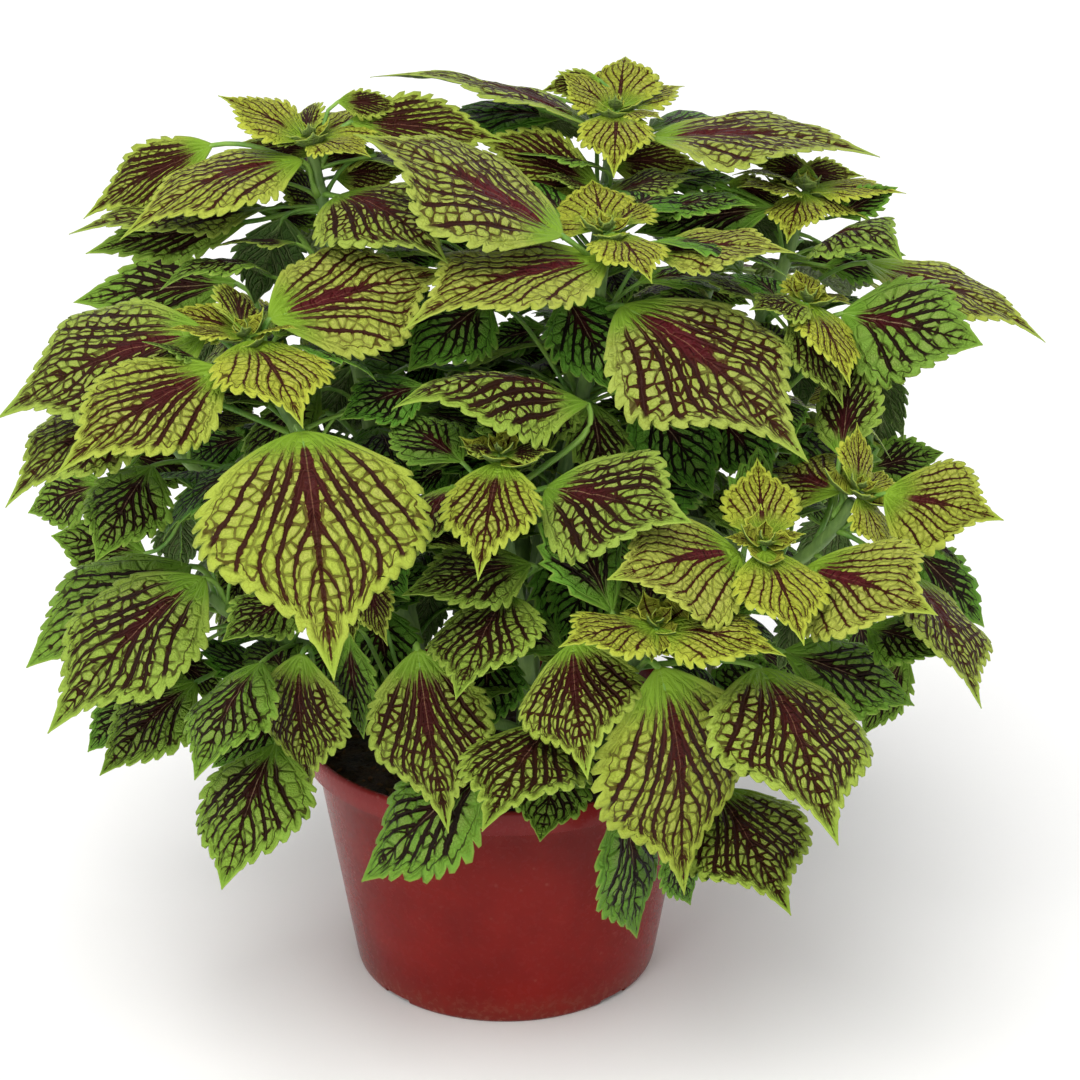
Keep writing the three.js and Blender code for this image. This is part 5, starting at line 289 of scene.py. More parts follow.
# leaves of the inner shoots, in the same form
INNER = [
    ('Y2', 'leaves_a1', (-58.06, 30, 321.53), (-34.67, 36, 317.49), 12.55, 50, 12, 18, 8, 8, 0.25, 0, 0.35, 0.2, (-65.77, 19.34, 299.86), (-0.196, 0.113, 0.974), 3.44, 0),
    ('Y4', 'leaves_c2', (33.61, 40, 289.48), (-13.93, 46, 306.75), 25.47, -50, 12, 18, 8, 8, 0.25, 0, 0.35, 0.2, (37.22, 57.89, 285.02), (0.138, 0.166, 0.976), 3.58, 0),
    ('Y5', 'leaves_a1', (-53.68, 30, 314.5), (2.01, 36, 305.56), 28.36, 50, 12, 18, 8, 8, 0.25, 0, 0.35, 0.2, (-65.77, 19.34, 299.86), (-0.196, 0.113, 0.974), 3.44, 0),
    ('Y6', 'leaves_c1', (12.78, 60, 313.08), (33.49, 66, 297.63), 13.32, -50, 12, 18, 8, 8, 0.25, 0, 0.35, 0.2, (39.21, 60.17, 300.57), (0.112, 0.121, 0.986), 3.46, 0),
    ('Y7', 'leaves_a1', (-66.42, 30, 304.21), (-94.85, 36, 305.45), 14.54, -50, 12, 18, 8, 8, 0.25, 0, 0.35, 0.2, (-65.77, 19.34, 299.86), (-0.196, 0.113, 0.974), 3.44, 0),
    ('Y8', 'leaves_a1', (-103.28, 30, 306.03), (-151.47, 36, 277.88), 28.07, -50, 12, 18, 8, 8, 0.25, 0, 0.35, 0.2, (-65.77, 19.34, 299.86), (-0.196, 0.113, 0.974), 3.44, 0),
    ('Y9', 'leaves_a1', (-45.97, 30, 303.31), (-70.57, 36, 298.82), 12.86, -50, 12, 18, 8, 8, 0.25, 0, 0.35, 0.2, (-65.77, 19.34, 299.86), (-0.196, 0.113, 0.974), 3.44, 0),
    ('Y10', 'leaves_a1', (-59.96, 30, 294.78), (-33.51, 36, 295.43), 19.85, 50, 12, 18, 8, 8, 0.25, 0, 0.35, 0.2, (-64.89, 18.81, 295.49), (-0.196, 0.123, 0.973), 3.47, 0),
    ('Y11', 'leaves_f1', (113.4, 50, 290.15), (89.53, 56, 294.01), 13.4, -50, 12, 18, 8, 8, 0.25, 0, 0.35, 0.2, (106.5, 39.25, 277.16), (0.232, 0.115, 0.966), 3.46, 0),
    ('Y12', 'leaves_f1', (106.08, 50, 291.07), (131.65, 56, 288.93), 13.18, 50, 12, 18, 8, 8, 0.25, 0, 0.35, 0.2, (106.5, 39.25, 277.16), (0.232, 0.115, 0.966), 3.46, 0),
    ('Y13', 'leaves_f1', (80.99, 40, 290.19), (104.78, 46, 279.66), 14.46, 50, 12, 18, 8, 8, 0.25, 0, 0.35, 0.2, (106.5, 39.25, 277.16), (0.232, 0.115, 0.966), 3.46, 0),
    ('Y14', 'leaves_f1', (119.04, 30, 280.41), (141.44, 36, 289.47), 13.38, 50, 12, 18, 8, 8, 0.25, 0, 0.85, 0.2, (106.5, 39.25, 277.16), (0.232, 0.115, 0.966), 3.46, 0),
    ('Y15', 'leaves_f1', (96.32, 30, 283.62), (47.23, 36, 272.67), 25.33, -50, 12, 18, 8, 8, 0.25, 0, 0.85, 0.2, (106.5, 39.25, 277.16), (0.232, 0.115, 0.966), 3.46, 0),
    ('Y16', 'leaves_a1', (-85.91, 30, 281.48), (-62.58, 36, 275.76), 12.71, 50, 12, 18, 8, 8, 0.25, 0, 0.72, 0.2, (-63.17, 17.64, 286.96), (-0.197, 0.143, 0.97), 3.52, 0),
    ('Y18', 'leaves_f1', (85.56, 40, 280.07), (105.92, 46, 262.64), 13.73, -50, 12, 18, 8, 8, 0.25, 0, 0.78, 0.2, (106.5, 39.25, 277.16), (0.232, 0.115, 0.966), 3.46, 0),
    ('Y19', 'leaves_a1', (-78.18, 20, 281.96), (-90.1, 26, 249.02), 28.43, 50, 12, 18, 8, 8, 0.25, 0, 0.93, 0.2, (-63.17, 17.64, 286.96), (-0.197, 0.143, 0.97), 3.52, 0),
    ('Y20', 'leaves_s1', (-34.71, 110, 252.52), (-8.97, 116, 244.55), 13.96, 50, 12, 18, 8, 8, 0.25, 0, 0.9, 0.2, (-11.69, 104.49, 254.64), (-0.046, 0.312, 0.949), 3.5, 0),
    ('Y21', 'leaves_f1', (121.37, 40, 265.67), (147.05, 46, 261.74), 13.78, 50, 12, 18, 8, 8, 0.25, 0, 0.76, 0.2, (105.27, 38.64, 272.32), (0.257, 0.127, 0.958), 3.5, 0),
    ('Y22', 'leaves_a2', (-43.69, 20, 267.93), (-19.71, 26, 265.7), 12.83, 50, 12, 18, 8, 8, 0.25, 0, 0.9, 0.2, (-59.03, 14.17, 266.65), (-0.197, 0.185, 0.963), 3.67, 0),
    ('Y23', 'leaves_f1', (107.9, 50, 259.95), (133.78, 56, 256.07), 13.43, 50, 12, 18, 8, 8, 0.25, 0, 0.75, 0.2, (102.49, 37.27, 262.97), (0.306, 0.15, 0.94), 3.58, 0),
    ('Y24', 'leaves_f1', (115.85, 30, 262.24), (141.24, 36, 257.59), 13.25, 50, 12, 18, 8, 8, 0.25, 0, 0.86, 0.2, (102.49, 37.27, 262.97), (0.306, 0.15, 0.94), 3.58, 0),
    ('Y25', 'leaves_r1', (-101.74, 70, 244.59), (-165.07, 76, 235.34), 32.14, -50, 12, 18, 8, 8, 0.25, 0, 0.75, 0.2, (-84.56, 64.51, 221.4), (-0.296, 0.316, 0.901), 3.44, 0),
    ('Y26', 'leaves_c3', (46.6, 60, 258.49), (33.74, 66, 234.36), 14.75, 0, 12, 18, 8, 8, 0.25, 0, 0.72, 0.2, (33.29, 52.88, 260.69), (0.173, 0.229, 0.958), 3.79, 0),
    ('Y27', 'leaves_t1', (59.56, 110, 239.9), (39.12, 116, 220.65), 16.1, 50, 12, 18, 8, 8, 0.25, 0, 0.92, 0.2, (78.56, 102.54, 231.56), (0.311, 0.322, 0.894), 3.43, 0),
    ('Y28', 'leaves_t1', (71.47, 120, 232.22), (97.6, 126, 220.35), 14.66, 50, 12, 18, 8, 8, 0.25, 0, 0.77, 0.2, (78.56, 102.54, 231.56), (0.311, 0.322, 0.894), 3.43, 0),
    ('Y30', 'leaves_c3', (14.8, 40, 236.02), (-9.38, 46, 226.64), 16.72, -50, 12, 18, 8, 8, 0.25, 0, 0.95, 0.2, (27.91, 45.51, 233.25), (0.196, 0.275, 0.941), 4.04, 0),
    ('Y32', 'leaves_s1', (-26.82, 90, 218.53), (-52.33, 96, 207.11), 14.29, -50, 12, 18, 8, 8, 0.25, 0, 0.79, 0.2, (-7.82, 87.45, 221.47), (-0.15, 0.567, 0.81), 3.78, 0),
    ('Y33', 'leaves_r1', (-104.34, 60, 231.63), (-122.78, 66, 209.25), 14.8, 50, 12, 18, 8, 8, 0.25, 0, 0.94, 0.2, (-84.56, 64.51, 221.4), (-0.296, 0.316, 0.901), 3.44, 0),
    ('Y35', 'leaves_s1', (-2.27, 100, 210.37), (23.49, 106, 200.31), 16.35, 50, 12, 18, 8, 8, 0.25, 0, 0.88, 0.2, (-7.25, 85.33, 218.51), (-0.156, 0.582, 0.798), 3.81, 0),
    ('Y36', 'leaves_r1', (-111.44, 30, 214.61), (-87.85, 36, 207.39), 14.84, 50, 12, 18, 8, 8, 0.25, 0, 0.77, 0.2, (-126.18, 23.65, 202.6), (-0.496, 0.089, 0.864), 3.43, 0),
    ('Y38', 'leaves_t1', (144.92, 80, 196.75), (147.95, 86, 166.6), 15.45, -40, 12, 18, 8, 8, 0.25, 0, 0.88, 0.2, (108.55, 80.53, 182.66), (0.39, 0.4, 0.829), 3.43, 0),
    ('Y39', 'leaves_r1', (-94.56, 50, 191.62), (-124, 56, 177.63), 23.49, -50, 12, 18, 8, 8, 0.25, 0, 0.94, 0.2, (-75.04, 53.08, 198.28), (-0.387, 0.501, 0.774), 3.67, 0),
    ('Y40', 'leaves_t1', (105.27, 60, 187.78), (131.07, 66, 176.69), 15.24, 50, 12, 18, 8, 8, 0.25, 0, 0.93, 0.2, (105.04, 76.86, 176.35), (0.474, 0.504, 0.722), 3.49, 0),
    ('Y41', 'leaves_t1', (139.18, 70, 169.88), (170.64, 76, 174.78), 21.9, 50, 12, 18, 8, 8, 0.25, 0, 0.79, 0.2, (107.43, 79.38, 180.42), (0.42, 0.436, 0.796), 3.45, 0),
    ('Y42', 'leaves_t1', (97.68, 90, 174.14), (123.91, 96, 161.6), 14.84, 50, 12, 18, 8, 8, 0.25, 0, 0.8, 0.2, (106.26, 78.15, 178.32), (0.448, 0.471, 0.76), 3.47, 0),
    ('Y43', 'leaves_r1', (-143.94, 40, 187.58), (-113.45, 46, 173.15), 18.84, 50, 12, 18, 8, 8, 0.25, 0, 0.76, 0.2, (-124.77, 23.41, 200.26), (-0.531, 0.09, 0.843), 3.45, 0),
    ('Y44', 'leaves_z1', (-134.27, 20, 154.51), (-169.89, 26, 159.14), 28.87, -50, 12, 18, 8, 8, 0.25, 0, 0.75, 0.2, (-109.44, 21.24, 183.28), (-0.774, 0.101, 0.625), 3.62, 0),
    ('Y45', 'leaves_r1', (-142.73, -10, 193.18), (-171.16, -4, 179.57), 25.67, -50, 12, 18, 8, 8, 0.25, 0, 0.73, 0.2, (-124.77, 23.41, 200.26), (-0.531, 0.09, 0.843), 3.45, 0),
    ('Y46', 'leaves_t1', (124.82, 70, 169.44), (126.94, 76, 138.72), 15.68, -40, 12, 18, 8, 8, 0.25, 0, 0.79, 0.2, (105.04, 76.86, 176.35), (0.474, 0.504, 0.722), 3.49, 0),
    ('Y47', 'leaves_z1', (-119.99, 20, 172.91), (-121.99, 26, 143.35), 22.11, 50, 12, 18, 8, 8, 0.25, 0, 0.86, 0.2, (-111.34, 21.49, 184.87), (-0.755, 0.099, 0.648), 3.6, 0),
    ('Y49', 'leaves_i1', (140.25, -40, 182.03), (169.76, -34, 147.85), 22.78, 50, 12, 18, 8, 8, 0.25, 0, 0.88, 0.2, (111.83, -55.34, 192.44), (0.484, -0.322, 0.814), 3.52, 0),
    ('Y51', 'leaves_i1', (122.77, -40, 159.17), (128.47, -34, 130.76), 14.8, 50, 12, 18, 8, 8, 0.25, 0, 0.79, 0.2, (99.79, -46.42, 176.68), (0.605, -0.48, 0.635), 3.72, 0),
    ('Y52', 'leaves_j2', (102.28, -40, 157.99), (96.93, -34, 130.35), 14.39, -50, 12, 18, 8, 8, 0.25, 0, 0.91, 0.2, (92.06, -40.13, 169.29), (0.637, -0.528, 0.562), 3.84, 0),
    ('Y54', 'leaves_j2', (87.71, -30, 139.24), (109.6, -24, 122.62), 14.12, 50, 12, 18, 8, 8, 0.25, 0, 0.79, 0.2, (75.69, -26.28, 155.93), (0.65, -0.553, 0.521), 4.06, 0),
    ('Y57', 'leaves_v1', (-116.78, -40, 138.5), (-98.81, -34, 120.4), 16.17, 50, 12, 18, 8, 8, 0.25, 0, 0.73, 0.2, (-90.07, -52.86, 158.42), (-0.663, -0.391, 0.639), 3.44, 0),
    ('Z1', 'leaves_c1', (38.26, 70, 291.91), (75.2, 66, 289.8), 20.47, 50, 12, 18, 8, 8, 0.25, 0, 0.35, 0.2, (38.37, 59.24, 293.62), (0.124, 0.142, 0.982), 3.51, 0),
    ('Z4', 'leaves_u1', (-74.34, -60, 127), (-101.12, -64, 107.4), 20.06, -50, 12, 18, 8, 8, 0.25, 0, 0.85, 0.2, (-62.95, -67.67, 123.84), (-0.363, -0.755, 0.546), 3.05, 0),
    ('Z5', 'leaves_a1', (-64.94, 30, 284.11), (-83.25, 26, 298.78), 16.66, -50, 12, 18, 8, 8, 0.25, 0, 0.6, 0.2, (-62.91, 17.45, 285.68), (-0.197, 0.146, 0.97), 3.53, 0),
    ('Z7', 'leaves_z1', (-26.96, 10, 147.12), (-30.19, 6, 120.61), 18.91, 50, 12, 18, 8, 8, 0.25, 0, 0.9, 0.2, (-42.66, 9.01, 141.55), (-0.371, 0.479, 0.796), 4.34, 0),
    ('Z8', 'leaves_t1', (130.26, 50, 159.78), (113.12, 46, 136.61), 23.28, -40, 12, 18, 8, 8, 0.25, 0, 0.85, 0.2, (99.29, 70.65, 169.31), (0.561, 0.614, 0.555), 3.57, 0),
    ('Z10', 'leaves_a2', (-55.06, 20, 227.48), (-64.95, 16, 202.09), 19.27, 50, 12, 18, 8, 8, 0.25, 0, 0.8, 0.2, (-51.89, 6.62, 231.59), (-0.193, 0.217, 0.957), 3.93, 0),
    ('Z11', 'leaves_c1', (35.03, 70, 321.64), (13, 66, 318), 13.61, -50, 12, 18, 8, 8, 0.25, 0, 0.35, 0.2, (39.21, 60.17, 300.57), (0.112, 0.121, 0.986), 3.46, 0),
    ('Z12', 'leaves_a1', (-91.88, 26, 279.26), (-148.98, 22, 268.58), 23.29, -50, 12, 18, 8, 8, 0.25, 0, 0.7, 0.2, (-62.91, 17.45, 285.68), (-0.197, 0.146, 0.97), 3.53, 0),
    ('Z13', 'leaves_v1', (-126.52, -40, 126.97), (-147.91, -44, 103.78), 19.71, -50, 12, 18, 8, 8, 0.25, 0, 0.85, 0.2, (-89.59, -52.57, 157.96), (-0.666, -0.397, 0.632), 3.45, 0),
    ('Z14', 'leaves_s1', (-22.93, 90, 212.36), (-40.2, 86, 198.08), 19.34, -50, 12, 18, 8, 8, 0.25, 0, 0.95, 0.2, (-7.13, 84.86, 217.86), (-0.157, 0.586, 0.795), 3.81, 0),
    ('Z15', 'leaves_a3', (-18.6, 0, 196.17), (-36.51, -4, 187.69), 14.15, -50, 12, 18, 8, 8, 0.25, 0, 0.95, 0.2, (-43.94, -1.83, 191.14), (-0.185, 0.171, 0.968), 4.23, 0),
    ('Z16', 'leaves_v2', (-59.39, -40, 145.49), (-67.36, -44, 128.03), 15.69, -50, 12, 18, 8, 8, 0.25, 0, 0.9, 0.2, (-65.3, -35.72, 140.23), (-0.711, -0.543, 0.447), 3.75, 0),
    ('Z17', 'leaves_i1', (138.31, -62, 150.59), (124.17, -66, 120.69), 18.32, 50, 12, 18, 8, 8, 0.25, 0, 0.75, 0.2, (105.9, -51.14, 183.76), (0.558, -0.416, 0.718), 3.63, 0),
    ('Z18', 'leaves_f2', (105.1, 30, 229.73), (110.57, 26, 210.3), 17.49, -50, 12, 18, 8, 8, 0.25, 0, 0.95, 0.2, (91.58, 31.93, 235.94), (0.421, 0.206, 0.883), 3.84, 0),
]

# shoot tips: node, stem id
TIPS = [
    ('tip_a', 'A'),
    ('tip_b', 'B'),
    ('tip_c', 'C'),
    ('tip_d', 'D'),
    ('tip_f', 'F'),
    ('tip_g', 'G'),
    ('tip_i', 'I'),
    ('tip_j', 'J'),
    ('tip_l', 'L'),
    ('tip_q', 'Q'),
    ('tip_r', 'K1'),
    ('tip_s', 'K2'),
    ('tip_t', 'K3'),
    ('tip_w', 'K4'),
    ('tip_x', 'K5'),
    ('tip_y', 'K6'),
    ('tip_z', 'K7'),
]


# ------------------------------------------------------------------ helpers
def unit(v):
    v = np.asarray(v, float)
    return v / (np.linalg.norm(v) + 1e-12)


def units(v):
    return v / (np.linalg.norm(v, axis=-1, keepdims=True) + 1e-12)


def turn(v, k, a):
    return v * math.cos(a) + np.cross(k, v) * math.sin(a) + k * (k @ v) * (1 - math.cos(a))


def smooth(x, a, b):
    t = np.clip((np.asarray(x, float) - a) / (b - a), 0, 1)
    return t * t * (3 - 2 * t)


def bez(P, u):
    u = np.asarray(u, float)[..., None]
    return (1 - u) ** 3 * P[0] + 3 * u * (1 - u) ** 2 * P[1] + 3 * u * u * (1 - u) * P[2] + u ** 3 * P[3]


def dbez(P, u):
    u = np.asarray(u, float)[..., None]
    return 3 * (1 - u) ** 2 * (P[1] - P[0]) + 6 * u * (1 - u) * (P[2] - P[1]) + 3 * u * u * (P[3] - P[2])


def lin(r, g, b):
    """an sRGB colour of 0..255 as linear RGBA"""
    out = []
    for c in (r, g, b):
        c /= 255.0
        out.append(c / 12.92 if c <= 0.04045 else ((c + 0.055) / 1.055) ** 2.4)
    return (*out, 1.0)


def make_object(name, verts, faces, mats, face_mat=None, flat=None, attrs=None):
    """a mesh object from millimetre vertices; attrs maps a name to an (n, 3) array"""
    me = bpy.data.meshes.new(name)
    me.from_pydata((np.asarray(verts) * MM).tolist(), [], faces)
    for m in mats:
        me.materials.append(m)
    n = len(me.polygons)
    smooth_flag = np.ones(n, bool)
    if flat is not None:
        smooth_flag[flat] = False
    me.polygons.foreach_set("use_smooth", smooth_flag)
    if face_mat is not None:
        me.polygons.foreach_set("material_index", np.asarray(face_mat, np.int32))
    for key, arr in (attrs or {}).items():
        a = me.attributes.new(key, "FLOAT_VECTOR", "POINT")
        a.data.foreach_set("vector", np.asarray(arr, np.float32).ravel())
    me.update()
    ob = bpy.data.objects.new(name, me)
    bpy.context.scene.collection.objects.link(ob)
    return ob


# ------------------------------------------------------------------ shader helpers
class Graph:
    def __init__(self, name):
        self.mat = bpy.data.materials.new(name)
        self.mat.use_nodes = True
        self.t = self.mat.node_tree
        self.t.nodes.clear()
        self.cols = 0

    def new(self, kind, **kw):
        n = self.t.nodes.new(kind)
        self.cols += 1
        n.location = (self.cols % 40 * 180, -(self.cols // 40) * 260)
        for k, v in kw.items():
            setattr(n, k, v)
        return n

    def put(self, sock, v):
        if isinstance(v, bpy.types.NodeSocket):
            self.t.links.new(v, sock)
        else:
            sock.default_value = v

    def m(self, op, a, b=None, c=None, clamp=False):
        n = self.new("ShaderNodeMath", operation=op, use_clamp=clamp)
        for i, v in enumerate((a, b, c)):
            if v is not None:
                self.put(n.inputs[i], v)
        return n.outputs[0]

    def add(self, a, b): return self.m("ADD", a, b)
    def sub(self, a, b): return self.m("SUBTRACT", a, b)
    def mul(self, a, b): return self.m("MULTIPLY", a, b)
    def div(self, a, b): return self.m("DIVIDE", a, b)
    def mx(self, a, b): return self.m("MAXIMUM", a, b)
    def mn(self, a, b): return self.m("MINIMUM", a, b)
    def abs(self, a): return self.m("ABSOLUTE", a)

    def step(self, x, a, b, lo=0.0, hi=1.0):
        """smooth step from lo at a to hi at b; a and b may be sockets"""
        n = self.new("ShaderNodeMapRange", interpolation_type="SMOOTHSTEP", clamp=True)
        for i, v in enumerate((x, a, b, lo, hi)):
            self.put(n.inputs[i], v)
        return n.outputs[0]

    def mix(self, f, a, b, kind="MIX"):
        n = self.new("ShaderNodeMix", data_type="RGBA", blend_type=kind)
        n.clamp_factor = True
        self.put(n.inputs[0], f)
        self.put(n.inputs[6], a)
        self.put(n.inputs[7], b)
        return n.outputs[2]

    def attr(self, name):
        n = self.new("ShaderNodeAttribute", attribute_type="GEOMETRY", attribute_name=name)
        s = self.new("ShaderNodeSeparateXYZ")
        self.put(s.inputs[0], n.outputs["Vector"])
        return s.outputs[0], s.outputs[1], s.outputs[2]

    def vec(self, x, y, z):
        n = self.new("ShaderNodeCombineXYZ")
        for i, v in enumerate((x, y, z)):
            self.put(n.inputs[i], v)
        return n.outputs[0]

    def coords(self):
        return self.new("ShaderNodeTexCoord").outputs["Object"]

    def noise(self, vec, scale, detail=2.0, rough=0.5, dist=0.0, out="Fac"):
        n = self.new("ShaderNodeTexNoise", noise_dimensions="3D")
        self.put(n.inputs["Vector"], vec)
        n.inputs["Scale"].default_value = scale
        n.inputs["Detail"].default_value = detail
        n.inputs["Roughness"].default_value = rough
        n.inputs["Distortion"].default_value = dist
        return n.outputs[out]

    def voro(self, vec, scale, feature="DISTANCE_TO_EDGE", dims="2D", rand=1.0, out="Distance"):
        n = self.new("ShaderNodeTexVoronoi", voronoi_dimensions=dims, feature=feature)
        self.put(n.inputs["Vector"], vec)
        n.inputs["Scale"].default_value = scale
        n.inputs["Randomness"].default_value = rand
        return n.outputs[out]

    def bump(self, height, strength, dist, normal=None):
        n = self.new("ShaderNodeBump")
        self.put(n.inputs["Strength"], strength)
        n.inputs["Distance"].default_value = dist
        self.put(n.inputs["Height"], height)
        if normal is not None:
            self.put(n.inputs["Normal"], normal)
        return n.outputs[0]

    def surface(self, colour, rough, normal=None, spec=0.5, glow=None, glow_share=0.0, coat=0.0):
        p = self.new("ShaderNodeBsdfPrincipled")
        self.put(p.inputs["Base Color"], colour)
        self.put(p.inputs["Roughness"], rough)
        p.inputs["Specular IOR Level"].default_value = spec
        if coat:
            p.inputs["Coat Weight"].default_value = coat
            p.inputs["Coat Roughness"].default_value = 0.25
        if normal is not None:
            self.put(p.inputs["Normal"], normal)
        out = self.new("ShaderNodeOutputMaterial")
        if glow_share:
            t = self.new("ShaderNodeBsdfTranslucent")
            self.put(t.inputs["Color"], glow)
            if normal is not None:
                self.put(t.inputs["Normal"], normal)
            mx = self.new("ShaderNodeMixShader")
            mx.inputs[0].default_value = glow_share
            self.t.links.new(p.outputs[0], mx.inputs[1])
            self.t.links.new(t.outputs[0], mx.inputs[2])
            self.t.links.new(mx.outputs[0], out.inputs["Surface"])
        else:
            self.t.links.new(p.outputs[0], out.inputs["Surface"])
        return self.mat


# ------------------------------------------------------------------ leaf material
def leaf_material(name):
    G = Graph(name)
    g, q, gw = G.attr("va")
    s, t, y = G.attr("vb")
    age, seed, wine = G.attr("vc")
    dm, side, size = G.attr("vd")
    co = G.coords()
    k = G.m("POWER", G.div(size, 95.0), 0.72)
    inv = G.div(1.0, k)
    # everything below in millimetres of a full-grown leaf
    q1, y1, d1 = G.mul(q, inv), G.abs(G.mul(y, inv)), G.mul(dm, inv)
    gw1 = G.mul(gw, inv)
    n_lo = G.noise(co, 60.0, 2.0)          # slow drift
    n_mid = G.noise(co, 230.0, 2.0)        # wobble of the veins
    n_hi = G.noise(co, 1000.0, 2.0, 0.6)   # ragged vein edges
    n_fine = G.noise(co, 2600.0, 2.0, 0.6)
    wob = G.mul(G.sub(n_mid, 0.5), 0.40)
    rag = G.mul(G.sub(n_hi, 0.5), 1.7)
    gg = G.add(g, G.add(G.mul(wob, 0.55), G.mul(G.sub(n_lo, 0.5), 0.30)))
    grown = G.step(age, 0.08, 0.42)
    old = G.step(age, 0.45, 0.85)

    # cross veins: an uneven net inside each gap between two side veins
    lane = G.m("FLOOR", g)
    # (longer cells and fewer cross veins in an older leaf)
    vv = G.vec(G.add(G.mul(G.add(g, G.mul(wob, 0.9)), G.step(age, 0.48, 0.80, 1.66, 1.30)), G.mul(lane, 3.37)),
               G.add(G.add(G.mul(q1, G.step(age, 0.48, 0.80, 0.208, 0.128)), G.mul(seed, 13.0)), G.mul(lane, 5.71)), 0.0)
    de = G.mul(G.voro(vv, 1.0, rand=0.86), G.step(age, 0.48, 0.80, 5.2, 7.0))

    # side veins: spindles that start as a point, thicken and thin away
    near = G.abs(G.sub(gg, G.m("ROUND", gg)))
    dl = G.mul(near, G.mn(gw1, 14.0))
    r = G.div(q, size)
    rise = G.step(r, 0.08, 0.30)
    fall = G.step(r, 0.42, 0.88, 1.0, 0.24)
    strong = G.mul(G.step(g, 0.3, 1.8, 0.30, 1.0), G.step(g, 4.4, 7.5, 1.0, 0.36))
    strong = G.mul(strong, G.step(n_lo, 0.35, 0.65, 0.75, 1.15))
    bulk = G.mul(G.mul(rise, fall), strong)
    wl = G.add(G.add(0.13, G.mul(grown, 0.08)), G.mul(bulk, G.add(0.36, G.mul(grown, 0.66))))
    wl = G.add(wl, G.mul(rag, G.mul(rise, G.add(0.10, G.mul(bulk, 0.42)))))
    # short spurs where the net meets a side vein
    wl = G.add(wl, G.mul(G.step(de, 0.15, 1.1, 1.0, 0.0), G.mul(rise, 0.36)))
    # wine flush round the midrib
    flush = G.mul(wine, G.mul(G.step(s, 0.05, 0.17), G.step(s, 0.34, 0.62, 1.0, 0.0)))
    flush = G.mul(flush, G.step(y1, 1.0, 9.0, 1.0, 0.0))
    wl = G.add(wl, G.mul(flush, 0.75))
    lat = G.step(G.sub(dl, wl), -0.14, 0.20, 1.0, 0.0)
    # midrib
    wm = G.add(0.24, G.mul(G.step(s, 0.09, 0.27), G.mul(G.add(0.95, G.mul(grown, 0.75)), G.step(s, 0.33, 0.70, 1.0, 0.30))))
    wm = G.add(G.mul(wm, G.step(s, 0.72, 0.97, 1.0, 0.12)), G.add(G.mul(rag, 0.36), G.mul(flush, 1.9)))
    wm = G.add(wm, G.mul(G.step(de, 0.15, 1.1, 1.0, 0.0), G.mul(G.step(s, 0.12, 0.25), 0.30)))
    mid = G.step(G.sub(y1, wm), -0.16, 0.22, 1.0, 0.0)
    off = G.mn(G.sub(dl, wl), G.sub(y1, wm))
    wt = G.add(G.add(0.15, G.mul(grown, 0.30)), G.mul(G.add(0.12, G.mul(grown, 0.30)), G.step(off, 0.0, 2.8, 1.0, 0.0)))
    wt = G.sub(G.add(wt, G.add(G.mul(rag, 0.20), G.mul(flush, 0.55))), G.mul(old, 0.12))
    ter = G.step(G.sub(de, wt), -0.10, 0.14, 1.0, 0.0)
    patch = G.step(G.add(n_lo, G.mul(G.sub(n_mid, 0.5), 1.1)), 0.32, 0.56, G.step(old, 0.0, 1.0, 0.66, 0.34), 1.0)
    ter = G.mul(ter, G.mul(patch, G.mul(G.step(r, 0.12, 0.26), G.step(gw1, 2.2, 4.5, 0.25, 1.0))))
    ter = G.mul(ter, G.sub(1.0, G.mul(G.mul(G.step(age, 0.42, 0.72), 0.66), G.step(off, 0.8, 3.4, 0.0, 1.0))))
    ter = G.mul(ter, G.mx(G.step(age, 0.14, 0.42, 0.48, 1.0), G.step(off, 0.2, 1.6, 0.85, 0.0)))
    # finest net, only just darker than the blade
    df = G.mul(G.voro(G.vec(G.mul(G.mul(y, inv), 0.62), G.mul(G.mul(s, G.mul(size, inv)), 0.62), 0.0), 1.0, rand=1.0), 1.6)
    hair = G.mul(G.mul(G.step(df, 0.05, 0.22, 1.0, 0.0), G.step(n_mid, 0.35, 0.6, 0.1, 0.5)), G.add(0.25, G.mul(grown, 0.75)))
    # loops that join the side veins inside the margin
    loop_at = G.add(3.7, G.mul(1.5, G.m("COSINE", G.mul(gg, 6.2832))))
    loop = G.step(G.abs(G.sub(G.add(d1, G.mul(wob, 3.6)), loop_at)), G.add(G.add(0.10, G.mul(grown, 0.16)), G.mul(rag, 0.16)), G.add(0.42, G.mul(grown, 0.18)), 1.0, 0.0)
    loop = G.mul(loop, G.mul(G.step(s, 0.16, 0.30), G.step(s, 0.84, 0.93, 0.85, 0.0)))
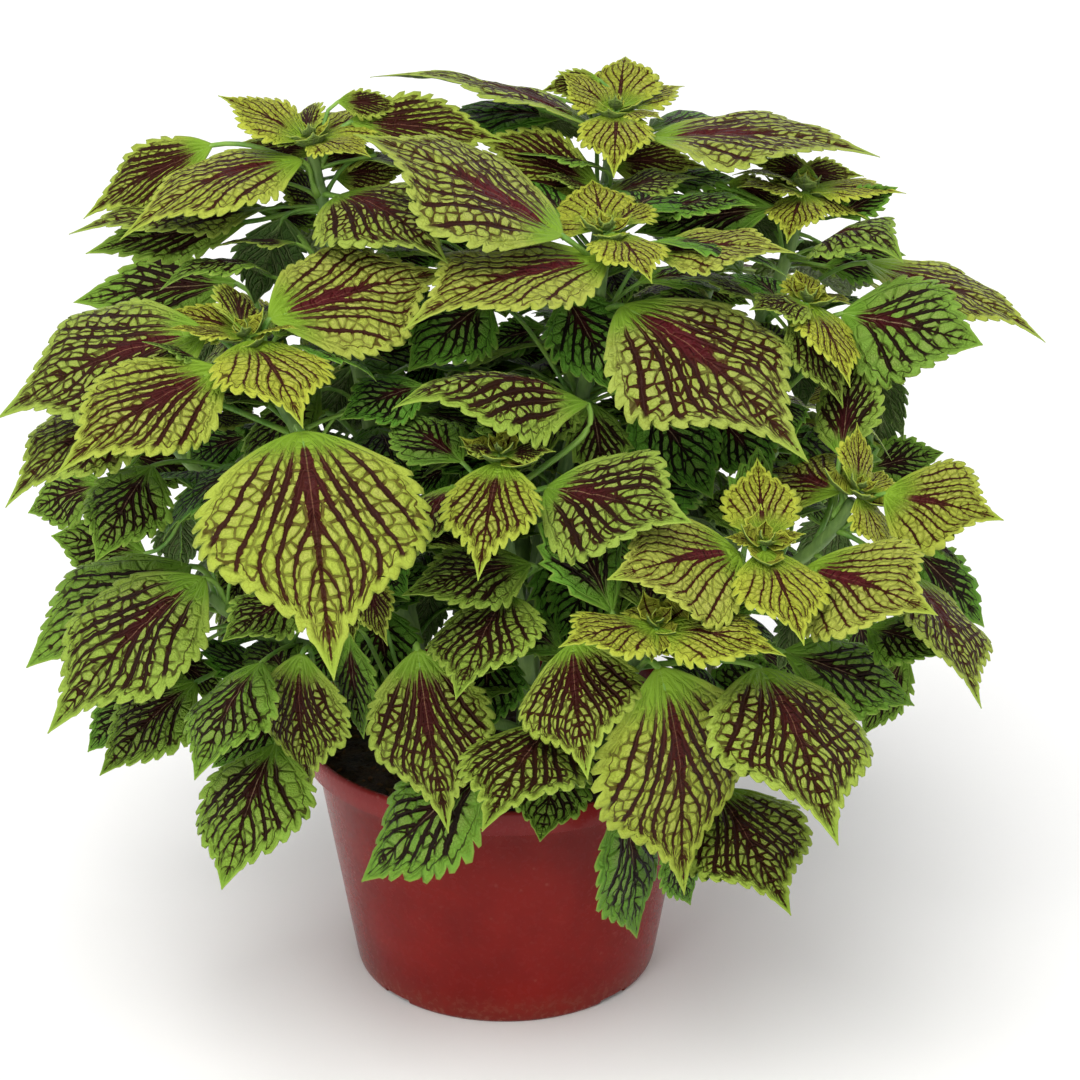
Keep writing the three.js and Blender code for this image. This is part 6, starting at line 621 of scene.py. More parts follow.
    # where the plain margin, the green base and the plain tip stop the pattern
    roof = G.add(G.add(d1, G.mul(wob, 2.6)), G.add(G.step(s, 0.10, 0.36, -3.2, 0.0), G.mul(old, -1.5)))
    edge = G.step(roof, 1.1, 3.2)
    edge_t = G.step(G.sub(roof, G.mul(old, 1.3)), 1.9, 3.9)
    big = G.mul(G.step(size, 34.0, 62.0, 1.0, 0.68), G.step(wine, 0.5, 1.0, 1.0, 0.62))
    base = G.step(G.add(r, G.mul(G.sub(n_hi, 0.5), 0.12)), G.mul(big, G.step(grown, 0.0, 1.0, 0.20, 0.135)), G.mul(big, G.step(grown, 0.0, 1.0, 0.38, 0.29)))
    base_m = G.step(G.add(s, G.mul(G.sub(n_hi, 0.5), 0.04)), G.mul(big, G.step(grown, 0.0, 1.0, 0.16, 0.10)), G.mul(big, G.step(grown, 0.0, 1.0, 0.30, 0.19)))
    tip = G.step(s, 0.86, 0.95, 1.0, 0.0)
    veins = G.mx(G.mul(lat, G.mul(edge, G.mul(base, tip))), G.mul(ter, G.mul(edge_t, G.mul(base, tip))))
    veins = G.mx(veins, G.mul(loop, base))
    veins = G.mx(veins, G.mul(mid, G.mul(base_m, G.step(s, 0.93, 0.97, 1.0, 0.0))))

    # vein colour: red-brown rim, purple core, magenta where flushed
    core = G.mx(G.step(G.sub(wl, dl), 0.05, 0.80), G.step(G.sub(wm, y1), 0.1, 1.2))
    rim_c = G.mix(age, lin(72, 18, 6), lin(14, 9, 4))
    core_c = G.mix(age, lin(60, 5, 15), lin(13, 2, 8))
    vc = G.mix(core, rim_c, core_c)
    vc = G.mix(G.mul(flush, G.step(n_hi, 0.3, 0.6, 0.75, 1.0)), vc, lin(92, 6, 32))
    # pale thread along the first part of the midrib and of the strong side veins
    thread = G.mx(
        G.mul(G.step(y1, G.step(old, 0.0, 1.0, 0.12, 0.20), G.step(old, 0.0, 1.0, 0.27, 0.44), 1.0, 0.0), G.mul(G.step(s, 0.36, 0.60, 1.0, 0.0), 0.80)),
        G.mul(G.step(dl, 0.06, 0.18, 1.0, 0.0), G.mul(G.step(r, 0.18, 0.32, 1.0, 0.0), 0.5)))
    thread = G.mul(thread, G.step(age, 0.15, 0.5, 0.35, 0.8))

    # blade colour between the veins
    young, mid_c, old_c = lin(188, 196, 66), lin(158, 182, 72), lin(92, 150, 46)
    leafc = G.mix(G.step(age, 0.05, 0.50), young, mid_c)
    leafc = G.mix(G.step(age, 0.45, 0.98), leafc, old_c)
    # paler, warmer centres of the puffed cells between the veins: a painted highlight (sheen)
    cell_sheen_c = G.mix(age, lin(202, 190, 108), lin(136, 158, 88))
    inner = G.mul(G.step(de, 0.4, 1.5), G.mul(G.step(n_lo, 0.36, 0.60), G.step(d1, 4.0, 9.0)))
    leafc = G.mix(G.mul(inner, 0.42), leafc, cell_sheen_c)
    leafc = G.mix(G.mul(G.step(wine, 0.3, 0.9), 0.35), leafc, lin(172, 178, 96))
    leafc = G.mix(G.step(n_mid, 0.42, 0.75, 0.0, 0.32), leafc, G.mix(age, lin(164, 182, 44), lin(92, 136, 42)))
    leafc = G.mix(hair, leafc, G.mix(age, lin(150, 142, 40), lin(84, 112, 34)))
    fresh = G.mx(G.step(G.add(r, G.mul(G.sub(n_hi, 0.5), 0.10)), 0.10, G.step(grown, 0.0, 1.0, 0.42, 0.24), 1.0, 0.0), G.step(s, 0.82, 0.96, 0.0, 0.5))
    leafc = G.mix(fresh, leafc, G.mix(age, lin(138, 172, 44), lin(104, 150, 48)))
    leafc = G.mix(G.mul(G.step(d1, 0.0, 1.0, 1.0, 0.0), 0.35), leafc, lin(176, 192, 88))
    top = G.mix(G.mul(veins, 0.98), leafc, vc)
    top = G.mix(thread, top, G.mix(G.step(s, 0.05, 0.3), lin(150, 178, 84), G.mix(old, lin(160, 112, 84), lin(176, 152, 112))))
    # underside: duller, veins pale and raised
    under = G.mix(age, lin(134, 160, 80), lin(94, 126, 66))
    under = G.mix(G.mul(G.mul(veins, 0.55), G.step(n_mid, 0.3, 0.7, 0.5, 1.0)), under, lin(88, 80, 66))
    under = G.mix(G.mul(G.mx(G.step(dl, 0.25, 0.7, 1.0, 0.0), G.step(y1, 0.7, 1.2, 1.0, 0.0)), 0.55), under, lin(140, 160, 98))
    colour = G.mix(G.step(side, 0.45, 0.55), under, top)

    # relief: blade puffed between sunken veins, fine grain
    sunk = G.mx(G.step(dl, 0.0, 1.5, 1.0, 0.0), G.mul(G.step(de, 0.0, 1.4, 1.0, 0.0), 0.8))
    sunk = G.mx(sunk, G.mul(G.step(df, 0.0, 0.5, 1.0, 0.0), 0.18))
    sunk = G.mul(G.mul(sunk, G.step(d1, 0.6, 3.0)), G.step(r, 0.03, 0.2, 0.2, 1.0))
    height = G.add(G.mul(sunk, -1.0), G.add(G.mul(n_fine, 0.12), G.mul(n_hi, 0.14)))
    normal = G.bump(height, 0.85, 0.0015)
    rough = G.step(n_hi, 0.3, 0.75, 0.44, 0.58)
    glow = G.mix(G.mul(veins, 0.95), G.mix(age, lin(176, 184, 50), lin(104, 150, 46)), lin(40, 6, 10))
    return G.surface(colour, rough, normal, 0.12, glow, 0.16)


def stem_material(name, dark, light):
    G = Graph(name)
    co = G.coords()
    n1 = G.noise(co, 90.0, 3.0)
    sp = G.new("ShaderNodeMapping")
    G.put(sp.inputs["Vector"], co)
    sp.inputs["Scale"].default_value = (1.0, 1.0, 0.12)
    streak = G.noise(sp.outputs[0], 900.0, 3.0, 0.6)
    c = G.mix(G.step(n1, 0.3, 0.7), dark, light)
    c = G.mix(G.step(streak, 0.45, 0.8, 0.0, 0.5), c, lin(150, 178, 96))
    h = G.add(G.mul(streak, 0.6), G.mul(G.noise(co, 2500.0, 2.0), 0.3))
    return G.surface(c, G.step(n1, 0.2, 0.8, 0.42, 0.58), G.bump(h, 0.5, 0.0004), 0.4, light, 0.08)


MAT_LEAF = leaf_material("leaf_veined")
MAT_STALK = stem_material("leaf_stalk", lin(92, 142, 52), lin(136, 176, 66))
MAT_STEM = stem_material("stem_green", lin(84, 118, 58), lin(122, 154, 78))


# ------------------------------------------------------------------ leaves
def half_width(s, old=0.0):
    """half the width of a blade as a share; an old blade is more oval and blunter"""
    s = np.clip(s, 0, 1)
    f = np.sin(np.pi * s ** 0.76) * (1 - 0.2 * s ** 8)
    f = f * (1 - 0.10 * (1 - smooth(s, 0.0, 0.30)) * smooth(s, 0.0, 0.06))
    f = 0.975 * f * (1 - 0.55 * smooth(s, 0.56, 0.90)) * (1 + 0.03 * np.exp(-((s - 0.52) / 0.12) ** 2))
    o = np.sin(np.pi * s ** 0.84) * (1 - 0.30 * smooth(s, 0.62, 0.93)) * (1 - 0.12 * (1 - smooth(s, 0.0, 0.25)) * smooth(s, 0.0, 0.06))
    return f * (1 - old) + 0.97 * o * old


class Blade:
    """the mid surface of a blade: P(s, y) with s along the rib (0..1) and y across it in millimetres"""

    def __init__(self, B, T, W, roll, a0, a1, fl, fr, curl, twist):
        self.B, self.T, self.W = np.array(B, float), np.array(T, float), W
        d = self.T - self.B
        self.D = D = np.linalg.norm(d)
        e1 = d / D
        o = unit([(self.B + self.T)[0], (self.B + self.T)[1], 0.0])
        k = min(max((abs(e1[2]) - 0.55) / 0.35, 0), 1)
        k = k * k * (3 - 2 * k)
        ref = np.array([0, 0, 1.0]) + 1.2 * k * o
        n = unit(ref - (ref @ e1) * e1)
        n = turn(n, e1, math.radians(roll))
        self.e1, self.n = e1, n
        a0, a1 = math.radians(a0), math.radians(a1)
        d0 = e1 * math.cos(a0) + n * math.sin(a0)
        d1 = e1 * math.cos(a1) - n * math.sin(a1)
        h = D / 3 * (1 + 0.125 * (abs(a0) + abs(a1)) ** 2)
        self.d0 = d0
        self.P = [self.B, self.B + d0 * h, self.T - d1 * h, self.T]
        self.L = D * (1 + (abs(a0) + abs(a1)) ** 2 / 24)
        self.fold = (math.radians(fl), math.radians(fr))
        self.curl, self.twist = curl, math.radians(twist)

    def axes(self, s):
        M, dM = bez(self.P, s), dbez(self.P, s)
        tau = units(dM)
        N = self.n - (tau @ self.n)[..., None] * tau
        N = units(N)
        S = np.cross(N, tau)
        tw = (self.twist * (np.asarray(s) - 0.3))[..., None]
        return M, tau, N * np.cos(tw) + S * np.sin(tw), S * np.cos(tw) - N * np.sin(tw)

    def at(self, s, y, lift=0.0):
        M, tau, N, S = self.axes(s)
        a = np.abs(y)
        fa = np.where(y < 0, self.fold[0], self.fold[1])
        # the fold opens softly over the rib instead of as a crease
        soft = a * a / (a + 1.2)
        nor = soft * np.sin(fa) - self.curl * a * a / (self.W / 2 + 1e-9) + lift
        return M + S * (np.sign(y) * a * np.cos(fa))[..., None] + N * nor[..., None], N


TAU = np.array([1.0, 0.97, 0.84, 0.65, 0.45, 0.26, 0.10, 0.0, 0.0, 0.0, 0.0])
X0 = np.array([0.0, 0.0, 0.0, 0.0, 0.0, 0.02, 0.20, 0.44, 0.64, 0.82, 1.0])
XM = np.array([0.0, 0.14, 0.34, 0.52, 0.66, 0.77, 0.86, 0.92, 0.955, 0.98, 1.0])
PW = np.array([5.0, 5.0, 4.8, 4.4, 3.8, 3.0, 2.1, 1.4, 1.1, 1.0, 1.0])
GV = np.arange(-1.0, 9.01, 0.05)


def ease(a):
    """the table a at GV on a curve without kinks"""
    x = np.arange(-1, 10)
    d = np.gradient(a, x)
    i = np.clip(np.searchsorted(x, GV, side="right") - 1, 0, len(x) - 2)
    u = GV - x[i]
    return ((1 + 2 * u) * (1 - u) ** 2 * a[i] + u * (1 - u) ** 2 * d[i] + u * u * (3 - 2 * u) * a[i + 1] + u * u * (u - 1) * d[i + 1])


# an old leaf sends its side veins off the midrib one by one
TAU_O = np.array([1.0, 0.98, 0.78, 0.34, 0.0, 0.0, 0.0, 0.0, 0.0, 0.0, 0.0])
X0_O = np.array([0.0, 0.0, 0.0, 0.0, 0.06, 0.18, 0.31, 0.45, 0.59, 0.76, 1.0])
XM_O = np.array([0.0, 0.16, 0.34, 0.50, 0.63, 0.74, 0.835, 0.905, 0.95, 0.98, 1.0])
PW_O = np.array([5.0, 4.0, 3.0, 2.2, 1.7, 1.5, 1.4, 1.3, 1.2, 1.0, 1.0])
FAM = [ease(TAU).clip(0, 1), ease(X0).clip(0, 1), ease(XM).clip(0, 1), ease(PW)]
FAM_O = [ease(TAU_O).clip(0, 1), ease(X0_O).clip(0, 1), ease(XM_O).clip(0, 1), ease(PW_O)]


def vein_field(s, t, jit, old=0.0):
    """the side-vein coordinate: whole numbers lie on the side veins; s is (n,), t is (n, m) of 0..1"""
    tau, x0, xm, pw = (a * (1 - old) + b * old for a, b in zip(FAM, FAM_O))
    out = np.zeros_like(t)
    for i, si in enumerate(s):
        si = min(max(si + jit * math.sin(si * 9.0 + jit * 50), 0.0), 0.9999)
        ok = (x0 <= si) & (xm >= si)
        gv = GV[ok]
        if len(gv) == 0:
            out[i] = 9.0
            continue
        f = np.clip((si - x0[ok]) / np.maximum(xm[ok] - x0[ok], 1e-6), 0, 1)
        tv = tau[ok] + (1 - tau[ok]) * f ** pw[ok]
        tv = np.minimum.accumulate(tv)
        out[i] = np.interp(t[i], tv[::-1], gv[::-1])
    return out


# leaves whose side veins run down from the base like a fan
FANNED = ("E1",)


def leaf_data(row, coarse=0):
    """vertices, faces, face materials, flat faces and attributes of one leaf with its stalk; coarse 1 and 2 use fewer faces"""
    name, node, B, T, W, roll, a0, a1, fl, fr, curl, twist, age, wine, A, At, Ar, small = row
    if small:
        # the blades of a shoot tip start close to its heart
        B = np.array(A, float) + (np.array(B, float) - np.array(A, float)) * 0.52
    seed = sum(ord(c) * (i + 3) for i, c in enumerate(name)) % 997 / 997.0
    rnd = random.Random(name)
    bl = Blade(B, T, W, roll, a0, a1, fl, fr, curl, twist)
    L = bl.L
    k = (L / 95.0) ** 0.72
    old = float(smooth(age, 0.45, 0.85))
    # outline of the flat blade and its teeth
    ss = np.linspace(0, 1, 401)
    ox, oy = ss * L, half_width(ss, old) * W / 2
    arc = np.concatenate([[0], np.cumsum(np.hypot(np.diff(ox), np.diff(oy)))])
    sA, sB = 0.15, 0.885
    a_lo, a_hi = np.interp(sA, ss, arc), np.interp(sB, ss, arc)
    tooth = 6.7 * k ** 0.85 * (1 + 0.22 * old) * (1.25 if coarse == 2 else 1.0)
    nt = max(4, int(round((a_hi - a_lo) / tooth)))
    phases = (0.0, 0.55) if coarse == 2 else (0.0, 0.32, 0.72) if coarse else (0.0, 0.16, 0.46, 0.80) if L > 46 else (0.0, 0.2, 0.5, 0.8)
    rows, ph = [], []
    nb = 3 if coarse == 2 else max(4, int(round(a_lo / (2.8 if L > 46 else 2.4))))
    for i in range(nb):
        rows.append(sA * (i / nb) ** 1.15)
        ph.append(-1.0)
    marks = np.array([i + (rnd.uniform(-0.16, 0.16) if 0 < i < nt else 0) for i in range(nt + 1)])
    for i in range(nt):
        for p in phases:
            at = marks[i] + p * (marks[i + 1] - marks[i])
            rows.append(float(np.interp(a_lo + at / nt * (a_hi - a_lo), arc, ss)))
            ph.append(i + p)
    ne = 3 if coarse == 2 else 6 if L > 46 else 4
    for i in range(ne + 1):
        rows.append(sB + (1 - sB) * i / ne)
        ph.append(float(nt) if i == 0 else -1.0)
    s = np.array(rows)
    s, keep = np.unique(np.round(s, 5), return_index=True)
    ph = np.array(ph)[keep]
    if coarse == 2:
        half = np.array([0.13, 0.45, 0.78, 1.0])
    elif coarse:
        half = np.array([0.09, 0.30, 0.55, 0.79, 1.0])
    elif L > 72:
        half = np.array([0.04, 0.12, 0.23, 0.36, 0.49, 0.62, 0.75, 0.87, 0.95, 1.0])
    elif L > 46:
        half = np.array([0.045, 0.14, 0.27, 0.42, 0.57, 0.72, 0.85, 0.94, 1.0])
    else:
        half = np.array([0.07, 0.22, 0.42, 0.63, 0.83, 1.0])
    t = np.concatenate([-half[::-1], [0], half])
    n, m = len(s), len(t)
    w = np.maximum(half_width(s, old) * W / 2, 0.0)
    w = np.where(s < 0.5, np.maximum(w, pet_radius(L, small) * 0.9), np.maximum(w, 0.16))
    Ss, Tt = np.meshgrid(s, t, indexing="ij")
    X = Ss * L
    Y = Tt * w[:, None]
    # teeth: rounded lobes that point forward, cut by narrow notches
    depth = 3.1 * k ** 0.72 * (0.85 + 0.2 * rnd.random()) * (1 + 0.28 * old + (0.35 if small else 0.0))
    out = np.zeros((n, 2))
    fwd = np.zeros((n, 2))
    nx = np.gradient(w, s * L)
    nrm = np.stack([-nx, np.ones(n)], 1)
    nrm = units(nrm)
    for sd in (0, 1):
        amp = np.array([rnd.uniform(0.62, 1.25) for _ in range(nt + 1)])
        for i in range(n):
            if ph[i] >= 0:
                j = int(ph[i] + 1e-6)
                f = ph[i] - j
                env = smooth(ph[i], -0.2, 1.6) * smooth(nt - ph[i], -0.2, 1.5)
                lobe = math.sin(math.pi * min(max(f, 0), 1) ** 1.15) ** 0.55 if 0 < f < 1 else 0.0
                out[i, sd] = depth * amp[min(j, nt)] * (lobe - 0.62) * env
                fwd[i, sd] = depth * (0.62 + 0.25 * amp[min(j, nt)]) * lobe * env
    feather = np.clip((np.abs(Tt) - 0.74) / 0.26, 0, 1) ** 1.3
    sd_idx = (Tt > 0).astype(int)
    o = np.take_along_axis(out, sd_idx, 1) * feather
    fw = np.take_along_axis(fwd, sd_idx, 1) * feather
    sgn = np.sign(Tt)
    X = X + nrm[:, :1] * o + nrm[:, 1:] * fw
    Y = Y + sgn * (nrm[:, 1:] * o - nrm[:, :1] * fw)
    # distance to the margin in the flat
    edge = np.concatenate([np.stack([X[:, 0], Y[:, 0]], 1), np.stack([X[:, -1], Y[:, -1]], 1)[::-1]])
    fine = []
    for a, b in zip(edge[:-1], edge[1:]):
        c = max(1, int(np.linalg.norm(b - a) / 1.2))
        fine += [a + (b - a) * i / c for i in range(c)]
    fine = np.array(fine)
    flat_pts = np.stack([X.ravel(), Y.ravel()], 1)
    dm = np.sqrt(((flat_pts[:, None, :] - fine[None]) ** 2).sum(-1).min(1)).reshape(n, m)
    dm[:, 0] = dm[:, -1] = 0
    # side-vein field and its local spacing
    jit = (seed - 0.5) * 0.02
    g = vein_field(s, np.abs(Tt), jit, 0.0 if name in FANNED else 0.40 + 0.60 * old)
    if small:
        g = g * 0.84 + 0.2
    else:
        g = g * (1 - 0.24 * old)
    q = np.hypot(X, 0.85 * Y)
    dXi, dXj = np.gradient(X, axis=0), np.gradient(X, axis=1)
    dYi, dYj = np.gradient(Y, axis=0), np.gradient(Y, axis=1)
    gi, gj = np.gradient(g, axis=0), np.gradient(g, axis=1)
    det = dXi * dYj - dXj * dYi
    det = np.where(np.abs(det) < 1e-6, 1e-6, det)
    gx = (gi * dYj - gj * dYi) / det
    gy = (gj * dXi - gi * dXj) / det
    gw = 1.0 / np.maximum(np.hypot(gx, gy), 0.02)
    gw = np.clip(gw, 0.3, 40)
    for _ in range(1):
        gw[1:-1] = (gw[:-2] + 2 * gw[1:-1] + gw[2:]) / 4
    # relief in the geometry: sunken veins, puffed blade, wavy margin
    dl = np.abs(g - np.round(g)) * gw
    yy = np.abs(Y)
    r = q / L
    relief = -0.75 * k * np.exp(-(dl / (1.7 * k)) ** 2) * smooth(r, 0.04, 0.2) * smooth(dm, 0.5, 4 * k) * (1 - 0.5 * smooth(g, 4.5, 7))
    relief -= 1.0 * k * np.exp(-(yy / (1.5 * k)) ** 2) * (1 - smooth(Ss, 0.7, 1.0)) * smooth(Ss, 0.0, 0.08)
    relief += 0.30 * k
    u = yy / (W / 2)
    p1, p2, p3 = (rnd.uniform(0, 6.28) for _ in range(3))
    am = np.interp(Ss, ss, arc)
    wave = np.where(Tt < 0, np.sin(am / (23 * k) * 2 * np.pi / 2 + p1), np.sin(am / (21 * k) * 2 * np.pi / 2 + p2))
    relief += 2.0 * k * u ** 2.0 * wave * smooth(Ss, 0.05, 0.25) * (1 - smooth(Ss, 0.85, 1.0))
    relief += 0.9 * k * u * np.sin(am / (9.5 * k) + p3 + 2.0 * (Tt < 0)) * smooth(Ss, 0.1, 0.25) * (1 - smooth(Ss, 0.8, 1.0))
    relief += 0.35 * k * np.sin(q / (2.7 * k) + 2.4 * np.floor(g + 0.001) + p3) * smooth(dl, 0.5 * k, 2.4 * k) * smooth(dm, 1, 5 * k)
    relief -= 0.35 * k * feather * (1 - smooth(Ss, 0.9, 1.0))
    sx = X / L
    P, N = bl.at(sx.ravel(), Y.ravel(), relief.ravel())
    P = P.reshape(n, m, 3)
    # normals of the finished mid surface
    di = np.gradient(P, axis=0)
    dj = np.gradient(P, axis=1)
    nn = units(np.cross(di, dj))
    flip = (nn * N.reshape(n, m, 3)).sum(-1) < 0
    nn[flip] *= -1
    thick = (0.34 + 0.22 * k) * (0.45 + 0.55 * smooth(dm, 0.0, 2.5))
    top = P + nn * (thick / 2)[..., None]
    ridge = 0.95 * k * np.exp(-(yy / (0.9 * k)) ** 2) * (1 - smooth(Ss, 0.35, 0.95))
    ridge += 0.40 * k * np.exp(-(dl / (0.9 * k)) ** 2) * smooth(r, 0.05, 0.15) * (1 - smooth(r, 0.4, 0.8)) * smooth(dm, 1, 4)
    bot = P - nn * (thick / 2 + ridge)[..., None]
    verts = np.concatenate([top.reshape(-1, 3), bot.reshape(-1, 3)])
    nm = n * m
    I, J = np.meshgrid(np.arange(n - 1), np.arange(m - 1), indexing="ij")
    a = (I * m + J).ravel()
    b, c, d = a + 1, a + m + 1, a + m
    up = np.stack([a, d, c, b], 1)
    if np.einsum("i,i->", np.cross(top[n // 2 + 1, m // 2] - top[n // 2, m // 2], top[n // 2, m // 2 + 1] - top[n // 2, m // 2]), nn[n // 2, m // 2]) < 0:
        up = up[:, ::-1]
    down = up[:, ::-1] + nm
    # strip round the margin
    ring = [i * m for i in range(n)] + [(n - 1) * m + j for j in range(1, m)] + [i * m + m - 1 for i in range(n - 2, -1, -1)] + [j for j in range(m - 2, 0, -1)]
    ring = np.array(ring)
    nxt = np.roll(ring, -1)
    strip = np.stack([ring, nxt, nxt + nm, ring + nm], 1)
    # orient the strip by its first quad against the upper face beside it
    pair = {(int(x[i]), int(x[(i + 1) % 4])) for x in up for i in range(4)}
    if (int(strip[0][0]), int(strip[0][1])) in pair:
        strip = strip[:, ::-1]
    faces = np.concatenate([up, down, strip])
    nf = len(faces)
    flat = np.arange(2 * len(up), nf)
    va = np.stack([g.ravel(), q.ravel(), gw.ravel()], 1)
    vb = np.stack([(X / L).ravel(), Tt.ravel(), Y.ravel()], 1)
    vd = np.stack([dm.ravel(), np.ones(nm), np.full(nm, L)], 1)
    vd2 = vd.copy()
    vd2[:, 1] = 0
    va, vb = np.concatenate([va, va]), np.concatenate([vb, vb])
    vd = np.concatenate([vd, vd2])
    faces = faces.tolist()
    # stalk
    sv, sf = stalk(bl, A, At, Ar, small, L, *((6, 4.5) if coarse else (8, 2.6)))
    k0 = len(verts)
    verts = np.concatenate([verts, sv])
    faces += [[i + k0 for i in f] for f in sf]
    pad = np.zeros((len(sv), 3))
    va, vb, vd = (np.concatenate([x, pad]) for x in (va, vb, vd))
    vc = np.tile([age, seed, wine], (len(verts), 1))
    fm = np.zeros(len(faces), int)
    fm[nf:] = 1
    return verts, faces, fm, flat, {"va": va, "vb": vb, "vc": vc, "vd": vd}


def leaf_piece(row):
    name, node, small = row[0], row[1], row[17]
    verts, faces, fm, flat, attrs = leaf_data(row)
    ob = make_object("leaf_" + name, verts, faces, [MAT_LEAF, MAT_STALK], fm, flat, attrs)
    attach(ob, "root")
    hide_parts(node)
    return ob


def pet_radius(L, small):
    return 0.85 if small else 0.55 + 0.0085 * L


def stalk(bl, A, At, Ar, small, L, sides=8, pitch=2.6):
    """the leaf stalk from the stem's surface to under the midrib, grooved on top"""
    A, t = np.array(A, float), np.array(At, float)
    v = bl.B - A
    h = v - (v @ t) * t
    if np.linalg.norm(h) < 1e-6:
        h = bl.e1 - (bl.e1 @ t) * t
    h = unit(h)
    A2 = A + h * (Ar - (0.0 if small else 1.9))
    v = bl.B - A2
    D = np.linalg.norm(v)
    dv = v / D
    el = math.atan2(v @ t, abs(v @ h) + 1e-9) + math.radians(20)
    el = min(max(el, math.radians(-30)), math.radians(48))
    dA = unit(h * math.cos(el) + t * math.sin(el) + dv * 0.6)
    dB = unit(bl.d0 + dv * 0.5)
    C = [A2, A2 + dA * D * 0.36, bl.B - dB * D * 0.36, bl.B]
    r = pet_radius(L, small)
    n = max(4, int(D / pitch))
    rings = []
    _, _, N0, S0 = bl.axes(np.array([0.03]))
    N0 = N0[0]
    for i in range(n + 1):
        f = i / n
        c, tau = bez(C, f), unit(dbez(C, f))
        nz = t * (1 - f) + N0 * f
        nz = nz - (nz @ tau) * tau
        if np.linalg.norm(nz) < 0.15:
            nz = N0 - (N0 @ tau) * tau
        nz = unit(nz)
        sdv = np.cross(nz, tau)
        rr = r * (1.0 + 0.55 * math.exp(-f * D / 2.2) * (0 if small else 1))
        rings.append((c, sdv, nz, rr, 1.0))
    # runs on under the rib and thins away
    for s in (0.035, 0.08, 0.14):
        c, tau, Nn, Sd = (x[0] for x in bl.axes(np.array([s])))
        fade = 1 - s / 0.16
        rings.append((c - Nn * r * (0.55 + 0.2 * (1 - fade)), Sd, Nn, r * (0.25 + 0.75 * fade), 1.0))
    V, F = [], []
    for c, sd, nz, rr, _ in rings:
        for j in range(sides):
            a = 2 * math.pi * j / sides
            gx, gz = math.cos(a), math.sin(a)
            groove = 0.30 * max(0.0, gz) ** 3
            V.append(c + sd * gx * rr + nz * (gz * 0.9 - groove) * rr)
    for i in range(len(rings) - 1):
        for j in range(sides):
            a, b = i * sides + j, i * sides + (j + 1) % sides
            F.append([a, b, b + sides, a + sides])
    F.append(list(range(sides))[::-1])
    F.append([(len(rings) - 1) * sides + j for j in range(sides)])
    # outward faces
    c0, sd0, nz0 = rings[0][0], rings[0][1], rings[0][2]
    va, vb_, vc_ = V[F[0][0]], V[F[0][1]], V[F[0][2]]
    if np.cross(vb_ - va, vc_ - va) @ (va - c0) < 0:
        F = [f[::-1] for f in F]
    return np.array(V), F


for row in LEAVES:
    leaf_piece(row)


def join(name, parts, node):
    """one piece from several leaves"""
    if not parts:
        return
    V, F, M, FL = [], [], [], []
    AT = {k: [] for k in ("va", "vb", "vc", "vd")}
    nv = nf = 0
    for verts, faces, fm, flat, attrs in parts:
        V.append(verts)
        F += [[i + nv for i in f] for f in faces]
        M.append(fm)
        FL.append(np.asarray(flat) + nf)
        for k in AT:
            AT[k].append(attrs[k])
        nv += len(verts)
        nf += len(faces)
    ob = make_object(name, np.concatenate(V), F, [MAT_LEAF, MAT_STALK], np.concatenate(M),
                     np.concatenate(FL), {k: np.concatenate(v) for k, v in AT.items()})
    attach(ob, "root")
    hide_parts(node)


def side_shoots():
    """short leaves from the leaf axils, which fill the inside of the plant"""
    rings = {}
    for row in LEAVES:
        if row[1].startswith("leaves_"):
            rings.setdefault(row[1], []).append(row)
    lo, hi = np.array(cad_box[0]) * 1000, np.array(cad_box[1]) * 1000
    for node, rows in rings.items():
        rnd = random.Random(node)
        A, t = np.array(rows[0][14], float), unit(rows[0][15])
        reach = rows[0][16]
        a = unit(np.cross([0.1, 1.0, 0.05], t))
        b = np.cross(t, a)
        taken = []
        for r in rows:
            v = np.array(r[2], float) - A
            taken.append(math.atan2(v @ b, v @ a))
        mean = sum(np.linalg.norm(np.array(r[3]) - np.array(r[2])) for r in rows) / len(rows)
        parts = []
        for i in range(SHOOTS.get(node, 4)):
            best = max((min(abs((x - y + math.pi) % (2 * math.pi) - math.pi) for y in taken), x)
                       for x in np.linspace(-math.pi, math.pi, 48, endpoint=False))[1]
            taken.append(best)
            az = best + rnd.uniform(-0.15, 0.15)
            h = a * math.cos(az) + b * math.sin(az)
            if -h[1] > 0.25 and (A[2] > 235 or A[1] < -50 or A[2] < 150 or node in FRONT_BARE):
                continue
            ln = min(max(mean * rnd.uniform(0.52, 0.78), 20), 52)
            B = A + h * (5 + 0.26 * ln) + t * (0.16 * ln + rnd.uniform(0, 5))
            e = math.radians(rnd.uniform(-34, 6))
            T = B + (h * math.cos(e) + np.array([0, 0, 1.0]) * math.sin(e)) * ln
            if T[2] < 96 and math.hypot(T[0], T[1]) < 84:
                T[2] = 96 + rnd.uniform(0, 6)
            if (T < lo + 1).any() or (T > hi - 1).any() or (T[2] < 118 and T[1] < 30):
                continue
            parts.append(leaf_data(("%s_%d" % (node, i), node, B, T, ln * rnd.uniform(0.62, 0.72), rnd.uniform(-14, 14),
                                    rnd.uniform(12, 26), rnd.uniform(14, 34), 9, 9, 0.25, rnd.uniform(-6, 6),
                                    rnd.uniform(0.62, 0.95), 0.15, A, t, reach, 0), 2))
        join("shoots_" + node[7:], parts, node)


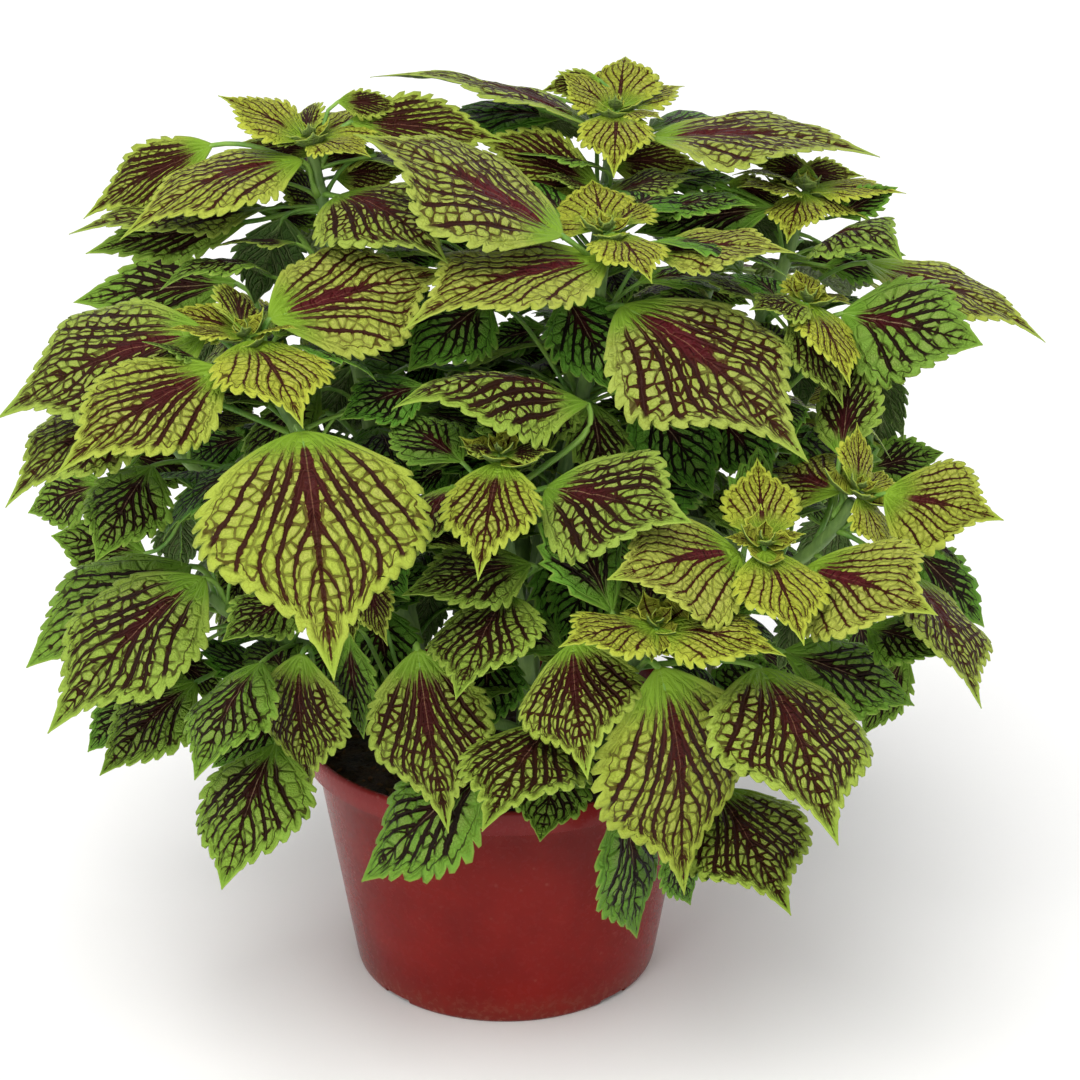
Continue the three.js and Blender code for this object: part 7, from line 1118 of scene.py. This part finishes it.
def stem_leaves():
    """older pairs of leaves low on the stems, in the shade between the rings"""
    lo, hi = np.array(cad_box[0]) * 1000, np.array(cad_box[1]) * 1000
    for sid, node, P, r0, r1, rings in STEMS:
        P = [np.array(p, float) for p in P]
        rnd = random.Random("s" + sid)
        Lg = sum(np.linalg.norm(P[i + 1] - P[i]) for i in range(3))
        parts, u, k = [], 0.16, 0
        while u < 0.9:
            near = min([abs(u - x) * Lg for x in rings] + [99])
            A, t = bez(P, u), unit(dbez(P, u))
            if near > 9 and A[2] > 104:
                a = unit(np.cross([0.1, 1.0, 0.05], t))
                b = np.cross(t, a)
                az0 = rnd.uniform(0, math.pi)
                for sd in (0, 1):
                    az = az0 + sd * math.pi + rnd.uniform(-0.2, 0.2)
                    h = a * math.cos(az) + b * math.sin(az)
                    if -h[1] > 0.2 and (A[1] < -40 or A[2] < 150):
                        continue
                    ln = rnd.uniform(34, 50)
                    B = A + h * (6 + 0.30 * ln) + t * (0.2 * ln)
                    e = math.radians(rnd.uniform(-38, 0))
                    T = B + (h * math.cos(e) + np.array([0, 0, 1.0]) * math.sin(e)) * ln
                    if T[2] < 98 and math.hypot(T[0], T[1]) < 86:
                        T[2] = 98 + rnd.uniform(0, 6)
                    out = math.hypot(T[0], T[1])
                    if out > 128 or T[2] > 262 or (T[2] < 118 and T[1] < 30) or (T < lo + 1).any() or (T > hi - 1).any():
                        continue
                    parts.append(leaf_data(("%s_s%d%d" % (sid, k, sd), node, B, T, ln * rnd.uniform(0.62, 0.72), rnd.uniform(-14, 14),
                                            rnd.uniform(12, 26), rnd.uniform(14, 34), 9, 9, 0.25, rnd.uniform(-6, 6),
                                            rnd.uniform(0.75, 1.0), 0.12, A, t, r0 + (r1 - r0) * u + 1.5, 0), 2))
                k += 1
            u += 24.0 / Lg
        join("low_leaves_" + sid.lower(), parts, node)


def inner_leaves():
    """leaves of short inner shoots that show between the large ones"""
    nodes = {}
    for row in INNER:
        nodes.setdefault(row[1], []).append(leaf_data(row, 1))
    for node, parts in nodes.items():
        join("inner_" + node[7:], parts, node)


SHOOTS = {}
FRONT_BARE = ("leaves_c2", "leaves_d2", "leaves_b2", "leaves_g1")
side_shoots()
stem_leaves()
inner_leaves()


# ------------------------------------------------------------------ stems
def tube(C, us, radius, sides, V, F, square=0.09, spin=0.0, cap=True):
    """adds a squarish tube along the Bezier C to V and F"""
    k0 = len(V)
    ref = np.array([0.1, 1.0, 0.05])
    for u in us:
        c, tau = bez(C, u), unit(dbez(C, u))
        a = unit(np.cross(ref, tau))
        b = np.cross(tau, a)
        r = radius(u)
        for j in range(sides):
            th = 2 * math.pi * j / sides + spin
            rr = r * (1 + square * math.cos(4 * (th - spin)))
            V.append(c + (a * math.cos(th) + b * math.sin(th)) * rr)
    n = len(us)
    for i in range(n - 1):
        for j in range(sides):
            p, q_ = k0 + i * sides + j, k0 + i * sides + (j + 1) % sides
            F.append([p, q_, q_ + sides, p + sides])
    F.append([k0 + j for j in range(sides)][::-1])
    F.append([k0 + (n - 1) * sides + j for j in range(sides)])


def build_stems():
    groups = {}
    for sid, node, P, r0, r1, rings in STEMS:
        groups.setdefault(node, []).append((sid, [np.array(p, float) for p in P], r0, r1, rings))
    for node, members in groups.items():
        V, F = [], []
        for sid, P, r0, r1, rings in members:
            Lg = sum(np.linalg.norm(P[i + 1] - P[i]) for i in range(3))
            us = set(np.linspace(0, 1, max(8, int(Lg / 4.5))).tolist())
            for u in rings:
                for d in (-4.2, -2.4, -1.0, 0.0, 1.0, 2.4, 4.2):
                    us.add(min(max(u + d / Lg, 0.0), 1.0))
            us = np.array(sorted(us))
            us = us[np.concatenate([[True], np.diff(us) > 1e-4])]
            rooted = P[0][2] == 80

            def radius(u, r0=r0, r1=r1, rings=rings, Lg=Lg, rooted=rooted):
                r = r0 + (r1 - r0) * u
                for k in rings:
                    r += 0.42 * math.exp(-(((u - k) * Lg) / 1.9) ** 2)
                if rooted:
                    r += 1.3 * math.exp(-u * Lg / 6.0)
                return r

            if rooted:
                P = [P[0] - np.array([0, 0, 7.0]), P[1], P[2], P[3]]
            tube(P, us, radius, 16, V, F)
        ob = make_object(node + "_grown", np.array(V), F, [MAT_STEM])
        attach(ob, "root")
        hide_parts(node)


build_stems()


# ------------------------------------------------------------------ buds
def bud_piece(node, sid):
    """tiny unfolding leaves in the heart of a shoot tip"""
    P = next([np.array(p, float) for p in r[2]] for r in STEMS if r[0] == sid)
    top, tdir = P[3], unit(dbez(P, 1.0))
    rnd = random.Random(node)
    az0 = rnd.uniform(0, 2 * math.pi)
    a = unit(np.cross([0.1, 1.0, 0.05], tdir))
    b = np.cross(tdir, a)
    V, F, VA, VB, VD = [], [], [], [], []
    for lvl, (ln, pitch) in enumerate([(15.0, 20), (11.0, 38), (7.0, 56), (4.4, 72)]):
        for sd in (0, 1):
            az = az0 + lvl * math.pi / 2 + sd * math.pi + rnd.uniform(-0.15, 0.15)
            pt = math.radians(pitch + rnd.uniform(-6, 6))
            out = (a * math.cos(az) + b * math.sin(az)) * math.cos(pt) + tdir * math.sin(pt)
            base = top + tdir * (2.2 + 1.0 * lvl) + (a * math.cos(az) + b * math.sin(az)) * 0.7
            tip = base + out * ln
            side = unit(np.cross(tdir, out))
            nrm = np.cross(out, side)
            n, m = 8, 5
            k0 = len(V)
            grid = []
            for i in range(n):
                s = i / (n - 1)
                w = max(float(half_width(np.array(s))) * ln * 0.40, 0.12)
                w *= 1 + 0.10 * (-1) ** i * (0.1 < s < 0.85)
                c = base + out * (ln * s) + nrm * (ln * 0.16 * math.sin(math.pi * s) * -1)
                for j in range(m):
                    tt = -1 + 2 * j / (m - 1)
                    grid.append(c + side * tt * w + nrm * (0.45 * w * tt * tt + 0.22 * abs(math.sin(s * 9.4)) * (abs(tt) > 0.2)))
                    VA.append([4.5 + 3 * s, s * ln * 4, 9.0])
                    VB.append([s, tt, tt * w])
                    VD.append([(1 - abs(tt)) * w, 1.0, ln * 2.2])
            V += grid
            for p in grid:
                V.append(p - nrm * 0.35)
            VA += VA[-n * m:]
            VB += VB[-n * m:]
            VD += [[x[0], 0.0, x[2]] for x in VD[-n * m:]]
            nm = n * m
            for i in range(n - 1):
                for j in range(m - 1):
                    p = k0 + i * m + j
                    F.append([p, p + m, p + m + 1, p + 1])
                    F.append([p + nm, p + nm + 1, p + nm + m + 1, p + nm + m])
            ring = [i * m for i in range(n)] + [(n - 1) * m + j for j in range(1, m)] + [i * m + m - 1 for i in range(n - 2, -1, -1)] + [j for j in range(m - 2, 0, -1)]
            for x, y_ in zip(ring, ring[1:] + ring[:1]):
                F.append([k0 + y_, k0 + x, k0 + x + nm, k0 + y_ + nm])
    V = np.array(V)
    me_attr = {"va": np.array(VA), "vb": np.array(VB), "vd": np.array(VD), "vc": np.tile([0.02, rnd.random(), 0.0], (len(V), 1))}
    ob = make_object("bud_" + node[4:], V, F, [MAT_LEAF], None, None, me_attr)
    bm = bmesh.new()
    bm.from_mesh(ob.data)
    bmesh.ops.recalc_face_normals(bm, faces=bm.faces)
    bm.to_mesh(ob.data)
    bm.free()
    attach(ob, "root")
    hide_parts(node)


for node, sid in TIPS:
    bud_piece(node, sid)


# ------------------------------------------------------------------ pot
POT_H, BASE_R, NECK_R, RIM_R, BAND, WALL, FLOOR = 96.0, 57.0, 71.0, 76.3, 10.0, 2.1, 4.0


def pot_material():
    G = Graph("pot_red_plastic")
    co = G.coords()
    n1 = G.noise(co, 26.0, 4.0, 0.6)
    n2 = G.noise(co, 420.0, 3.0, 0.6)
    n3 = G.noise(co, 3200.0, 2.0, 0.6)
    sep = G.new("ShaderNodeSeparateXYZ")
    G.put(sep.inputs[0], co)
    st = G.new("ShaderNodeMapping")
    G.put(st.inputs["Vector"], co)
    st.inputs["Scale"].default_value = (1.0, 1.0, 0.16)
    n4 = G.noise(st.outputs[0], 160.0, 4.0, 0.65)
    c = G.mix(G.step(n1, 0.30, 0.70), lin(104, 10, 5), lin(122, 16, 8))
    c = G.mix(G.step(n4, 0.50, 0.82, 0.0, 0.20), c, lin(140, 38, 30))       # faint drag marks of handling
    # the rim band is painted paler and pinker: a painted highlight
    rim = G.step(sep.outputs[2], 0.083, 0.090)
    c = G.mix(G.mul(rim, 0.50), c, lin(146, 50, 52))
    foot = G.step(sep.outputs[2], 0.002, 0.014, 1.0, 0.0)
    c = G.mix(G.mul(foot, G.step(n2, 0.4, 0.7, 0.1, 0.55)), c, lin(120, 66, 50))
    # dried water marks and dust specks
    spots = G.voro(co, 190.0, "F1", "3D", 1.0)
    dust = G.mul(G.step(spots, 0.07, 0.16, 1.0, 0.0), G.step(n1, 0.5, 0.62))
    c = G.mix(G.mul(dust, 0.22), c, lin(186, 128, 116))
    rough = G.add(G.step(n2, 0.25, 0.8, 0.20, 0.32), G.mul(dust, 0.2))
    h = G.add(G.mul(n3, 0.10), G.add(G.mul(n4, 0.5), G.mul(n2, 0.20)))
    return G.surface(c, rough, G.bump(h, 0.14, 0.0005), 0.17)


def lathe(profile, sides, V, F):
    k0 = len(V)
    n = len(profile)
    for i in range(sides):
        a = 2 * math.pi * i / sides
        for r, z in profile:
            V.append((r * math.cos(a), r * math.sin(a), z))
    for i in range(sides):
        for j in range(n - 1):
            a, b = k0 + i * n + j, k0 + ((i + 1) % sides) * n + j
            F.append([a, b, b + 1, a + 1])
    return k0


def build_pot():
    slope = (NECK_R - BASE_R) / (POT_H - BAND)

    def inner(z):
        return BASE_R + slope * z - WALL

    prof = [(0.6, 0.0), (20, 0.0), (37, 0.0), (50, 0.0), (BASE_R - 1.4, 0.0), (BASE_R - 0.6, 0.25), (BASE_R - 0.1, 0.9), (BASE_R + 0.25, 2.0)]
    for z in np.linspace(5, 80, 26):
        prof.append((BASE_R + slope * z, float(z)))
    z1 = POT_H - BAND
    prof += [(NECK_R - 0.7, z1 - 1.9), (NECK_R + 0.1, z1 - 0.6), (NECK_R + 1.3, z1 + 0.05), (RIM_R - 1.9, z1 + 0.3), (RIM_R - 0.9, z1 + 0.9),
             (RIM_R - 0.62, z1 + 1.9), (RIM_R - 0.3, z1 + 5.0), (RIM_R - 0.1, POT_H - 1.6), (RIM_R - 0.35, POT_H - 0.6), (RIM_R - 1.0, POT_H - 0.05),
             (RIM_R - 1.9, POT_H - 0.1), (RIM_R - 2.6, POT_H - 0.8), (RIM_R - 3.3, POT_H - 2.6), (inner(z1) + 0.6, z1 + 0.2), (inner(80), 80.0),
             (inner(40), 40.0), (inner(6), 6.0), (inner(4) - 1.5, FLOOR + 0.2), (40, FLOOR), (0.6, FLOOR)]
    V, F = [], []
    sides = 160
    lathe(prof, sides, V, F)
    n = len(prof)
    F.append([i * n for i in range(sides)][::-1])
    F.append([i * n + n - 1 for i in range(sides)])
    body = make_object("pot_moulded", np.array(V), F, [])
    # drain slots under the foot with a hole into each
    cut = bmesh.new()
    for k in range(4):
        a = math.radians(45 + 90 * k)
        for kind in ("slot", "hole"):
            if kind == "slot":
                r = bmesh.ops.create_cube(cut, size=1.0)
                sx, sy, sz, cx, cz = 40.0, 13.0, 4.0, 57.0, 0.0
                for v in r["verts"]:
                    x, y_, z = v.co.x * sx + cx, v.co.y * sy, v.co.z * sz + cz
                    v.co = Vector((x * math.cos(a) - y_ * math.sin(a), x * math.sin(a) + y_ * math.cos(a), z)) * MM
            else:
                r = bmesh.ops.create_cone(cut, cap_ends=True, segments=24, radius1=4.0, radius2=4.0, depth=8.0)
                for v in r["verts"]:
                    x, y_, z = v.co.x + 43.0, v.co.y, v.co.z + 3.2
                    v.co = Vector((x * math.cos(a) - y_ * math.sin(a), x * math.sin(a) + y_ * math.cos(a), z)) * MM
    bmesh.ops.recalc_face_normals(cut, faces=cut.faces)
    cm = bpy.data.meshes.new("drain_cut")
    cut.to_mesh(cm)
    cut.free()
    cutter = bpy.data.objects.new("drain_cut", cm)
    bpy.context.scene.collection.objects.link(cutter)
    bm = bmesh.new()
    bm.from_mesh(body.data)
    bmesh.ops.recalc_face_normals(bm, faces=bm.faces)
    bm.to_mesh(body.data)
    bm.free()
    mod = body.modifiers.new("drain", "BOOLEAN")
    mod.operation = "DIFFERENCE"
    mod.solver = "EXACT"
    mod.use_self = True
    mod.object = cutter
    dg = bpy.context.evaluated_depsgraph_get()
    done = bpy.data.meshes.new_from_object(body.evaluated_get(dg))
    body.modifiers.clear()
    body.data = done
    bpy.data.objects.remove(cutter)
    body.data.materials.clear()
    body.data.materials.append(pot_material())
    ang = math.radians(38)
    bm = bmesh.new()
    bm.from_mesh(body.data)
    for f in bm.faces:
        f.smooth = True
        f.material_index = 0
    for e in bm.edges:
        if len(e.link_faces) == 2:
            e.smooth = e.calc_face_angle(0.0) < ang
    bm.to_mesh(body.data)
    bm.free()
    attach(body, "root")
    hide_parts("pot")


build_pot()


# ------------------------------------------------------------------ soil
def soil_material():
    G = Graph("potting_soil")
    co = G.coords()
    n1 = G.noise(co, 120.0, 4.0, 0.7)
    n2 = G.noise(co, 900.0, 3.0, 0.7)
    v = G.voro(co, 420.0, "F1", "3D", 1.0)
    c = G.mix(G.step(n1, 0.3, 0.7), lin(34, 24, 18), lin(66, 46, 32))
    c = G.mix(G.step(n2, 0.45, 0.75, 0.0, 0.6), c, lin(92, 68, 46))
    c = G.mix(G.step(v, 0.05, 0.2, 0.6, 0.0), c, lin(20, 14, 11))
    h = G.add(n2, G.mul(v, 0.8))
    return G.surface(c, G.step(n1, 0.3, 0.8, 0.75, 0.95), G.bump(h, 0.9, 0.0012), 0.25)


def hash_noise(x, y, seed):
    """value noise for the soil's lumps"""
    xi, yi = np.floor(x).astype(int), np.floor(y).astype(int)
    fx, fy = x - xi, y - yi
    fx, fy = fx * fx * (3 - 2 * fx), fy * fy * (3 - 2 * fy)

    def h(i, j):
        v = np.sin(i * 127.1 + j * 311.7 + seed * 74.7) * 43758.5453
        return v - np.floor(v)

    return (h(xi, yi) * (1 - fx) + h(xi + 1, yi) * fx) * (1 - fy) + (h(xi, yi + 1) * (1 - fx) + h(xi + 1, yi + 1) * fx) * fy


def build_soil():
    slope = (NECK_R - BASE_R) / (POT_H - BAND)
    wall = BASE_R + slope * 84 - WALL - 0.35
    V, F = [], []
    nr, na = 46, 150
    rs = [wall * (i / nr) for i in range(1, nr + 1)]
    V.append((0.0, 0.0, 85.4))
    for r in rs:
        for j in range(na):
            a = 2 * math.pi * j / na
            x, y = r * math.cos(a), r * math.sin(a)
            lump = 1.5 * hash_noise(np.array(x / 6.5), np.array(y / 6.5), 1) + 1.0 * hash_noise(np.array(x / 2.6), np.array(y / 2.6), 2) + 0.6 * hash_noise(np.array(x / 1.1), np.array(y / 1.1), 3)
            z = 84.9 - 1.1 * (r / wall) ** 2 + (float(lump) - 1.6)
            V.append((x, y, z))
    for j in range(na):
        F.append([0, 1 + j, 1 + (j + 1) % na])
    for i in range(nr - 1):
        for j in range(na):
            a, b = 1 + i * na + j, 1 + i * na + (j + 1) % na
            F.append([a, a + na, b + na, b])
    # wall side down to the floor
    last = 1 + (nr - 1) * na
    levels = [(82.0, 0), (60.0, 0), (30.0, 0), (4.5, 0)]
    prev = last
    for z, _ in levels:
        r = BASE_R + slope * z - WALL - 0.4
        k = len(V)
        for j in range(na):
            a = 2 * math.pi * j / na
            V.append((r * math.cos(a), r * math.sin(a), z))
        for j in range(na):
            F.append([prev + j, k + j, k + (j + 1) % na, prev + (j + 1) % na])
        prev = k
    F.append([prev + j for j in range(na)][::-1])
    soil = make_object("soil_mix", np.array(V), F, [soil_material()])
    bm = bmesh.new()
    bm.from_mesh(soil.data)
    bmesh.ops.recalc_face_normals(bm, faces=bm.faces)
    bm.to_mesh(soil.data)
    bm.free()
    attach(soil, "root")
    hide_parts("soil")
    # loose crumbs, bark bits and a few pale grains
    G = Graph("soil_grains")
    co = G.coords()
    big = G.noise(co, 160.0, 1.0)
    c = G.mix(G.step(big, 0.45, 0.55), lin(58, 40, 28), lin(104, 74, 48))
    c = G.mix(G.step(big, 0.66, 0.68), c, lin(206, 200, 188))
    m = G.surface(c, 0.9, G.bump(G.noise(co, 1500.0, 3.0), 0.6, 0.0006), 0.25)
    rnd = random.Random(7)
    bm = bmesh.new()
    for _ in range(520):
        r = wall * math.sqrt(rnd.random()) * 0.975
        a = rnd.uniform(0, 2 * math.pi)
        x, y = r * math.cos(a), r * math.sin(a)
        lump = 1.5 * hash_noise(np.array(x / 6.5), np.array(y / 6.5), 1) + 1.0 * hash_noise(np.array(x / 2.6), np.array(y / 2.6), 2)
        z = 84.9 - 1.1 * (r / wall) ** 2 + float(lump) - 1.2
        size = rnd.uniform(0.5, 1.5)
        res = bmesh.ops.create_icosphere(bm, subdivisions=1, radius=size * MM)
        sx, sy, sz = rnd.uniform(0.7, 1.9), rnd.uniform(0.6, 1.1), rnd.uniform(0.45, 0.9)
        th = rnd.uniform(0, math.pi)
        for v in res["verts"]:
            jx = 1 + rnd.uniform(-0.18, 0.18)
            px, py, pz = v.co.x * sx * jx, v.co.y * sy * jx, v.co.z * sz * jx
            v.co = Vector((px * math.cos(th) - py * math.sin(th) + x * MM, px * math.sin(th) + py * math.cos(th) + y * MM, pz + z * MM))
    me = bpy.data.meshes.new("soil_crumbs")
    bm.to_mesh(me)
    bm.free()
    me.materials.append(m)
    ob = bpy.data.objects.new("soil_crumbs", me)
    bpy.context.scene.collection.objects.link(ob)
    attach(ob, "root")
    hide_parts("soil")


build_soil()


# ------------------------------------------------------------------ stage, light, camera
def build_stage():
    G = Graph("studio_floor")
    co = G.coords()
    n = G.noise(co, 1.2, 2.0)
    n2 = G.noise(co, 180.0, 3.0)
    c = G.mix(G.step(n, 0.3, 0.7), lin(241, 241, 241), lin(243, 243, 242))
    m = G.surface(c, 0.75, G.bump(n2, 0.08, 0.0005), 0.25)
    bpy.ops.mesh.primitive_circle_add(vertices=128, radius=40.0, fill_type="NGON", location=(0, 0, 0))
    floor = bpy.context.object
    floor.name = "studio_floor"
    floor.data.materials.append(m)


build_stage()

world = bpy.data.worlds.new("studio")
bpy.context.scene.world = world
world.use_nodes = True
# a white studio wall all round, dimmer overhead
wt = world.node_tree
bg = wt.nodes["Background"]
bg.inputs[0].default_value = (1.0, 1.0, 1.0, 1.0)
w_dir = wt.nodes.new("ShaderNodeTexCoord")
w_sep = wt.nodes.new("ShaderNodeSeparateXYZ")
w_map = wt.nodes.new("ShaderNodeMapRange")
w_map.interpolation_type = "SMOOTHSTEP"
for i, v in ((1, 0.24), (2, 0.62), (3, 1.02), (4, 0.34)):
    w_map.inputs[i].default_value = v
wt.links.new(w_dir.outputs["Generated"], w_sep.inputs[0])
wt.links.new(w_sep.outputs[2], w_map.inputs[0])
wt.links.new(w_map.outputs[0], bg.inputs[1])


def area(name, loc, aim, size, power, tint=(1, 1, 1)):
    li = bpy.data.lights.new(name, "AREA")
    li.shape = "DISK"
    li.size = size
    li.energy = power
    li.color = tint
    ob = bpy.data.objects.new(name, li)
    bpy.context.scene.collection.objects.link(ob)
    ob.location = loc
    ob.rotation_euler = (Vector(aim) - Vector(loc)).to_track_quat("-Z", "Y").to_euler()
    return ob


def sun(name, frm, strength, angle, tint=(1, 1, 1)):
    li = bpy.data.lights.new(name, "SUN")
    li.energy = strength
    li.angle = math.radians(angle)
    li.color = tint
    ob = bpy.data.objects.new(name, li)
    bpy.context.scene.collection.objects.link(ob)
    ob.rotation_euler = Vector(frm).to_track_quat("Z", "Y").to_euler()
    return ob


sun("key", (-0.24, -0.80, 1.50), 2.62, 46.0, (1.0, 0.99, 0.97))
sun("rear", (0.5, 1.0, 0.75), 0.60, 60.0)
area("gloss", (-0.9, -1.5, 0.75), (0, 0, 0.12), 0.7, 5.0)

cam = bpy.data.cameras.new("view")
cam.sensor_width = 36.0
cam.lens = 2476.0 / 1080.0 * 36.0
cam.clip_start = 0.05
cam.clip_end = 60.0
cam_ob = bpy.data.objects.new("view", cam)
bpy.context.scene.collection.objects.link(cam_ob)
cam_ob.location = (0.013, -0.8385, 0.4929)
cam_ob.rotation_euler = (math.radians(90 - 21.2), 0, 0)
bpy.context.scene.camera = cam_ob

bpy.context.scene.view_settings.view_transform = "Standard"
bpy.context.scene.view_settings.look = "None"
